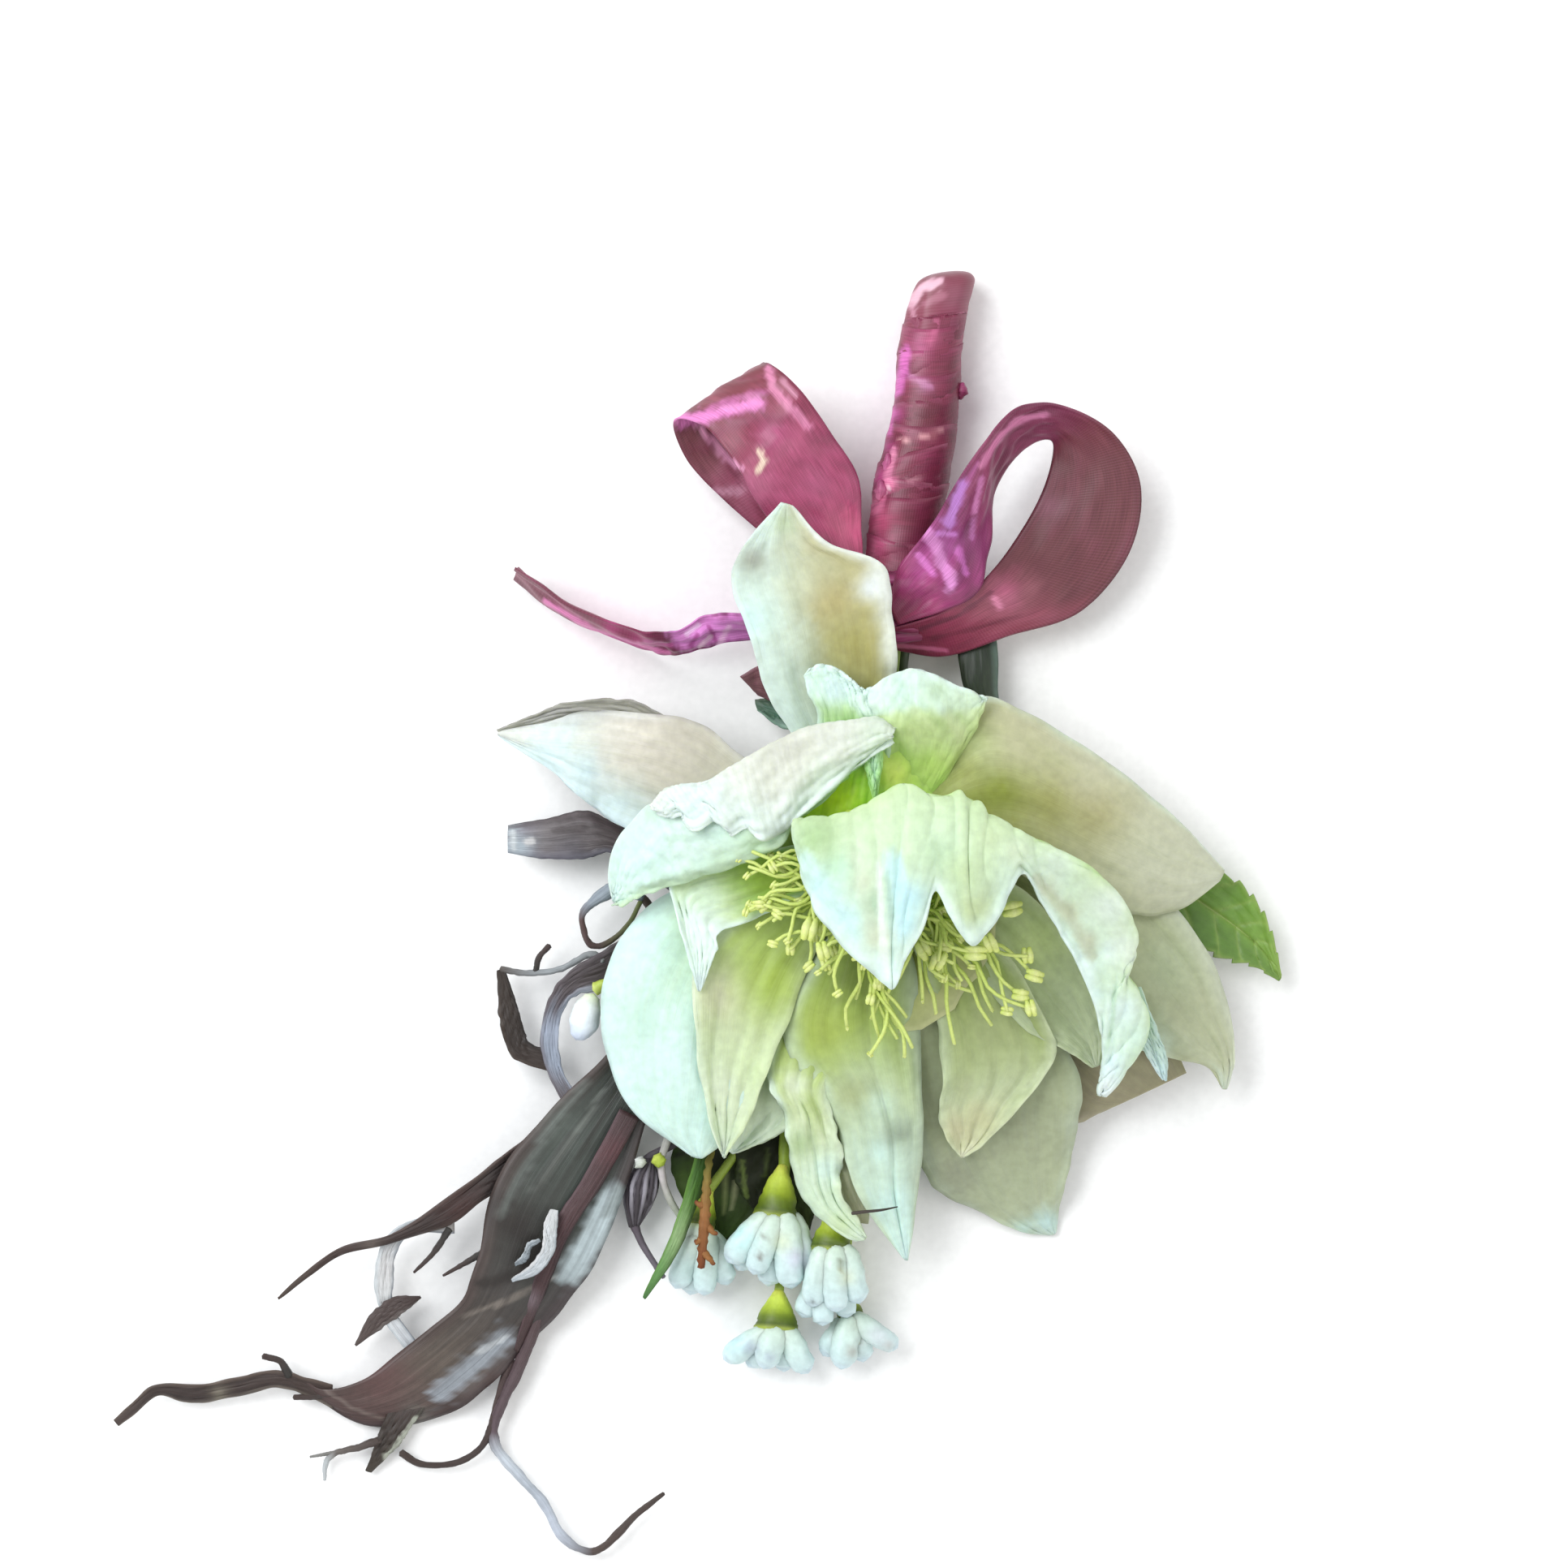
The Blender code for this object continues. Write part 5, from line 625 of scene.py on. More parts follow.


# How each petal is finished: colours from base to tip, the tint and width of its two margins, its
# lengthwise creases as rows of side, width, depth, the roll of its margins, its ruffle and its patches.
# Many of these colours are painted light. Stops, patches, streaks, rims and margins put painted shade,
# grey-olive or beige, where a petal lies under others. They put painted highlights, white or blue-white,
# where an edge, ridge or rolled margin faces the light.
DRESS = {
    "upper": dict(stops="0 #a0924a, 0.4 #b8a466, 0.75 #c8b68e, 1 #ded8c4",
        margins="#e8f6f4 0.9, #fffaf6 0.2", creases="-0.12 0.12 0.5, -0.62 0.1 0.5, 0.4 0.1 0.25",
        roll=(-1, -0.5), patches="""-20.4 7 2 #948a88 0.8, -16.4 11.6 1.6 #b5bf9c 0.7,
        -20.4 -0.4 2.2 #dcf6f4 0.8, -10.8 1.8 3.4 #bca06c 0.8, -5.8 3.6 1.5 #fffaff 0.9,
        -8.4 -3.8 4.4 #a08e44 0.85, -14.8 4 2.2 #e6e0c8 0.6"""),
    "left": dict(stops="0 #d2c2ae, 0.5 #ead6cf, 1 #f2e8e6", margins="#eee0dc 0.12, #e9f7ff 0.5",
        creases="0.3 0.1 0.35", roll=(-0.6, 0.7), patches="""-42 -12.8 3.2 #e2dad8 0.7,
        -40.8 -19.2 2.4 #d6e6f2 0.8, -45 -17 3.6 #e8f6fc 0.9, -36 -23.5 3.4 #e6f4fa 0.7,
        -30 -19 6 #ead2c8 0.6"""),
    "right_big": dict(stops="0 #8d9a30, 0.3 #b0a865, 0.55 #c9bda4, 1 #dbd2c2",
        margins="#eaf4e4 0.1, #cdc5aa 0.1", creases="-0.55 0.1 0.35, 0.2 0.15 0.3, 0.55 0.1 0.2",
        roll=(-0.5, 0.3), patches="""10.6 -21 3.8 #8a8c12 0.95, 16.6 -22.8 4 #9a8e3c 0.75,
        22 -24 3.8 #ac9a6c 0.85, 12.6 -14.6 4.4 #c8ba9e 0.9, 22 -19 3.4 #d4c6b0 0.7,
        7 -15.4 2.4 #c6c894 0.7, 29 -30.4 4 #cec4b4 0.7"""),
    "top_left": dict(stops="0 #9fce44, 0.45 #c9e6a8, 0.6 #dcf2dc, 1 #e6faf2", free=True,
        rim=("#effcf6", 0.08), margins="#e8f8ee 0.2, #e6f4dc 0.12", pleats=(4, 0.12), ruffle=0.3,
        patches="-10.2 -9 1.8 #e6f4fc 0.8, -6.4 -11 1.4 #f0fbf4 0.7"),
    "top_right": dict(stops="0 #a4da44, 0.3 #c4e070, 0.46 #dbe99c, 0.64 #e2eeb4, 0.7 #e4f4e2, 1 #eefaf2",
        free=True, rim=("#eefaf0", 0.05), pleats=(5, 0.06), ruffle=0.14, patches="""5 -14.6 3 #e0e2b0 0.8,
        0.2 -14.6 2.2 #fafcc4 0.85, 1.6 -19 2.6 #dcea84 0.8, 6.4 -18 2.2 #c8c47c 0.8,
        -1.6 -8.8 2.4 #d9f0e2 0.7, 5.8 -10.2 2 #dde9cc 0.8, 2.4 -9 1.8 #d2e4c2 0.8"""),
    "left_front": dict(free=True, stops="0 #e4f3ea, 0.5 #e6f8f0, 0.85 #dff2e2, 1 #d6e8cc",
        rim=("#cfe0c0", 0.06), pleats=(9, 0.2), ruffle=0.5,
        streaks="""-33.8 -33.4 -27 -31.6 -20.4 -29.4 0.45 #b4c4ae 0.8,
        -30.6 -27.4 -24.4 -27 0.5 #c8dcd0 0.6""", patches="""-9 -19.4 3 #bfe07e 0.8, -14 -24 3 #d3e6b4 0.8,
        -20 -27.6 3 #d9ecc6 0.7, -34 -30 4 #e4fbf4 0.8, -28 -27.6 3 #f0fbf4 0.7, -24 -30.4 2.2 #cfe0c6 0.7,
        -4 -16 2 #b9e07c 0.8"""),
    "small_point": dict(stops="0 #8cc434, 0.25 #a8cf52, 0.42 #cfdda0, 0.6 #e3f2dc, 1 #f2fbf8",
        margins="#ecfaf4 0.15, #f0faf4 0.15", ruffle=0.3, patches="""-26.6 -38.6 3.4 #fbfffd 0.9,
        -26 -34 2 #e6f4dc 0.7, -18.6 -32 3.4 #b0cc30 0.9, -14 -31 2.6 #8cae18 0.9"""),
    "hood": dict(free=True, stops="0 #7fc226, 0.3 #b5d86a, 0.48 #d5e3b2, 0.7 #e0edcc, 1 #e6f3e4",
        rim=("#f2fbf6", 0.05), pleats=(17, 0.3), ruffle=0.35, patches="""-11.6 -33.4 2.6 #dcf8f6 0.9,
        -8.6 -37 2 #dcf8fa 0.9, -0.9 -34.6 2.2 #cdeefa 0.95, -1.6 -38.6 1.8 #d2f0fa 0.9,
        -4.6 -39.4 1.5 #f4ecd2 0.8, -6.6 -32.6 1.3 #dcd8be 0.7, -5.8 -35.4 1.4 #c0dcbc 0.85,
        -9.5 -30.8 1.8 #c4e8cc 0.8, 2.9 -29.4 2.4 #bed4b4 0.8, -12.4 -27.4 3 #a9c28c 0.9,
        -3 -26.6 3.6 #e2f2cc 0.6, 5.6 -31.4 3 #ccd8a8 0.8, 7 -36 2.4 #c4ca94 0.8, 9 -27 2.2 #dfe7bc 0.7,
        12.2 -28.9 1.8 #f2f8d8 0.8, -4 -43.6 1.6 #e2f4f0 0.8, 17 -30.6 3 #eef4e2 0.8,
        23.6 -35.6 3.2 #f3f4e8 0.9, 15.4 -33.6 1.5 #ddd9c0 0.7, 20.4 -43 1.8 #f6ffff 0.9,
        23.6 -41 1.4 #f0fdfa 0.8, 18.6 -36.2 1.4 #cfc9ae 0.9, 21.2 -39.8 1.3 #cfc9b2 0.9,
        25.6 -40.8 2.4 #f4f2e6 0.8, 25.4 -48.6 2.4 #f2fafc 0.8, 26.8 -51.6 2.2 #dff0e2 0.8,
        23.6 -55.6 2.4 #f0fcff 0.9, 23 -58 1.6 #fffcff 0.9, 22 -46.6 1 #e9fbf6 0.8""",
        streaks="""-7.4 -29.6 -6.6 -34 -5.4 -39.6 0.95 #dcdcc6 0.5,
        -2.9 -30.2 -1.9 -33.8 -1 -38 1.15 #d4f6ff 0.75, -4.9 -30.6 -4.5 -36 -3.6 -44.2 0.4 #fffdf4 0.85,
        -3.7 -31.2 -3.3 -37 -2.9 -43 0.25 #a8c8c4 0.5, -13.4 -30 -11.6 -34.6 -8 -39.4 1.2 #e2ffff 0.6,
        2.4 -33 4.6 -36.6 6.6 -39.6 0.4 #f4fbea 0.7, 12.6 -30.6 15.6 -35.6 17.6 -40.4 0.35 #b8b8a0 0.5,
        14.6 -32.4 18.6 -36.4 21.4 -41.6 0.8 #ccc6b0 0.7, 16.8 -38 19.6 -42.6 22 -48 0.5 #f0fffc 0.8,
        24.6 -45.4 24 -50.6 22.8 -55 0.3 #b8d0b8 0.6"""),
    "left_fold": dict(free=True, stops="0 #e2e6cc, 0.3 #f0e6de, 0.7 #f4ebe4, 1 #f8fcf4",
        rim=("#fdfffa", 0.1), pleats=(34, 0.1), ruffle=0.5, patches="""-27.5 -23.6 4.2 #f4fffc 0.95,
        -21 -24.6 2.6 #f4fcf2 0.7, -5 -14.8 2.6 #eef6e0 0.7, -14 -16.8 3.2 #f0e2d6 0.6,
        -18.6 -19 3 #e4d8cc 0.5, -16.4 -16.2 2.4 #d6cac2 0.8, -11.4 -19.6 2.2 #f6f8ea 0.7"""),
    "right_shade": dict(stops="0 #b4c070, 0.4 #c6cc9c, 1 #cccbb2", margins="#c8cca6 0.2, #c8cca8 0.2",
        creases="0.1 0.15 0.4", patches="14.6 -40 3.4 #ecf4a8 0.85"),
    "right_sliver": dict(stops="0 #d5e0cc, 1 #def4f8", margins="#effbfd 0.5, #c4d8d2 0.3", ruffle=0.15),
    "right_back": dict(stops="0 #858a4c, 0.4 #b7b293, 0.8 #c8c2aa, 1 #dfe0d2",
        margins="#ded9c8 0.2, #b9b292 0.2", creases="0 0.2 0.4, -0.5 0.1 0.3", roll=(-0.4, 0.3),
        patches="28.4 -53.6 2.8 #f0f8f0 0.9, 31 -43 4 #c8caac 0.6"),
    "brown_back": dict(stops="0 #6c684a, 0.5 #877661, 1 #9a8773", margins="#9a8a78 0.2, #a39080 0.25",
        roll=(0, 0.6)),
    "lower_right": dict(stops="0 #8c9650, 0.3 #a8a88a, 0.75 #b6b49c, 1 #c8ccc2",
        margins="#bcbeac 0.14, #bcbeaa 0.14", creases="0.1 0.2 0.4, -0.5 0.12 0.25, 0.55 0.1 0.25",
        patches="""16 -74.6 1.6 #cfe6e8 0.85, 13 -75.4 1.4 #c6dcd8 0.7, 2 -60 3 #98967c 0.6,
        4.8 -68.6 2.8 #8c887c 0.8, 13 -63.4 3.4 #9c9884 0.5"""),
    "inner_right": dict(stops="0 #96ac3c, 0.25 #aab464, 0.6 #c8c9a4, 0.85 #d8d2ae, 1 #e8dcc0",
        margins="#ced2ae 0.15, #d6d6b4 0.15", creases="0 0.12 0.6, 0.5 0.1 0.4, -0.5 0.1 0.3", ruffle=0.5,
        patches="""4.8 -63.2 2.2 #cab898 0.8, 7.6 -61.6 2.2 #cdbf96 0.7, 9.6 -51 4.4 #b0b27e 0.8,
        6 -57.6 1.2 #d2cfa8 0.6"""),
    "lower_narrow": dict(stops="0 #8a9e2a, 0.25 #a9b958, 0.45 #c3cba4, 0.65 #cfdccb, 1 #e2f8f4",
        margins="#d3dcc0 0.2, #c6cdb8 0.2", creases="0.15 0.08 0.9, -0.4 0.12 0.3, 0.6 0.1 0.3",
        roll=(0, -0.6), patches="""-4.8 -60 1.6 #e0f0de 0.8, -4.4 -66 1.5 #dff4ec 0.85,
        -3.2 -72 1.7 #dcf2ee 0.8, -2.2 -63.6 2 #939c8e 0.9, -9.6 -62.4 1.4 #b4bb96 0.7,
        -11.4 -50.8 4.2 #a6b040 0.88, -7.6 -45.4 2.6 #68780e 0.7, -8 -58.8 2.4 #a8aa7c 0.85,
        0 -69 1.4 #c3c8b8 0.6"""),
    "lower_ruffled": dict(stops="0 #8fa22e, 0.3 #b4c268, 0.5 #dfe2bc, 0.7 #dfead0, 1 #e8f2d8",
        margins="#edf6e4 0.2, #dfe4c4 0.2", creases="0 0.12 0.6, 0.5 0.1 0.4", ruffle=0.9,
        patches="""-15 -57.6 1.8 #f4f2da 0.8, -14.5 -65 1.9 #a8b888 0.88, -11.4 -68 1.8 #e8faf0 0.8,
        -9.6 -75 1.6 #dde8b4 0.7"""),
    "lower_left_back": dict(stops="0 #a9b65c, 0.5 #dce2c0, 1 #f0f6e6", margins="#dfeadc 0.2, #d2d8bc 0.2",
        creases="0 0.16 0.4"),
    "left_round": dict(stops="0 #a9bc48, 0.22 #cfe2aa, 0.45 #e0f8e8, 1 #e6fbf4",
        margins="#eafdf8 0.25, #e2efdc 0.2", creases="-0.3 0.16 0.35, 0.35 0.1 0.4, -0.7 0.08 0.25",
        roll=(-0.7, 0), ruffle=0.45, patches="""-33 -40 5 #e2fdf4 0.8, -30 -55 4 #e8fbf6 0.8,
        -34 -50 2 #cfe9dc 0.6"""),
    "left_inner": dict(stops="0 #8a9f28, 0.2 #b7c668, 0.4 #d6dab0, 0.7 #e2e6c8, 1 #eef4e6",
        margins="#e4e8d2 0.2, #d9deb4 0.2", creases="0.1 0.1 0.45, -0.5 0.12 0.3, 0.55 0.1 0.3",
        ruffle=0.45, patches="""-24.6 -46.6 3.4 #e4d6bc 0.75, -20.4 -55.6 3 #e2eab8 0.7,
        -24.4 -58 2.4 #e6e6cc 0.7, -17.6 -45 4.2 #a8b83a 0.88, -14.6 -41.6 2.4 #7c8c1c 0.7"""),
}
# Sheets that only show in part: the rolled margin behind the left petal, the petal's edge folded over
# at the upper left, the green throat behind the hood and the pale stripe in it
EXTRA_PETALS = {
    "left_behind": dict(lines="""-24 -17 9, -32.5 -11.4 9.4, -37 -10.1 9.2, -43 -10.5 8.4, -47.5 -12.1 7.4,
        -51.8 -13.9 6.4; -24 -20 8.4, -33 -15 8.6, -38 -13.8 8.4, -43.6 -13.6 7.8, -48 -14.4 6.8,
        -51.4 -14.5 6.2""", cup=-0.4),
    "left_fold": dict(lines="""-2.9 -14.2 16.6, -2.9 -13.8 19.2, -3 -14.6 20.3, -3 -15.3 19.4;
        -4.7 -13.9 17.2, -4.7 -12.8 19.8, -4.7 -14.7 20.9, -4.7 -16.5 20; -7.2 -14.5 17.7, -7.4 -12.9 20.3,
        -7.2 -15.6 21.3, -6.9 -18.4 20.3; -10.1 -15.4 18, -10.5 -13.2 20.6, -9.9 -16.9 21.6,
        -9.3 -20.5 20.6; -13.3 -16.7 18.1, -13.8 -14 20.7, -13.1 -18.4 21.7, -12.3 -22.9 20.7;
        -16.3 -18.2 18, -16.9 -15.3 20.6, -15.8 -20.1 21.8, -14.8 -25 20.9; -18.8 -19.7 17.8,
        -19.6 -16.6 20.4, -18.2 -21.7 21.4, -16.8 -26.8 20.4; -21.1 -20.9 17.6, -21.9 -18 20.2,
        -20.5 -22.8 21.6, -19.1 -27.6 21; -23.1 -21.3 17.4, -24.1 -19.3 20, -22.5 -22.7 21.1,
        -20.9 -26.1 20.2; -25.3 -22.3 17.2, -26.3 -20.3 19.8, -24.6 -23.7 21.3, -23 -27.1 20.8;
        -27.3 -21.9 16.9, -28.4 -20.5 19.5, -26.6 -22.8 20.7, -24.9 -25.1 19.9; -29.3 -22.4 16.5,
        -30.3 -20.8 19.1, -28.6 -23.5 20.6, -27 -26.2 20.2; -30.8 -22.4 16.1, -31.7 -21.6 18.7,
        -30.1 -23 19.9, -28.6 -24.3 19.2; -31.8 -23.3 15.7, -32.4 -22.5 18.3, -31.4 -23.8 19.6,
        -30.5 -25.1 19; -32.6 -23.5 15.4, -32.9 -23.2 18, -32.5 -23.8 19.1, -32 -24.3 18.1"""),
    "throat": dict(lines="""-14.6 -27 15.2, -15.6 -24.9 16.8; -12 -27.4 15.4, -10.9 -21 18, -10 -18.6 18.6;
        -8.6 -27.6 15.6, -7.4 -20.4 18, -6.4 -15.6 18.6; -5.4 -27.4 15.4, -5 -20 17.6, -4.2 -12.6 18;
        -2.6 -27 14.6, -1.8 -20 15.8, -0.6 -14.6 16; 0.8 -26.6 13.2, 1.6 -21 14.2, 3 -16.8 14.4;
        4 -26.2 12.8, 5.2 -22.4 13.2, 6 -19.6 13.4; 8 -26 12.2, 8.6 -24.6 12.4"""),
    "lower_back": dict(lines="""-8 -36 11, -12 -50 9.8, -13.4 -60 9, -10.6 -69 8.2, -7.4 -74.6 7.6;
        -5 -36 11, -4 -50 9.8, -5 -60 9, -5.6 -69 8.2, -6 -74.8 7.6""", cup=0.6),
    "throat_stripe": dict(lines="""-6.6 -14.6 18.8, -6.6 -17.6 19, -6 -20.2 18.7, -5.3 -22.8 18.4;
        -4.6 -14 18.8, -4.2 -17.2 18.8, -4.6 -20 18.5, -5 -22.8 18.3""", cup=0.4),
}
DRESS["left_behind"] = dict(stops="0 #a79a94, 0.6 #a89ca2, 1 #c9bdbb", margins="#978b90 0.3, #cbbfb8 0.2",
    roll=(0.5, 0))
# The throat's bright yellow patches are painted light: light shining through the hood.
DRESS["throat"] = dict(stops="0 #98dc28, 0.5 #a8e038, 1 #b8e45c", free=True, pleats=(6, 0.25), ruffle=0.15,
    patches="""-10.6 -22.4 3.2 #eeff08 0.92, -5.6 -16.6 1.8 #c4f4a0 0.8, -2.8 -19.4 2.6 #fcff78 0.9,
    2.6 -19 3 #d8e888 0.85, 7 -21.6 3 #aca848 0.9""")
DRESS["lower_back"] = dict(stops="0 #8a9e2a, 0.5 #c3c6a0, 0.8 #bdb59a, 1 #a89c86",
    margins="#c9c9ae 0.2, #b3ae98 0.2")
DRESS["throat_stripe"] = dict(stops="0 #dcf8d0, 0.5 #d0f8d0, 1 #aee86c",
    margins="#bcee80 0.5, #bcee80 0.5", ruffle=0.1)


def petal(name, shape, dress, seed):
    """One petal: a loft through its two edge lines, or through all its guide lines.

    Off that surface it is moved along its normal by
    cup * (1 - side^2) + wave * side^2 * sin(waves) + creases * exp(-((side - place) / width)^2)
    + roll * smooth step of |side| near a margin + ruffle * |side|^4 * uneven noise + veins,
    all times swell, which is sin(pi * along)^0.7, or a step up from the base for a free edge. Pleats
    are uneven |sin| folds that run to a free edge. Its margins wander by a fraction of a millimetre.
    """
    lines = tables(shape["lines"])
    free = dress.get("free", False)
    rows, cols = (72, 26) if len(lines) == 2 else (44, 8 * len(lines) + 12)
    points, side, along, face, outward = loft(lines, rows, cols)
    swell = step_up(0.0, 0.3, along) if free else np.sin(np.pi * np.clip(along, 0, 1)) ** 0.7
    lift = shape.get("cup", 0.0) * (1 - side**2)
    waves = np.sin(TURN * (shape.get("waves", 3) * along + 0.2 * side))
    lift = lift + shape.get("wave", 0.0) * side**2 * waves
    for place, width, depth in table(dress.get("creases", "")):
        lift = lift - depth * np.exp(-((side - place - 0.12 * uneven(along, 0.2, seed + 5)) / width) ** 2)
    roll = dress.get("roll", (0.0, 0.0))
    lift = lift + roll[0] * step_up(0.6, 1.0, -side) + roll[1] * step_up(0.6, 1.0, side)
    ruffle = dress.get("ruffle", 0.3)
    rim = along**5 if free else side**4
    lift = lift + ruffle * rim * uneven(side * (2.6 if free else 0.5), along * 3.6, seed) * 1.6
    lift = lift + 0.34 * uneven(side * 1.1, along * 1.6, seed + 40)
    lift = lift + 0.1 * uneven(side * 4, along * 5, seed + 41)
    count, depth = dress.get("pleats", (0, 0.0))
    folds = np.abs(np.sin(np.pi * (0.5 * count * side + 0.8 * uneven(side * 2, along * 0.6, seed + 8))))
    lift = lift - depth * (1 - folds) ** 1.5
    veins = np.abs(np.sin(np.pi * (7.5 * side + 1.3 * uneven(side, along * 0.7, seed + 7))))
    lift = lift - 0.035 * (1 - veins) ** 2 * step_up(0.0, 0.25, along)
    wander = ruffle * 0.6 * uneven(side * 0.2, along * 4.0, seed + 20) * side * np.abs(side) ** 3
    points = points + face * (lift * swell)[..., None] + outward * (wander * swell)[..., None]
    tint = coloured(dress["stops"], along + 0.05 * uneven(side, along, seed + 3))
    for (colour, width), edge in zip(table(dress.get("margins", "")), (-side, side)):
        tint = tinted(tint, 0.85 * step_up(1 - 2 * width, 1.0, edge + 0.1 * uneven(side, along * 3, seed)),
                      colour)
    tint = patched(tint, points, dress.get("patches", ""), seed)
    tint = streaked(tint, points, dress.get("streaks", ""), seed)
    if "rim" in dress:
        tint = tinted(tint, 0.8 * step_up(1 - 2 * dress["rim"][1], 1.0, along), dress["rim"][0])
    # A little darker in the vein grooves and pleat hollows: painted shade.
    tint = tint * (0.955 + 0.03 * veins + 0.015 * folds)[..., None] * PETAL_CAST
    part = shell(points, side, along, tint, PETAL_THICK)
    make_piece("petal_" + name, [part], PETAL_TISSUE, ["bloom_petals"])


for number, (petal_name, petal_shape) in enumerate((PETALS | EXTRA_PETALS).items()):
    petal(petal_name, petal_shape, DRESS[petal_name], 100 + number)


def bowl():
    """The shallow green bowl under the stamens: rings that rise a little towards a wavy rim."""
    turn, share = np.meshgrid(np.linspace(0, TURN, 73), np.linspace(0.04, 1, 25))
    reach = 17.0 + 3.4 * np.sin(turn + 4.2) + 1.2 * uneven(np.cos(turn), np.sin(turn), 90)
    middle_x, middle_y = -4.2, -33.0
    height = 11.5 + 0.4 * share**2 + 0.15 * uneven(np.cos(turn) * 2, share * 3, 91)
    points = np.stack([middle_x + reach * share * np.cos(turn),
                       middle_y + reach * share * np.sin(turn), height], axis=-1)
    # Darker towards the middle, painted shade among the stamens, and a lighter green towards the upper left.
    tint = coloured("0 #5f7a12, 0.3 #7f9a22, 0.55 #a3b548, 0.8 #bcc37c, 1 #c0c392", share)
    tint = tinted(tint, 0.9 * step_up(-0.2, 0.6, -np.cos(turn) - 0.6 * np.sin(turn) - 0.5), "#93c83c")
    return shell(points, 2 * turn / TURN - 1, share, tint, PETAL_THICK, 0.0)


make_piece("petal_bowl", [bowl()], PETAL_TISSUE, ["bloom_petals"])

FILAMENT_STOPS = "0 #7f9a22, 0.4 #b9cf55, 1 #dbe88e"
ANTHER_STOPS = "0 #d3e27a, 0.5 #e9f0a4, 1 #dde884"
# Stamens that stand out: where the anther lies and how high, and how wide it is, mm
CLEAR_ANTHERS = """-18.9 -35.5 19 0.85, -17.2 -36.6 19.6 0.7, -13.2 -38.4 21 1.15, -11.6 -41.2 21.2 1,
    -7.4 -41.8 20.6 0.7, 0.8 -41 20.4 1.05, 2.6 -42.4 20.8 1.1, 3.4 -40.6 20.2 0.9, 7.2 -41.4 21.8 1.15,
    9 -40.2 21.8 1, 11.8 -36 21 1.15, 13.6 -41.8 19.4 0.9, 14.4 -44.2 19.2 0.95, 12.8 -46.6 18.6 0.95,
    14 -48.2 18.4 0.85, 11.1 -48.6 18.4 0.7"""


def stamen(tip, anther, height, seed):
    """A filament from the core to a tip, wavy in two directions, and the two-lobed anther it carries."""
    rng = np.random.default_rng(seed)
    away = tip[:2] - CORE_CENTRE[:2]
    way = away / np.linalg.norm(away)
    across = np.array((-way[1], way[0]))
    root = np.append(CORE_CENTRE[:2] + way * rng.uniform(0.6, 2.6), CORE_CENTRE[2] - 0.4)
    places = np.linspace(0, 1, 9)
    bend = rng.uniform(0.7, 1.9) * np.sin(places * np.pi * rng.uniform(1.6, 4.0) + rng.uniform(0, 3))
    bend = (bend + rng.uniform(-2.6, 2.6)) * np.sin(np.pi * places)
    path = root + (tip - root) * places[:, None]
    path[:, :2] += bend[:, None] * across
    ripple = 0.5 * np.sin(places * 9 + rng.uniform(0, 6)) * places
    path[:, 2] += height * np.sin(np.pi * places) ** 0.8 + ripple
    radii = np.interp(places, (0, 0.5, 1), (0.34, 0.26, 0.23))
    parts = [tube(path, radii, FILAMENT_STOPS, 16, 6)]
    if anther:
        lean = unit(np.append(way, rng.uniform(-0.5, 0.1)) + np.append(across * rng.uniform(-1.6, 1.6), 0.0))
        beside = unit(np.cross(lean, (0.0, 0.0, 1.0))) * anther * 0.36
        for lobe in (-1, 1):
            middle = tip + lobe * beside
            ends = [middle - lean * anther * 1.15, middle, middle + lean * anther * rng.uniform(0.9, 1.3)]
            parts.append(tube(ends, (0.3 * anther, 0.5 * anther, 0.34 * anther), ANTHER_STOPS, 6, 7,
                              knobbly=0.2, seed=seed + lobe))
    return parts


def nectary(angle, seed):
    """A small green funnel of the ring between the petals and the stamens."""
    rng = np.random.default_rng(seed)
    way = np.array((math.cos(angle), math.sin(angle), 0.0))
    root = CORE_CENTRE + way * 3.4 + (0, 0, -1.4)
    length = rng.uniform(3.6, 5.4)
    path = [root, root + way * 0.5 * length + (0, 0, 0.7), root + way * length + (0, 0, 1.3)]
    return tube(path, (0.5, 1.0, 1.15), "0 #6f8f1c, 0.6 #9cbc30, 1 #c4dc5c", 10, 10, flat=0.7,
                knobbly=0.15, seed=seed)


stamens = [tube([CORE_CENTRE + (0, 3.2, -1.0), CORE_CENTRE + (0, 0, 0.2), CORE_CENTRE + (0, -3.2, -1.0)],
                (2.4, 3.6, 2.4), "0 #6c8a1c, 1 #86a024", 14, 20, flat=0.5, knobbly=0.2)]
draw = np.random.default_rng(11)
for number, (x, y, z, width) in enumerate(table(CLEAR_ANTHERS)):
    stamens += stamen(np.array((x, y, z)), width, 0.8, 300 + number)
for number in range(SPREAD_STAMENS):
    heading = math.radians(draw.uniform(168, 352))
    reach = draw.uniform(8.0, 17.5)
    place = CORE_CENTRE + (math.cos(heading) * reach, math.sin(heading) * reach, draw.uniform(-1.4, 2.2))
    anther = draw.uniform(0.4, 0.75) if number % 3 else 0.0
    stamens += stamen(place, anther, draw.uniform(0.2, 2.2), 400 + number)
for number in range(LOW_STAMENS):
    heading = math.radians(draw.uniform(246, 312))
    reach = draw.uniform(16.0, 24.0)
    place = CORE_CENTRE + (math.cos(heading) * reach, math.sin(heading) * reach, draw.uniform(-2.6, -1.4))
    stamens += stamen(place, draw.uniform(0.0, 0.35), draw.uniform(0.6, 1.8), 600 + number)
make_piece("stamens", stamens, FILAMENT_TISSUE, ["bloom_stamens"])
make_piece("nectary_ring", [nectary(k * TURN / NECTARIES, 700 + k) for k in range(NECTARIES)],
           FILAMENT_TISSUE, ["bloom_stamens"])
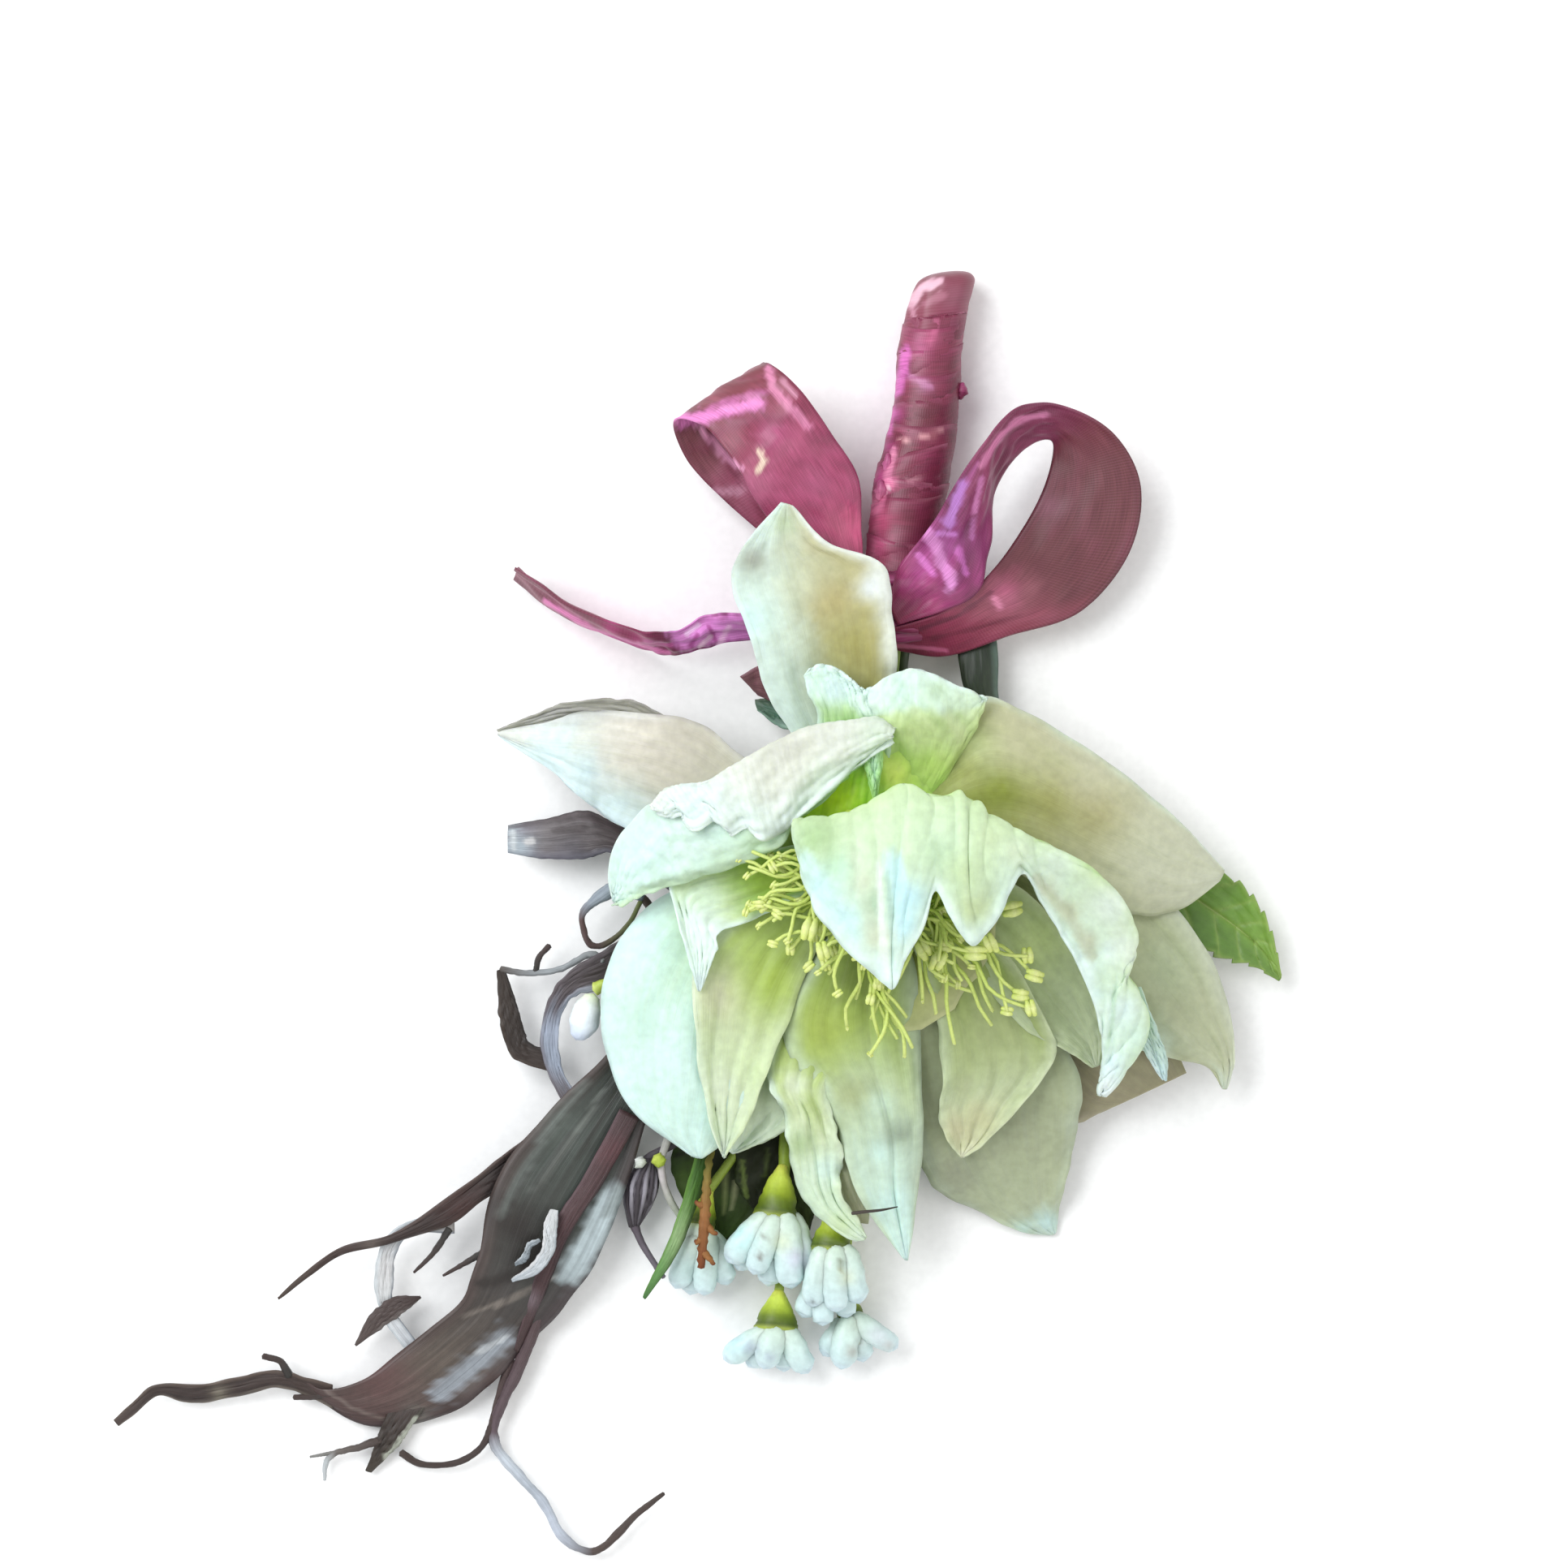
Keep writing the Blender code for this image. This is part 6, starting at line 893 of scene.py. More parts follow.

# The bow, one tied ribbon: each run's colours from the knot on, how it is crumpled and its patches.
# The patches and streaks are painted highlights in pink and lilac and painted shade in dark wine, and
# the stops darken as painted shade where the inside of a loop shows.
RIBBON_RUNS = {
    "left_loop": dict(lines=LEFT_LOOP, rows=150, cols=26, crumple=(0.5, 0.35), seed=21, stops="""0 #b03a68,
        0.12 #a83e68, 0.3 #9c3f62, 0.42 #8c3850, 0.52 #7c343e, 0.58 #6c3438, 0.63 #744448, 0.72 #804850,
        0.8 #8a4658, 1 #8a3450""", patches="""-25 27 1.6 #8e4856 0.7, -12.6 16.4 2.2 #b45a80 0.6,
        -17.6 22.6 1.8 #a8487c 0.5, -9.4 10.4 2.4 #d8688e 0.8, -20 16.4 2.2 #cc7698 0.6,
        -16 21.6 2.4 #c26488 0.6""", streaks="""-24.4 22.8 -20.6 24.6 -17 24.2 0.8 #843a54 0.6,
        -29.2 24.2 -26.2 24.5 -22.8 25.6 -19.4 26.3 0.75 #f090d6 0.9,
        -25.2 25.8 -21.6 27 -18.8 27.6 0.45 #cc74ae 0.6,
        -27.2 23.6 -25.4 21.8 -23.6 19.6 -21.6 18.2 0.32 #f8b0d6 0.9,
        -18.2 30.4 -17.9 28.2 -15.9 26.2 -13.4 23.4 0.5 #ec98c0 0.75,
        -16.6 29.2 -14.8 27.2 0.3 #f0b0cc 0.6, -19.5 20.4 -18.8 19.2 -19.5 18.1 0.42 #f4e2c8 0.95,
        -24.8 15.4 -21.6 15.5 0.55 #cc96ac 0.7, -8.2 12.6 -6.6 8.6 1.1 #e0608e 0.6"""),
    "right_loop": dict(lines=RIGHT_LOOP, rows=190, cols=28, crumple=(0.8, 0.22), seed=22, stops="""0 #8c1c48,
        0.08 #97306a, 0.2 #953a74, 0.32 #87345a, 0.44 #85395a, 0.52 #763c44, 0.58 #68383a, 0.74 #66383a,
        0.84 #944458, 0.92 #9a3456, 1 #7c183e""", patches="""3 9 2.4 #b458a8 0.7, 0.8 6 1.8 #b85098 0.7,
        16.6 13.6 1.7 #9c6c7c 0.6, 10.8 2.8 1.8 #bc6484 0.7, 21.6 12 4 #683c3e 0.5,
        14 3.6 1.6 #9c5c68 0.6""", streaks="""4.9 3.8 6.2 8 6.4 11.6 0.45 #7c2860 0.7,
        0.2 9.2 2.2 9.6 0.4 #7c2860 0.5, 1.2 10.8 2.4 8.4 3.4 6 4.2 4 0.75 #f0a0e6 0.85,
        3.8 11.4 4.8 14.4 5.6 16.4 0.65 #dc98f6 0.9, 2.6 10.4 4.6 10.2 0.4 #e090e8 0.8,
        0.2 7.6 2 5.2 0.45 #ea88dc 0.8, 5 8.2 6 5.4 0.4 #dc78d0 0.7, 6.7 9.6 6.9 12.2 0.3 #cc7cc0 0.7,
        7 13 7.8 17 0.35 #e890d0 0.8, 6 16.6 7.4 19 0.3 #c86cb0 0.6,
        7.8 18.6 9 20.6 10.4 22.6 12.6 24.5 15.6 24.9 0.42 #ee94c4 0.8, 9.4 2.2 10.2 1.2 0.4 #e890b4 0.8,
        0.4 -1.4 5 0.2 9 3 0.3 #5c1a34 0.7, 2 -2.6 7 -1.4 12.6 0.2 0.3 #6c2038 0.6,
        -2.6 -3.4 0.4 -3.7 3.6 -4.1 0.28 #f080b0 0.8"""),
    "left_tail": dict(lines=LEFT_TAIL, rows=130, cols=26, crumple=(1.15, 0.9), seed=23,
        stops="0 #8f2c62, 0.25 #94387c, 0.5 #8c2e60, 0.75 #84324e, 1 #743a48",
        patches="-34.5 -3.2 1.2 #d04a94 0.6, -37.6 -1.4 1.2 #c84a90 0.6, -48.6 5.4 1.2 #8c5060 0.6",
        streaks="""-28.8 -2 -26 -1.6 -21 -1.4 1.9 #f098e8 0.92, -27.9 -3.4 -27.1 -2.2 0.3 #a83c90 0.8,
        -25.7 -1.2 -24.9 -2.8 0.28 #a83c90 0.8, -28.4 -2 -27 -1 0.35 #ffd8ff 0.9,
        -26.8 -3.6 -25.6 -2.4 0.32 #ffd8f4 0.9, -24.4 -3.4 -23.2 -1.2 0.35 #ffc8f4 0.9,
        -45.8 2 -39.8 -1.6 -35 -3.3 -30.6 -4.4 0.38 #fa90d0 0.85, -33.4 -3 -30.4 -3.4 0.35 #d868b0 0.7"""),
    "short_tail": dict(lines=SECOND_TAIL, rows=50, cols=16, crumple=(0.3, 0.3), seed=24,
        stops="0 #8a4854, 0.7 #82585c, 1 #846064", patches="", streaks=""),
}


def ribbon_run(lines, rows, cols, crumple, seed, stops, patches, streaks):
    """One run of the ribbon between its two edge lines.

    Off the straight rows it is moved by crumple * (sharp folds - their mean) * (1 - side^6 / 2), with
    soft waves under them; crumple goes from its first value to its second near the middle of the run.
    Each margin has a sewn edge, a ridge of 0.1 mm at 0.94 of the half width.
    """
    points, side, along, face, _ = loft(tables(lines), rows, cols)
    width = np.linalg.norm(points[:, -1] - points[:, 0], axis=1)[:, None]
    length = np.linalg.norm(np.diff(points.mean(axis=1), axis=0), axis=1).sum()
    run = along * length
    normal = unit(np.cross(np.gradient(points, axis=1), np.gradient(points, axis=0)))
    folds = crumpled(side * width / 13, run / 8, seed, 6) - 0.5
    soft = uneven(side * 0.6, run / 13, seed + 9)
    ends = step_up(0.0, 0.06, along)
    depth = crumple[0] + (crumple[1] - crumple[0]) * step_up(0.38, 0.5, along)
    lift = depth * (1.5 * folds + 0.55 * soft) * (1 - 0.5 * side**6) * ends
    lift = lift + 0.1 * np.exp(-((np.abs(side) - 0.94) / 0.035) ** 2)
    points = points + normal * lift[..., None]
    tint = coloured(stops, along + 0.02 * soft)
    # Painted highlight on the crests of the folds, painted shade in their hollows, and a darker line along
    # each margin.
    crest = step_up(0.02, 0.22, folds + 0.1 * uneven(side * 3, run / 4, seed + 2))
    tint = tinted(tint, 0.35 * crest * depth, "#c4608c")
    tint = tinted(tint, 0.5 * step_up(0.03, 0.2, -folds) * depth, "#4c1228")
    tint = tinted(tint, 0.3 * np.exp(-((np.abs(side) - 0.97) / 0.05) ** 2), "#4f1c30")
    tint = streaked(patched(tint, points, patches, seed), points, streaks, seed)
    return shell(points, side, along, tint, RIBBON_THICK, 0.2)


def on_axis(distance):
    """Points of the stems' centre line, at distances from the knot towards the handle's end."""
    distance = np.asarray(distance, float)
    share = np.maximum(distance / (HANDLE_START + HANDLE_LENGTH), 0.0)
    height = AXIS_HEIGHT_KNOT + (AXIS_HEIGHT_END - AXIS_HEIGHT_KNOT) * share
    return np.stack([KNOT[0] + AXIS_SLOPE * distance, KNOT[1] + distance, height], axis=-1)


def knot_band():
    """The gathered ribbon round the stems: a closed ring whose outline is a row of uneven folds."""
    turn, share = np.meshgrid(np.linspace(0, TURN, 97), np.linspace(-1, 1, 41))
    distance = share * (KNOT_HALF_LENGTH + 0.4)
    folds = np.abs(np.sin(np.pi * (3.2 * share + 0.35 * np.sin(turn + 1.0) + 0.2 * np.sin(2 * turn))))
    radius = KNOT_RADIUS - 0.3 - 0.4 * (1 - folds) ** 1.5 - 0.9 * np.abs(share) ** 8
    radius = radius + 0.12 * uneven(np.cos(turn), share * 2, 31) + 0.05
    flat_side = np.where(np.sin(turn) < -0.75, 0.97, 1.0)
    centre = on_axis(distance)
    across = (radius * np.cos(turn))[..., None] * np.array((1.0, 0.12, 0.0))
    points = centre + across + (radius * flat_side * np.sin(turn))[..., None] * np.array((0.0, 0.0, 1.0))
    # Darker in the hollows of the folds and lighter on their crests: painted shade and painted highlight. One
    # patch is a painted pink highlight, the other a darker wine.
    tint = coloured("0 #5a1434, 0.6 #8a2456, 1 #a83a78", folds)
    tint = patched(tint, points, "-0.6 3.6 1.8 #c85aa8 0.6, 1.2 -2 1.8 #8c2c54 0.8", 33)
    return shell(points[:, ::-1], 2 * turn[:, ::-1] / TURN - 1, 0.5 * share + 0.5, tint[:, ::-1], 0.3, 0.0)


bow = [*(ribbon_run(**run) for run in RIBBON_RUNS.values()), knot_band()]
bow_piece = make_piece("bow_ribbon", bow, SATIN_RIBBON, ["ribbon_bow"])

# The handle in the view: how far along, how far the middle stands to one side, and its radius, mm
HANDLE_OUTLINE = np.array([(3.0, -0.4, 4.4), (12.0, -0.7, 4.55), (16.8, -0.7, 4.7), (22.6, -0.35, 4.15),
                           (27.0, -0.5, 3.95), (31.6, -1.1, 3.95), (36.9, -0.9, 3.8), (40.0, -0.5, 3.85)])


def handle_place(distance, radius_share, turn, inset):
    """A point on the wound handle: its centre line bends as HANDLE_OUTLINE says."""
    centre = on_axis(distance)
    centre[..., 0] += np.interp(distance, HANDLE_OUTLINE[:, 0], HANDLE_OUTLINE[:, 1])
    radius = np.interp(distance, HANDLE_OUTLINE[:, 0], HANDLE_OUTLINE[:, 2]) * radius_share - inset
    centre[..., 2] -= 0.4
    side = (radius * np.cos(turn))[..., None] * np.array((1.0, 0.12, 0.0))
    return centre + side + (0.94 * radius * np.sin(turn))[..., None] * np.array((0.0, 0.0, 1.0))


def wound_ribbon():
    """The ribbon as it is really wound: one long strip in a helix whose turns overlap.

    A point at w across the strip after t turns lies at distance start + pitch * t + w, and its radius
    grows by 0.03 mm for each millimetre of w, so each turn's far edge lies on the next turn.
    """
    pitch = (HANDLE_LENGTH - 4.5) / HANDLE_TURNS
    turns = HANDLE_TURNS - 0.4
    rows = int(turns * 60)
    side, along = np.meshgrid(np.linspace(-1, 1, 19), np.linspace(0, 1, rows + 1))
    across = (0.5 * side + 0.5) * RIBBON_WIDTH
    turn = along * turns * TURN
    lean = 0.8 * np.cos(turn) + 0.5 * np.cos(2 * turn + 1.0) + 1.6 * uneven(turn / 7, 0.3, 42)
    distance = HANDLE_START - 7.0 + pitch * along * turns + across + lean
    distance = np.clip(distance, 1.0, HANDLE_START + HANDLE_LENGTH - 5.2)
    inset = 0.03 * (RIBBON_WIDTH - across)
    wrinkle = 0.14 * uneven(across / 4.0, turn / 2.2, 41)
    wrinkle = wrinkle + 0.16 * (crumpled(across / 1.8, turn / 1.1, 48) - 0.5)
    points = handle_place(distance, 1.0, turn, inset - wrinkle)
    edge = step_up(0.55, 1.0, side)
    tint = coloured("0 #6e2436, 0.5 #84304a, 1 #94405c", 0.5 + 0.5 * uneven(side, turn / 2, 43))
    # Painted light on the strip: a broken highlight line near its outer edge, painted shadow where it tucks
    # under the turn before, and a little lighter towards the raised outer edge.
    edge_highlight = step_up(-0.2, 0.7, uneven(turn / 3, 0.6, 49))
    tint = tinted(tint, 0.5 * edge_highlight * np.exp(-((side - 0.93) / 0.05) ** 2), "#c47c94")
    tint = tinted(tint, 0.3 * (1 - step_up(0.2, 0.5, side)), "#4c1028")
    tint = tinted(tint, 0.12 * edge, "#a04c7c")
    # Patches and streaks: painted highlights in pink and lilac, and painted shade in dark wine along the
    # creases.
    patches = """0.4 33.4 1.2 #b84a84 0.7, 1 28.4 0.9 #b07a9c 0.6, -2.6 25 0.9 #d060b0 0.6,
        -3.6 21 0.8 #c04a94 0.6, 1 24.8 2.2 #5c2028 0.85, 2 22.4 0.6 #b8787c 0.6, -4.4 17 1.2 #d85aa0 0.8,
        -5 12 1.6 #d85a88 0.7, 2 14 2.6 #702c38 0.6, 1.8 34.6 1.2 #c8608a 0.6, -4.8 8.6 1.4 #c0487a 0.6"""
    streaks = """-1.4 32.6 -1.7 30.6 -2.3 27.6 0.6 #ee7cd4 0.75, -0.6 29.6 1.6 28.4 0.35 #cc88b4 0.7,
        -2.3 21.5 0.8 22.2 3.2 22.9 0.16 #e4a8ac 0.9, -2.6 20 2.8 20.8 0.3 #6c2434 0.6,
        -3.2 16.6 2.6 17.2 0.18 #d090a0 0.6, -2.9 25.4 -3.4 22.4 0.4 #e070c0 0.7,
        -5.2 13.2 -4.4 15.4 -3.2 16.6 0.7 #fa90ba 0.85, -3.6 17.2 -2.8 20.4 0.45 #f49cc0 0.8,
        -4.4 15.2 -3.4 16 0.22 #ffdce8 0.9, 1.6 33.6 2.4 36.4 0.4 #d8749c 0.5"""
    tint = streaked(patched(tint, points, patches, 44), points, streaks, 45)
    return shell(points, side, along, tint, RIBBON_THICK, 0.2)


def folded_end():
    """The ribbon's last run, folded over the cut ends: a dome whose radius closes as a flat oval.

    Its outline is radius * (1 - s^3.2)^(1/2.2) over the last 9 mm, with one long crease.
    """
    turn, share = np.meshgrid(np.linspace(0, TURN, 65), np.linspace(0, 1, 37))
    distance = HANDLE_START + HANDLE_LENGTH - 9.5 + 9.6 * np.sin(0.5 * np.pi * share)
    closing = (1 - np.sin(0.5 * np.pi * share) ** 16.0) ** 0.45
    crease = 0.35 * np.exp(-((turn - 2.1 - 0.5 * share) / 0.2) ** 2)
    crease = crease + 0.2 * np.exp(-((turn - 1.2) / 0.25) ** 2)
    wrinkle = crease * (0.4 + 0.6 * share) - 0.12 * uneven(np.cos(turn), share * 2, 45)
    points = handle_place(distance, 0.98 * closing, turn, wrinkle * closing - 0.02)
    tint = coloured("0 #8a2f4e, 0.5 #84404e, 1 #743a44", share)
    # The streaks are painted highlights on the dome, the patches a lighter and a darker wine.
    patches = "4.6 39.6 1.8 #96586c 0.6, 4 36 1.8 #84405c 0.5"
    streaks = """-0.5 38.6 0.6 40.4 2.8 41.3 0.55 #f0c4d4 0.9, -0.7 38.4 -0.2 36.6 0.35 #d49cb0 0.7,
        1.2 38.6 3.2 39.6 0.5 #c48498 0.5"""
    tint = streaked(patched(tint, points, patches, 46), points, streaks, 47)
    return shell(points, 2 * turn / TURN - 1, share, tint, RIBBON_THICK, 0.0)


def loose_nub(distance, aside, height, radii, colour):
    """A small loose pucker of the ribbon that stands off the handle."""
    middle = on_axis(distance) + (aside, 0.0, height)
    way = np.array((0.15, 1.0, 0.1)) * radii[1]
    return tube([middle - way, middle, middle + way], (0.3 * radii[0], radii[0], 0.4 * radii[0]),
                f"0 {colour}, 1 #a04070", 10, 12, knobbly=0.3, seed=47)


# The two nubs on the left side are bright pink: painted highlight on the puckers.
handle = [wound_ribbon(), folded_end(), loose_nub(26.6, 3.7, 0.4, (0.7, 1.0), "#7c2848"),
          loose_nub(14.4, -4.4, 2.5, (0.8, 1.2), "#f490ba"),
          loose_nub(17.8, -4.1, 2.4, (0.6, 1.1), "#e482b4")]
handle_piece = make_piece("handle_ribbon", handle, SATIN_RIBBON, ["handle_wrap"])

# The dried sprig: each strap's colours and patches, tendrils with theirs. The pale blue-grey and white
# stops, patches and streaks are painted highlights, the sheen of the dried skin.
BROWN = "0 #33332f, 0.3 #3f3a36, 0.6 #4a3c38, 1 #4c3a36"
STRAP_LOOKS = {
    "broad": dict(stops="0 #2c2f2c, 0.25 #465049, 0.45 #4a4643, 0.65 #70645a, 0.85 #6a5450, 1 #5c4644",
        margins="#5a4844 0.2, #54474a 0.25", curl=(0.8, 1), patches="""-66 -93.4 3.4 #7c5454 0.6,
        -58 -97.2 2 #463430 0.7, -52.4 -93.8 1.3 #4c3430 0.7, -44 -62.6 2.4 #6c7870 0.6,
        -49.5 -75 2.8 #1e1610 0.9, -52 -72.6 2 #2c231e 0.7, -46.6 -79 2.4 #140e08 0.9,
        -62 -98.6 1.6 #8c948a 0.5""", streaks="""-37.6 -71.6 -39.4 -76 -42.6 -80.6 1.7 #dceef2 0.92,
        -36.8 -70.4 -38.2 -73.6 0.5 #8a9694 0.7, -50.8 -88.9 -54 -91.6 -58.8 -95.6 1.25 #bcc6d0 0.88,
        -51 -88.8 -54.4 -90.7 0.35 #f4fbff 0.85, -41 -57.6 -45 -62.6 -49 -69 -51.4 -73.6 0.45 #88928c 0.65,
        -38.8 -58.6 -43.2 -65.2 -47.4 -71 0.3 #98a098 0.6, -36.6 -57.4 -41.4 -66.4 0.35 #26281f 0.6,
        -42.6 -63.6 -46.4 -70.4 0.5 #2c2c26 0.5, -46.4 -79.6 -50 -81.4 -54 -82.2 0.7 #1e1610 0.8,
        -45 -81.4 -50.4 -84.2 -55.6 -86 0.28 #988e84 0.7,
        -73 -95.2 -69.6 -97.4 -66 -98.7 -61.6 -98.6 0.24 #a09088 0.6"""),
    "upper": dict(stops="0 #2c2624, 0.4 #352724, 0.7 #47332e, 1 #5a4a40",
        margins="#6a5650 0.2, #7d7068 0.25", curl=(0.5, -0.3),
        patches="-56 -73 3 #4a221e 0.7, -67 -78.2 1.2 #a89c90 0.5"),
    "ridge": dict(stops="0 #54383c, 0.5 #5a3a3e, 1 #4e3a3a", margins="#745a60 0.25, #3c2c2e 0.25",
        curl=(0.3, 0.2), patches="-37.6 -66 2 #744048 0.6, -47.6 -84 1.2 #9c8c94 0.6"),
    "long_tip": dict(stops="0 #4a3a34, 0.6 #3e302c, 1 #5a4a44", margins="#6c5c52 0.25, #8a8074 0.25",
        curl=(0.3, 0.2), patches="-86 -95.8 1 #a8a08c 0.6"),
    "frayed": dict(stops="0 #4c3c38, 0.4 #3c3028, 1 #484034", margins="#3a3028 0.3, #5c5a4e 0.2",
        curl=(0.2, 0.2), patches="", streaks="""-61.8 -98.8 -63.4 -101.2 -65.4 -103.4 0.4 #d4dac8 0.9,
        -64.6 -99 -66.6 -103.4 0.2 #2a211a 0.8"""),
    "pale_arc": dict(stops="0 #a09c98, 0.2 #dce4ea, 0.5 #ffffff, 0.75 #fcffff, 1 #eef4fa",
        margins="#f0fafe 0.3, #a8b4c0 0.2", curl=(0.2, 0.2), patches=""),
    "claw": dict(stops="0 #4c3c3a, 1 #6a5c58", margins="#5c4c4a 0.3, #8c8480 0.3", curl=(0.2, 0.1),
        patches=""),
    "blunt": dict(stops="0 #3a3230, 0.4 #584c4e, 0.6 #7c7476, 0.8 #8c8688, 0.95 #9c98a4, 1 #d8e6ee",
        margins="#5c5254 0.3, #7c7c8c 0.25", curl=(-0.6, 0.5),
        patches="-49 -28.4 1.6 #d2e2ec 0.9, -43 -29 2 #6c6a78 0.5",
        streaks="""-48 -27.7 -47.5 -27.6 0.4 #ffffff 1, -44.8 -26.4 -40.6 -26 0.35 #4c4042 0.6,
        -49.8 -26.6 -49.6 -28.6 0.35 #f4fcff 0.9"""),
    "curved": dict(stops="0 #33302e, 0.25 #4a3f40, 0.5 #6c6268, 0.75 #b9c6da, 1 #7c7478",
        margins="#6c6268 0.3, #d3def0 0.3", curl=(0.3, 0.3),
        patches="-45 -51 1.5 #cfdcf2 0.7, -44.2 -55 1.2 #c6d4ea 0.6"),
    "hook": dict(stops="0 #362a20, 0.6 #2c2018, 1 #3c2e26", margins="#44362c 0.25, #1e1612 0.3",
        curl=(0.2, 0.2), patches=""),
}
# The pale blue-white bands are painted highlights on the tendrils.
TENDRIL_LOOKS = {
    "curl": "0 #8c98a4, 0.12 #b4c4d0, 0.3 #a8b4c0, 0.42 #6a504e, 0.7 #5a4644, 1 #7c8c4a",
    "fray_branch": "0 #4c3c36, 0.5 #7c746e, 0.75 #dfe6e8, 1 #e8eef0",
    "fray_thread": "0 #8c8a84, 1 #a8a8a4",
    "thread": "0 #6a625c, 0.4 #b8c0c4, 1 #a0a4a4",
    "bridge": "0 #4c3c36, 0.5 #443430, 1 #5a4644",
    "tendril": "0 #5a4446, 0.3 #6c5a62, 0.4 #e8f2fc, 0.5 #ccd6e2, 0.62 #e6f0ff, 0.76 #5c4c46, 1 #4c3e36",
}


def strap(lines, cup, wave, stops, margins, curl, patches, seed, streaks=""):
    """One dried strap between its edge lines.

    Off the straight rows it is moved by cup * (1 - side^2) + wave * side^2 * sin(3 waves)
    + curl at each margin + ribs of 0.16 mm, |sin| of side, that wander along it and are weaker where
    it is narrow.
    """
    points, side, along, face, outward = loft(tables(lines), 84, 22)
    swell = np.sin(np.pi * np.clip(along, 0, 1)) ** 0.7
    ribs = np.abs(np.sin(np.pi * (4.6 * side + 1.1 * uneven(side * 0.4, along * 1.3, seed))))
    rough = np.clip(np.linalg.norm(points[:, -1] - points[:, 0], axis=1)[:, None] / 5.0, 0.15, 1.0)
    lift = cup * (1 - side**2) + wave * side**2 * np.sin(TURN * (3 * along + 0.2 * side))
    lift = lift + (curl[0] * step_up(0.5, 1.0, -side) + curl[1] * step_up(0.5, 1.0, side)) * rough
    lift = lift + (0.16 * ribs + 0.22 * uneven(side * 0.8, along * 3.0, seed + 1)) * rough
    wander = 0.25 * uneven(side * 0.2, along * 5, seed + 2) * side * rough
    points = points + face * (lift * swell)[..., None] + outward * (wander * swell)[..., None]
    tint = coloured(stops, along + 0.06 * uneven(side * 2, along, seed + 3))
    for (colour, width), edge in zip(table(margins), (-side, side)):
        tint = tinted(tint, 0.8 * step_up(1 - 2 * width, 1.0, edge), colour)
    tint = streaked(patched(tint, points, patches, seed), points, streaks, seed)
    streak = 0.5 + 0.5 * uneven(side * 5.5, along * 0.8, seed + 4)
    tint = tint * (1 - (0.28 - 0.4 * streak * (0.5 + 0.5 * ribs)) * rough**0.5)[..., None]
    return shell(points, side, along, tint, STRAP_THICK, 0.4)


def stem_path(angle, ring, after):
    """Points of a stem from the handle's end to the knot, then on through the points given."""
    shift = np.array((ring * math.cos(math.radians(angle)), 0.0, ring * math.sin(math.radians(angle))))
    start = HANDLE_START + HANDLE_LENGTH - STEM_SETBACK
    inside = [on_axis(d) + shift for d in (start, 26.0, 12.0, 4.0, -4.4)]
    return inside + [np.array(p) for p in table(after)]


def stem(angle, radius, after, end_radius, stops, seed):
    """A stem in the handle that goes on through the points given."""
    path = stem_path(angle, STEM_RING, after)
    return tube(path, [radius] * (len(path) - 1) + [end_radius], stops, 90, 12, knobbly=0.06, seed=seed)


dried = [stem(180, STEM_RADIUS, "-8 -9 2.8, -13 -22 2.2, -22 -36 2.4, -29 -45 3.4, -34 -53 4.4", 0.9,
    BROWN, 51)]
for number, (strap_name, looks) in enumerate(STRAP_LOOKS.items()):
    outline = dict(cup=0.25, wave=0.15) | STRAPS[strap_name]
    dried.append(strap(seed=60 + number, **outline, **looks))
for number, (tendril_name, rows) in enumerate(TENDRILS.items()):
    path, looks = np.array(table(rows)), TENDRIL_LOOKS.get(tendril_name, BROWN)
    dried.append(tube(path[:, :3], path[:, 3], looks, len(path) * 9, 9, knobbly=0.14, seed=80 + number))
# A pale flake that stands on the broad strap, white and grey-blue: a painted highlight of the strap's sheen
dried.append(strap("""-45.2 -73 7.4, -46 -75 7.8, -46.2 -77.4 7.8, -47.4 -79.6 7.4, -50 -81.6 6.8;
    -44.2 -73.2 7.4, -44.4 -75.6 7.6, -44.8 -78.2 7.4, -46.6 -80.8 7.2, -49.8 -82 6.8""", 0.2, 0.2,
    "0 #fcffff, 0.5 #f4fbff, 1 #dce6ee", "#ffffff 0.3, #b4c0c8 0.2", (0.3, 0.2), "", 99))
dried.append(strap("""-46.6 -76.6 7, -48 -77.2 7.2, -48.6 -78.6 7, -49.6 -79.6 6.6; -46.4 -77 6.9,
    -47.6 -77.8 7, -48 -79.2 6.9, -49.4 -80 6.5""", 0.1, 0.1, "0 #c9d6de, 1 #9aa6ae",
    "#e6eef2 0.3, #7c868e 0.3", (0.2, 0.2), "", 98))
make_piece("dried_straps", dried, DRIED_STRAP, ["dried_sprig"])

# The green leaf at the right, its stem, and the dark folded leaf base beside the bow
LEAF_STOPS = "0 #5f8a2e, 0.5 #76a03e, 1 #86a84a"


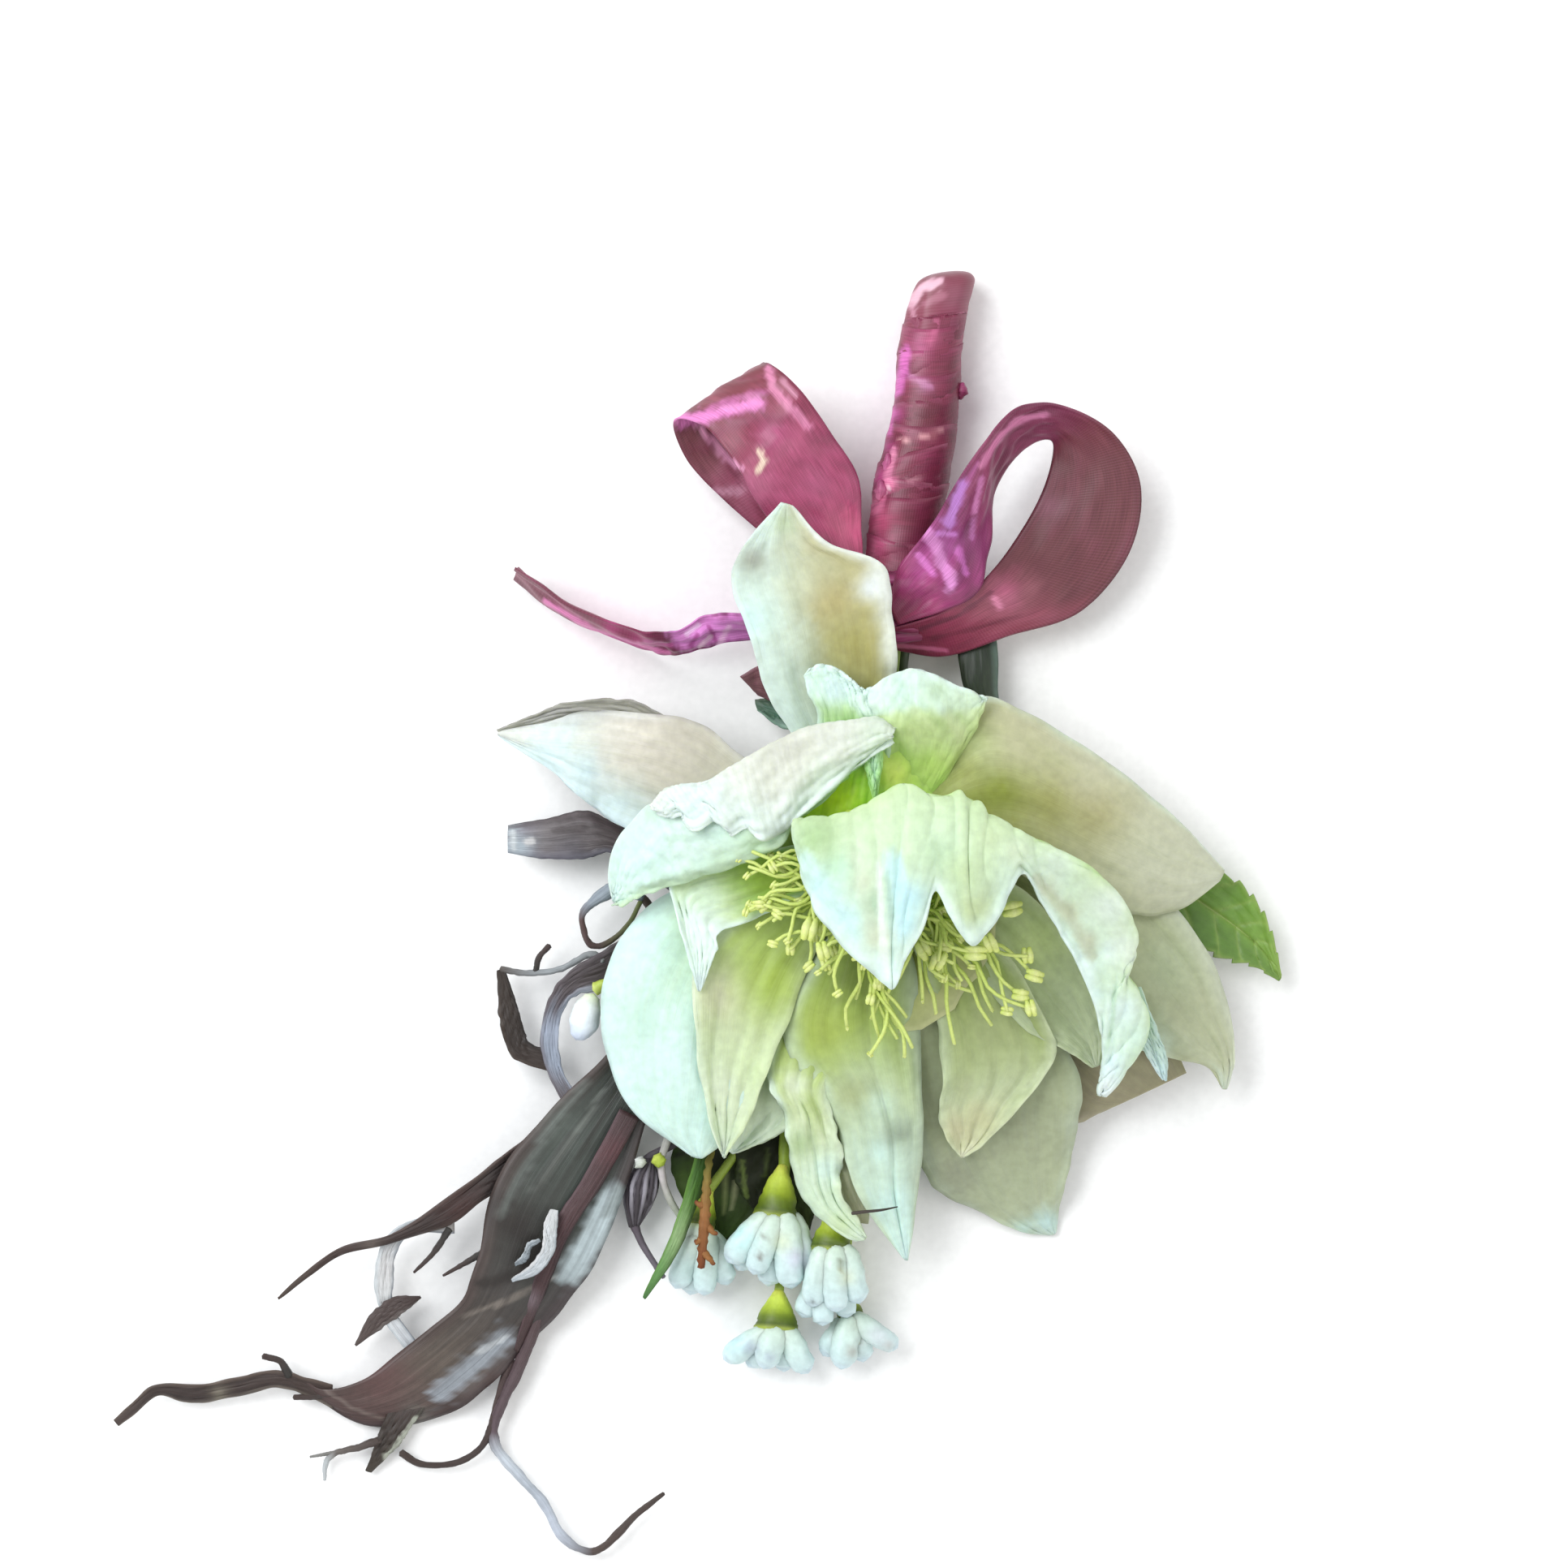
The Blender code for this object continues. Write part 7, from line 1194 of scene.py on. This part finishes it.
def leaf_blade():
    """The saw-edged blade: a midrib groove, side veins that run forward, and teeth that point to the tip.

    Veins are ridges where along * 7 - |side| * 1.1 is a whole number; teeth push the margin out by
    0.55 mm * (0.5 - step) where step counts 9 teeth along it.
    """
    points, side, along, face, outward = loft(tables(LEAF), 90, 34)
    swell = np.sin(np.pi * np.clip(along, 0, 1)) ** 0.7
    vein = np.abs(((along * 7 - np.abs(side) * 1.1 + 0.5) % 1.0) - 0.5)
    ridge = np.exp(-(vein / 0.09) ** 2)
    midrib = np.exp(-(side / 0.06) ** 2)
    lift = -0.9 * (1 - side**2) - 0.22 * ridge * (1 - side**4) - 0.5 * midrib
    lift = lift + 0.25 * uneven(side, along * 2, 91)
    step = (along * 9) % 1.0
    wander = side * np.abs(side) ** 5 * 0.75 * (0.5 - step)
    points = points + face * (lift * swell)[..., None] + outward * (wander * swell)[..., None]
    tint = coloured(LEAF_STOPS, along)
    # One half is darker green, painted shade on the half turned from the light; the veins, midrib and margin
    # are lighter.
    tint = tinted(tint, 0.55 * step_up(-0.1, 0.5, side), "#4f7430")
    tint = tinted(tint, 0.5 * ridge, "#a3bd62")
    tint = tinted(tint, 0.7 * midrib, "#b4c878")
    tint = tinted(tint, 0.4 * step_up(0.85, 1.0, np.abs(side)), "#98ae5a")
    return shell(points, side, along, tint, LEAF_THICK)


def leaf_base():
    """The folded base of the leaf stalk: a dark strap whose lighter margin at the right is a painted
    highlight along the fold.
    """
    points, side, along, face, _ = loft(tables(LEAF_BASE), 40, 18)
    lift = 0.5 * (1 - side**2) + 0.1 * np.abs(np.sin(np.pi * 3.5 * side)) + 0.12 * uneven(side, along, 92)
    points = points + face * (lift * np.sin(np.pi * along) ** 0.5)[..., None]
    tint = coloured("0 #161c18, 0.5 #1c241f, 1 #36433a", along)
    # Painted highlight along the fold at the right margin.
    tint = tinted(tint, 0.8 * step_up(0.5, 0.9, side), "#5f746c")
    tint = tinted(tint, 0.5 * step_up(0.5, 1.0, -side), "#1a1a18")
    return shell(points, side, along, tint, LEAF_THICK)


leaf = [stem(315, STEM_RADIUS, """-1.6 -7.4 2.7, 1.6 -11.2 2.4, 7 -13.6 2.3, 13.4 -18.4 2.5, 20 -24.6 3,
    26 -28.6 3.8""", 0.7, "0 #55702c, 0.5 #2f3a2c, 0.8 #48602c, 1 #6c8c3a", 93), leaf_blade(), leaf_base()]
make_piece("leaf_with_base", leaf, LEAF_SKIN, ["green_leaf"])

# Florets: a row for each finger says where it starts and ends and its radius, mm; the front ones come first
FINGERS = {
    "floret_far_left": """-27.2 -76.6 3.9 -29.4 -81.8 3.4 1.6, -25.8 -77 4.2 -26.2 -82.6 3.8 1.6,
        -25 -76.8 3 -23.6 -81.4 3 1.5, -26.6 -76.8 2.4 -27.8 -82.6 2.2 1.5""",
    "floret_left": """-18.7 -74.4 7.2 -22.6 -78.6 6.8 1.85, -17.8 -74.8 8 -19.8 -80 7.6 1.7,
        -16.2 -74.6 7.6 -15.6 -81.6 7.2 1.85, -17.2 -75.4 5.4 -18.2 -81.4 5.2 1.7,
        -15.4 -74.6 6 -13.2 -81 5.6 1.7, -19 -75 5 -21.6 -79.6 4.6 1.6""",
    "floret_right": """-11.6 -78.4 8 -12.8 -84 7.6 1.65, -10.2 -78.6 8.4 -10 -84.6 8.2 1.7,
        -8.8 -78.4 7.6 -7.4 -83.6 7.4 1.65, -11 -79 5.8 -13.8 -85.4 5.4 1.6,
        -9.6 -79 5.8 -8.8 -85.4 5.4 1.6, -11.6 -78.8 6.4 -11.6 -86.4 6.2 1.5""",
    "floret_low_left": """-18.4 -88.2 4.4 -23 -91 3.8 1.55, -17.6 -88.4 5 -18.6 -91.6 4.6 1.8,
        -16.2 -88.2 4.4 -13.9 -92.3 3.9 1.6, -17.8 -88.6 3 -20.2 -91.6 2.6 1.6,
        -16.4 -88.6 3 -16.4 -92 2.6 1.6""",
    "floret_low_right": """-8.4 -87.2 4.2 -9.2 -91.6 3.9 1.75, -7.4 -86.8 4 -3.2 -89.6 3.7 1.45,
        -8.6 -87 2.6 -11 -90.2 2.4 1.6, -7.4 -87.2 2.6 -6.8 -90.8 2.4 1.6""",
}
FLORET_STOPS = "0 #c6d89c, 0.22 #ccdfca, 0.6 #cfe6e2, 1 #cadee4"
# Small brown specks that the florets have, and soft grey-blue patches of painted shade between the fingers,
# with a few paler tints.
SPECKS_AND_SHADE = """-18.8 -76.4 0.34 #5c4a28 1, -19.4 -78.8 0.42 #5c3c14 1, -9.4 -79.6 0.42 #5c5a18 1,
    -9.5 -80.6 0.3 #8a8448 0.8, -12.9 -84.4 0.3 #5a5a5a 0.8, -8 -90.6 0.8 #a8a090 0.6,
    -20.6 -90 0.9 #9aa3ba 0.7, -18.2 -91.2 0.6 #a8b0c4 0.6, -3.6 -89.8 0.7 #b8b4ac 0.7,
    -14.9 -79 1.4 #d2cce6 0.6, -21.6 -76.4 1.4 #bff4f2 0.8, -12 -81.4 1.3 #bccfc6 0.75,
    -22.4 -89.6 1.2 #c0e8ee 0.7, -4.8 -88.6 1.3 #d2d6dc 0.7, -16.6 -77 1.2 #d2dcae 0.6,
    -8.6 -81.4 1 #d4dcb4 0.6, -28.2 -80.2 1.3 #a9c4be 0.7"""


def floret(name, top, mouth):
    """A bell whose tube divides at once into fat blunt fingers, each swollen towards its end."""
    top = np.array(top, float)
    way = unit(np.array(mouth, float) - top)
    bell = [top + way * 0.2 + (0, 0, 0.2), top + way * 1.8 + (0, 0, 0.4), top + way * 3.4 + (0, 0, 0.3)]
    parts = [tube(bell, (1.5, 1.9, 1.3), "0 #c6d89c, 0.22 #ccdfca", 10, 20, knobbly=0.08, seed=111)]
    for number, (*ends, radius) in enumerate(table(FINGERS[name])):
        start, end = np.reshape(ends, (2, 3))
        bow_out = 0.5 * (start + end) + (0, 0, 0.35)
        tip = end + 0.5 * radius * unit(end - start)
        finger = tube([0.35 * start + 0.65 * (top + way), start, bow_out, end, tip],
                      (0.5, 0.85 * radius, radius, 0.85 * radius, 0.4 * radius), FLORET_STOPS, 26, 16,
                      knobbly=0.1, seed=120 + number)
        points = finger["points"]
        # The underside of each finger is tinted grey-blue: painted shade.
        underside = step_up(0.0, 1.6, start[2] - 0.3 - points[:, 2])
        finger["tint"] = tinted(finger["tint"], 0.5 * underside, "#aeb9d0")
        finger["tint"] = patched(finger["tint"], points, SPECKS_AND_SHADE, 112)
        parts.append(finger)
    make_piece(name + "_bell", parts, FLORET_TISSUE, [name])


# Calyxes: where the stalk meets it, its rim, and the rim's radius, mm
CALYXES = {
    "floret_far_left": ((-25.6, -70.6, 3.2), (-26.6, -75.2, 3.2), 1.7),
    "floret_left": ((-16.6, -67.6, 5.6), (-17.5, -74.2, 6.2), 2.7),
    "floret_right": ((-10.4, -73.4, 6.4), (-10.6, -78.2, 6.8), 2.6),
    "floret_low_left": ((-17, -83, 3.6), (-17.4, -87.8, 3.7), 2.7),
    "floret_low_right": ((-9.2, -82.6, 2.6), (-8, -86.8, 3), 1.7),
}
CALYX_STOPS = "0 #eef468, 0.35 #d8ec58, 0.52 #a8be34, 0.64 #667c12, 0.86 #3c5206, 1 #aebe4c"
for floret_name, (top, mouth) in FLORETS.items():
    floret(floret_name, top, mouth)

sprig = [stem(270, STEM_RADIUS, """-4.7 -9 2.7, -7 -22 2, -11 -40 2.2, -15 -56 3, -16.2 -64 4.4,
    -16.4 -69.4 5.2""", 0.7, "0 #5d7a2a, 0.8 #6c8c30, 1 #a8c040", 131)]
node = np.array((-15.0, -56.0, 3.0))
fork = np.array((-14.4, -63.0, 1.6))
STALK = "0 #6c8c30, 1 #a4ba48"
for number, (floret_name, (start, rim, radius)) in enumerate(CALYXES.items()):
    start, rim = np.array(start), np.array(rim)
    cup = [start, 0.75 * start + 0.25 * rim, 0.3 * start + 0.7 * rim, rim]
    sprig.append(tube(cup, (0.55, 0.5 * radius, 0.9 * radius, radius), CALYX_STOPS, 18, 20, knobbly=0.08,
                      seed=140 + number))
    if floret_name == "floret_low_left":
        sprig.append(tube([node, (-14.6, -60.0, 2.2), fork], (0.6, 0.55, 0.55), STALK, 10, 8))
        sprig.append(tube([fork, (-14.6, -74.0, 1.0), (-16.6, -79.6, 2.6), start],
                          (0.5, 0.5, 0.5, 0.6), STALK, 24, 8))
    elif floret_name == "floret_low_right":
        sprig.append(tube([fork, (-9.0, -72.0, 0.8), (-8.6, -78.6, 1.4), start],
                          (0.5, 0.5, 0.5, 0.55), STALK, 24, 8))
    elif floret_name != "floret_left":
        sprig.append(tube([node, 0.5 * (node + start) + (0, 0, -0.3), start], (0.6, 0.55, 0.6), STALK, 20, 8))
sprig.append(tube(table("-10 -36 2.1, -20 -43.5 6.4, -29 -46.6 7.6, -37.4 -45.2 7, -39.66 -45.86 6.46"),
    (0.6, 0.5, 0.5, 0.55, 0.9), "0 #6c8c30, 0.9 #b9cc50, 1 #d4e078", 40, 9))
TEAL = """-5 -15 2.2, -8.6 -13.6 4.3, -13 -12 4.3, -18 -10.2 3.4, -20 -10.2 3; -5.6 -16.4 2, -9 -15.4 4.2,
    -13 -14.4 4.2, -16.8 -13.6 3.3, -19.6 -11.6 3"""
sprig.append(strap(TEAL, 0.2, 0.3, "0 #3c5a4a, 0.6 #4a7a6c, 1 #3a5a50", "#2c3e34 0.3, #8fb4a8 0.3",
    (0.3, 0.3), "", 132))
make_piece("floret_stalks", sprig, STEM_SKIN, ["floret_sprig"])

bud = [tube(table("-40 -46.8 6.4, -40.6 -48.4 6.5, -41.2 -50.4 6.4, -41.9 -51.8 6.3"), (1, 1.75, 1.8, 0.9),
    "0 #e2eecb, 0.3 #f0f8f6, 0.7 #e8f2fa, 1 #ced9ea", 22, 20, knobbly=0.07, seed=151)]
make_piece("white_bud", bud, FLORET_TISSUE, ["side_bud"])

# Fillers under the bloom: grass, shaded leaves, a rusty twig with spurs, a grey catkin and its stem
GRASS = """-26.1 -62 3.4, -28 -69 5.4, -30.6 -77 6.6, -33.8 -83.8 6; -24.3 -62 3.4, -26.3 -69.5 5.4,
    -29.3 -77.8 6.6, -33.5 -84.1 6"""
# The shaded leaf and the dark leaf are nearly black: painted shade, where they lie under the bloom.
SHADED_LEAF = """-21.6 -53 1.8, -27.4 -60.6 1.3, -30.2 -66.4 0.9, -28.8 -71.6 0.7, -24.6 -76.6 0.6;
    -19.4 -53.4 1.7, -16.6 -60.6 1.2, -15.4 -67 0.8, -17.6 -72.6 0.7, -23.8 -77 0.6"""
NARROW_LEAF = "-15.6 -64 2, -15.8 -71 1.8, -14.6 -77 1.4; -11.8 -64 2, -12 -71 1.8, -13.9 -77.4 1.4"
DARK_LEAF = """-16 -60 2.6, -21.4 -64.6 3, -22.4 -69 2.6, -20.6 -72.6 1.8; -12.6 -60 2.6, -14.4 -66 2.6,
    -15.4 -70 2.2, -18.4 -73.4 1.6"""
GRASS_STOPS = "0 #3c5c22, 0.3 #3e6a22, 0.42 #608c40, 0.6 #98b880, 0.8 #6c9c58, 1 #4c7c44"
CATKIN_STOPS = "0 #3a3438, 0.5 #6a646e, 1 #4a444c"
fillers = [
    stem(225, 0.65, "-6.4 -9 1.3, -10 -24 1.1, -17 -44 1.2, -23 -58 2.2, -25.4 -64 3.2", 0.8,
         "0 #4c5a2a, 1 #4c6a2a", 161),
    strap(GRASS, 0.5, 0.0, GRASS_STOPS, "#76a84a 0.3, #35561f 0.3", (-0.2, -0.2), "", 162),
    # Painted shade: the leaves under the bloom are nearly black.
    strap(SHADED_LEAF, 0.5, 0.2, "0 #1c2410, 0.5 #1e2612, 0.8 #3c5220, 1 #4c6c28",
          "#3a5422 0.3, #1c1f12 0.3", (0.3, 0.3),
          """-28.4 -70.4 2 #5c7a30 0.8, -23.6 -72 1.4 #4c6a28 0.7, -19 -68 1.8 #12180a 0.8,
          -22.8 -67 0.9 #6c8444 0.6""", 163,
          """-27.2 -67.4 -28.6 -71.4 0.9 #3c5c10 0.85, -23.6 -68.6 -23.8 -73.4 0.3 #98a468 0.8,
          -22.4 -69.6 -22.8 -73 0.25 #c0c494 0.6, -29.4 -66.4 -27.6 -65.2 0.4 #141a08 0.8"""),
    strap(NARROW_LEAF, 0.3, 0.1, "0 #222c12, 0.5 #3c4c24, 1 #5c6c34", "#4c5c2c 0.3, #14180c 0.3",
          (0.2, 0.2), "", 176),
    strap(DARK_LEAF, 0.5, 0.2, "0 #161c0a, 0.6 #1c260c, 1 #12180a", "#2c3c14 0.2, #0e120a 0.3",
          (0.3, 0.3), "", 164,
          "-21.6 -67 -21 -71.4 0.3 #7c9048 0.8, -18.4 -65.6 -18.8 -68.8 0.25 #5c6c34 0.7"),
]
TWIG = "0 #66702e, 0.35 #8c803c, 0.65 #a06c3c, 1 #84482a"
twig_path = table("-24.6 -62 3.2, -25.8 -68 6.6, -26.2 -74 8.2, -26.6 -80.2 7.4")
fillers.append(tube(twig_path, (0.6, 0.5, 0.6, 0.4), TWIG, 40, 9, knobbly=0.5, seed=165))
SPURS = """-26 -75 8.1, -25.2 -75.8 8.6, -24.6 -76 8.7; -26.2 -76.6 8, -27 -77 8.3, -27.4 -76.9 8.4;
    -26.4 -78.2 7.8, -25.5 -79.2 8.2, -25 -79.8 8.2; -26 -72.4 8, -26.8 -72.4 8.3, -27.3 -72 8.4"""
for number, spur in enumerate(tables(SPURS)):
    fillers.append(tube(spur, (0.46, 0.4, 0.22), "0.65 #a06c3c, 1 #84482a", 10, 8, knobbly=0.3,
                        seed=166 + number))
CATKIN = np.array([(-33.2, -66.8, 2.9), (-33.8, -69.4, 3.0), (-34.3, -72.2, 2.8), (-34.9, -75.2, 2.6)])
CATKIN_GIRTH = np.array([0.6, 1.75, 1.6, 0.5])
fillers.append(tube([(-25, -62, 3), (-30, -65, 3.2), *CATKIN], (0.5, 0.5, *CATKIN_GIRTH), CATKIN_STOPS,
                    48, 18, knobbly=0.1, seed=171))
for number in range(CATKIN_SCALES):
    turn = TURN * number / CATKIN_SCALES + 0.5 * CATKIN_GIRTH
    skin = CATKIN + CATKIN_GIRTH[:, None] * np.stack([np.cos(turn), 0 * turn, np.sin(turn)], axis=-1)
    back = "#a8a4ae" if number % 2 else "#4c464e"
    fillers.append(tube(skin, (0.2, 0.3, 0.28, 0.16), f"0 #4c4650, 0.5 {back}, 1 #4c464c", 16, 7,
                        knobbly=0.2, seed=180 + number))
fillers.append(tube(table("-34.9 -74.8 2.6, -33.8 -77.4 3.4, -31.9 -80.4 4.4, -31.2 -81.4 4.8"),
    (0.6, 0.42, 0.38, 0.3), "0 #5a505a, 1 #7c7680", 20, 8, knobbly=0.1, seed=172))
PALE_STEM = table("-29.2 -61 4.6, -31.4 -66.6 4.4, -30.8 -71 4, -28.2 -75.4 3.8")
fillers.append(tube(PALE_STEM, (0.5, 0.45, 0.45, 0.4), "0 #b9c0b4, 0.5 #cfc8c8, 1 #a8b89a", 24, 8,
    knobbly=0.15, seed=173))
fillers.append(tube(table("-34.4 -66.8 4.4, -34 -67.6 4.6"), (0.7, 0.75), "0 #f0f4f0, 1 #dfe6da", 6, 12,
    knobbly=0.2, seed=174))
fillers.append(tube(table("-32.2 -66.6 4.8, -31.4 -67.4 4.8"), (0.8, 0.7), "0 #cfe060, 1 #b4cc48", 6, 12,
    knobbly=0.2, seed=175))
make_piece("filler_stems", fillers, FILLER_SKIN, ["filler_sprig"])

# A fine dark bristle caught on the lowest narrow petal
bristle = [tube(table("-8 -73.5 10.6, -6.4 -73.3 11.6, -4.4 -73.1 12, -2.4 -72.7 11.8"),
    (0.22, 0.2, 0.16, 0.07), "0 #5a504c, 1 #2c2826", 12, 6)]
make_piece("caught_bristle", bristle, FILLER_SKIN, ["filler_sprig"])

# The bloom's own stem is the CAD solid, with a green stem's skin
for cad_stem in [obj for obj in bpy.data.objects if obj.name == "bloom_stem"]:
    plain, plain_shader = finish_material("bloom_stem_skin", {"Roughness": 0.5})
    spot = add_node(plain, "ShaderNodeTexCoord")
    long_lines = add_node(plain, "ShaderNodeMapping", (), {"Vector": (spot, "Object"), "Scale": (1, 0.15, 1)})
    lines = add_node(plain, "ShaderNodeTexNoise", (), {"Vector": (long_lines, "Vector"), "Scale": 1600.0})
    greens = add_node(plain, "ShaderNodeValToRGB", (), {"Fac": (lines, "Fac")},
                      "0.35 #56702c, 0.65 #8fa64c")
    plain.node_tree.links.new(greens.outputs["Color"], plain_shader.inputs["Base Color"])
    for cad_slot in cad_stem.material_slots:
        cad_slot.material = plain

# Stage: a plain pale floor, soft daylight from the upper left and an even pale surround
bpy.ops.mesh.primitive_plane_add(size=3.0, location=(0, 0, -0.0004))
floor = bpy.context.object
floor.name = "floor"
floor_paint, floor_shader = finish_material("matte_white_board",
                                            {"Roughness": 0.9, "Specular IOR Level": 0.1})
floor_spot = add_node(floor_paint, "ShaderNodeTexCoord")
floor_grain = add_node(floor_paint, "ShaderNodeTexNoise", (),
                       {"Vector": (floor_spot, "Object"), "Scale": 900.0})
floor_tone = add_node(floor_paint, "ShaderNodeValToRGB", (), {"Fac": (floor_grain, "Fac")},
                      "0.3 #f4f4f3, 0.7 #f9f9f8")
floor_paint.node_tree.links.new(floor_tone.outputs["Color"], floor_shader.inputs["Base Color"])
floor.data.materials.append(floor_paint)


def soft_light(name, place, size, power, colour):
    """A square area light that faces the middle of the part."""
    lamp = bpy.data.lights.new(name, "AREA")
    lamp.size = size
    lamp.energy = power
    lamp.color = linear(colour)
    light = bpy.data.objects.new(name, lamp)
    bpy.context.scene.collection.objects.link(light)
    light.location = place
    away = np.array(place) - (-0.01, -0.02, 0.01)
    light.rotation_euler = (math.atan2(math.hypot(away[0], away[1]), away[2]), 0.0,
                            math.atan2(away[0], -away[1]))


soft_light("window", (-0.55, 0.35, 0.75), 0.7, 9.0, "#fbfdff")
soft_light("fill", (0.6, -0.4, 0.7), 0.9, 3.0, "#fffaf2")
world = bpy.data.worlds.new("pale_surround")
world.use_nodes = True
world.node_tree.nodes["Background"].inputs["Color"].default_value = (0.95, 0.97, 1.0, 1.0)
world.node_tree.nodes["Background"].inputs["Strength"].default_value = 0.75
bpy.context.scene.world = world
bpy.context.scene.view_settings.view_transform = "Standard"

# The camera looks straight down, as the photograph does
camera_data = bpy.data.cameras.new("view")
camera_data.lens = 150.0
camera_data.sensor_width = 36.0
camera_data.clip_start = 0.01
camera = bpy.data.objects.new("view", camera_data)
bpy.context.scene.collection.objects.link(camera)
camera.location = (-0.01426, -0.02221, 0.820)
bpy.context.scene.camera = camera
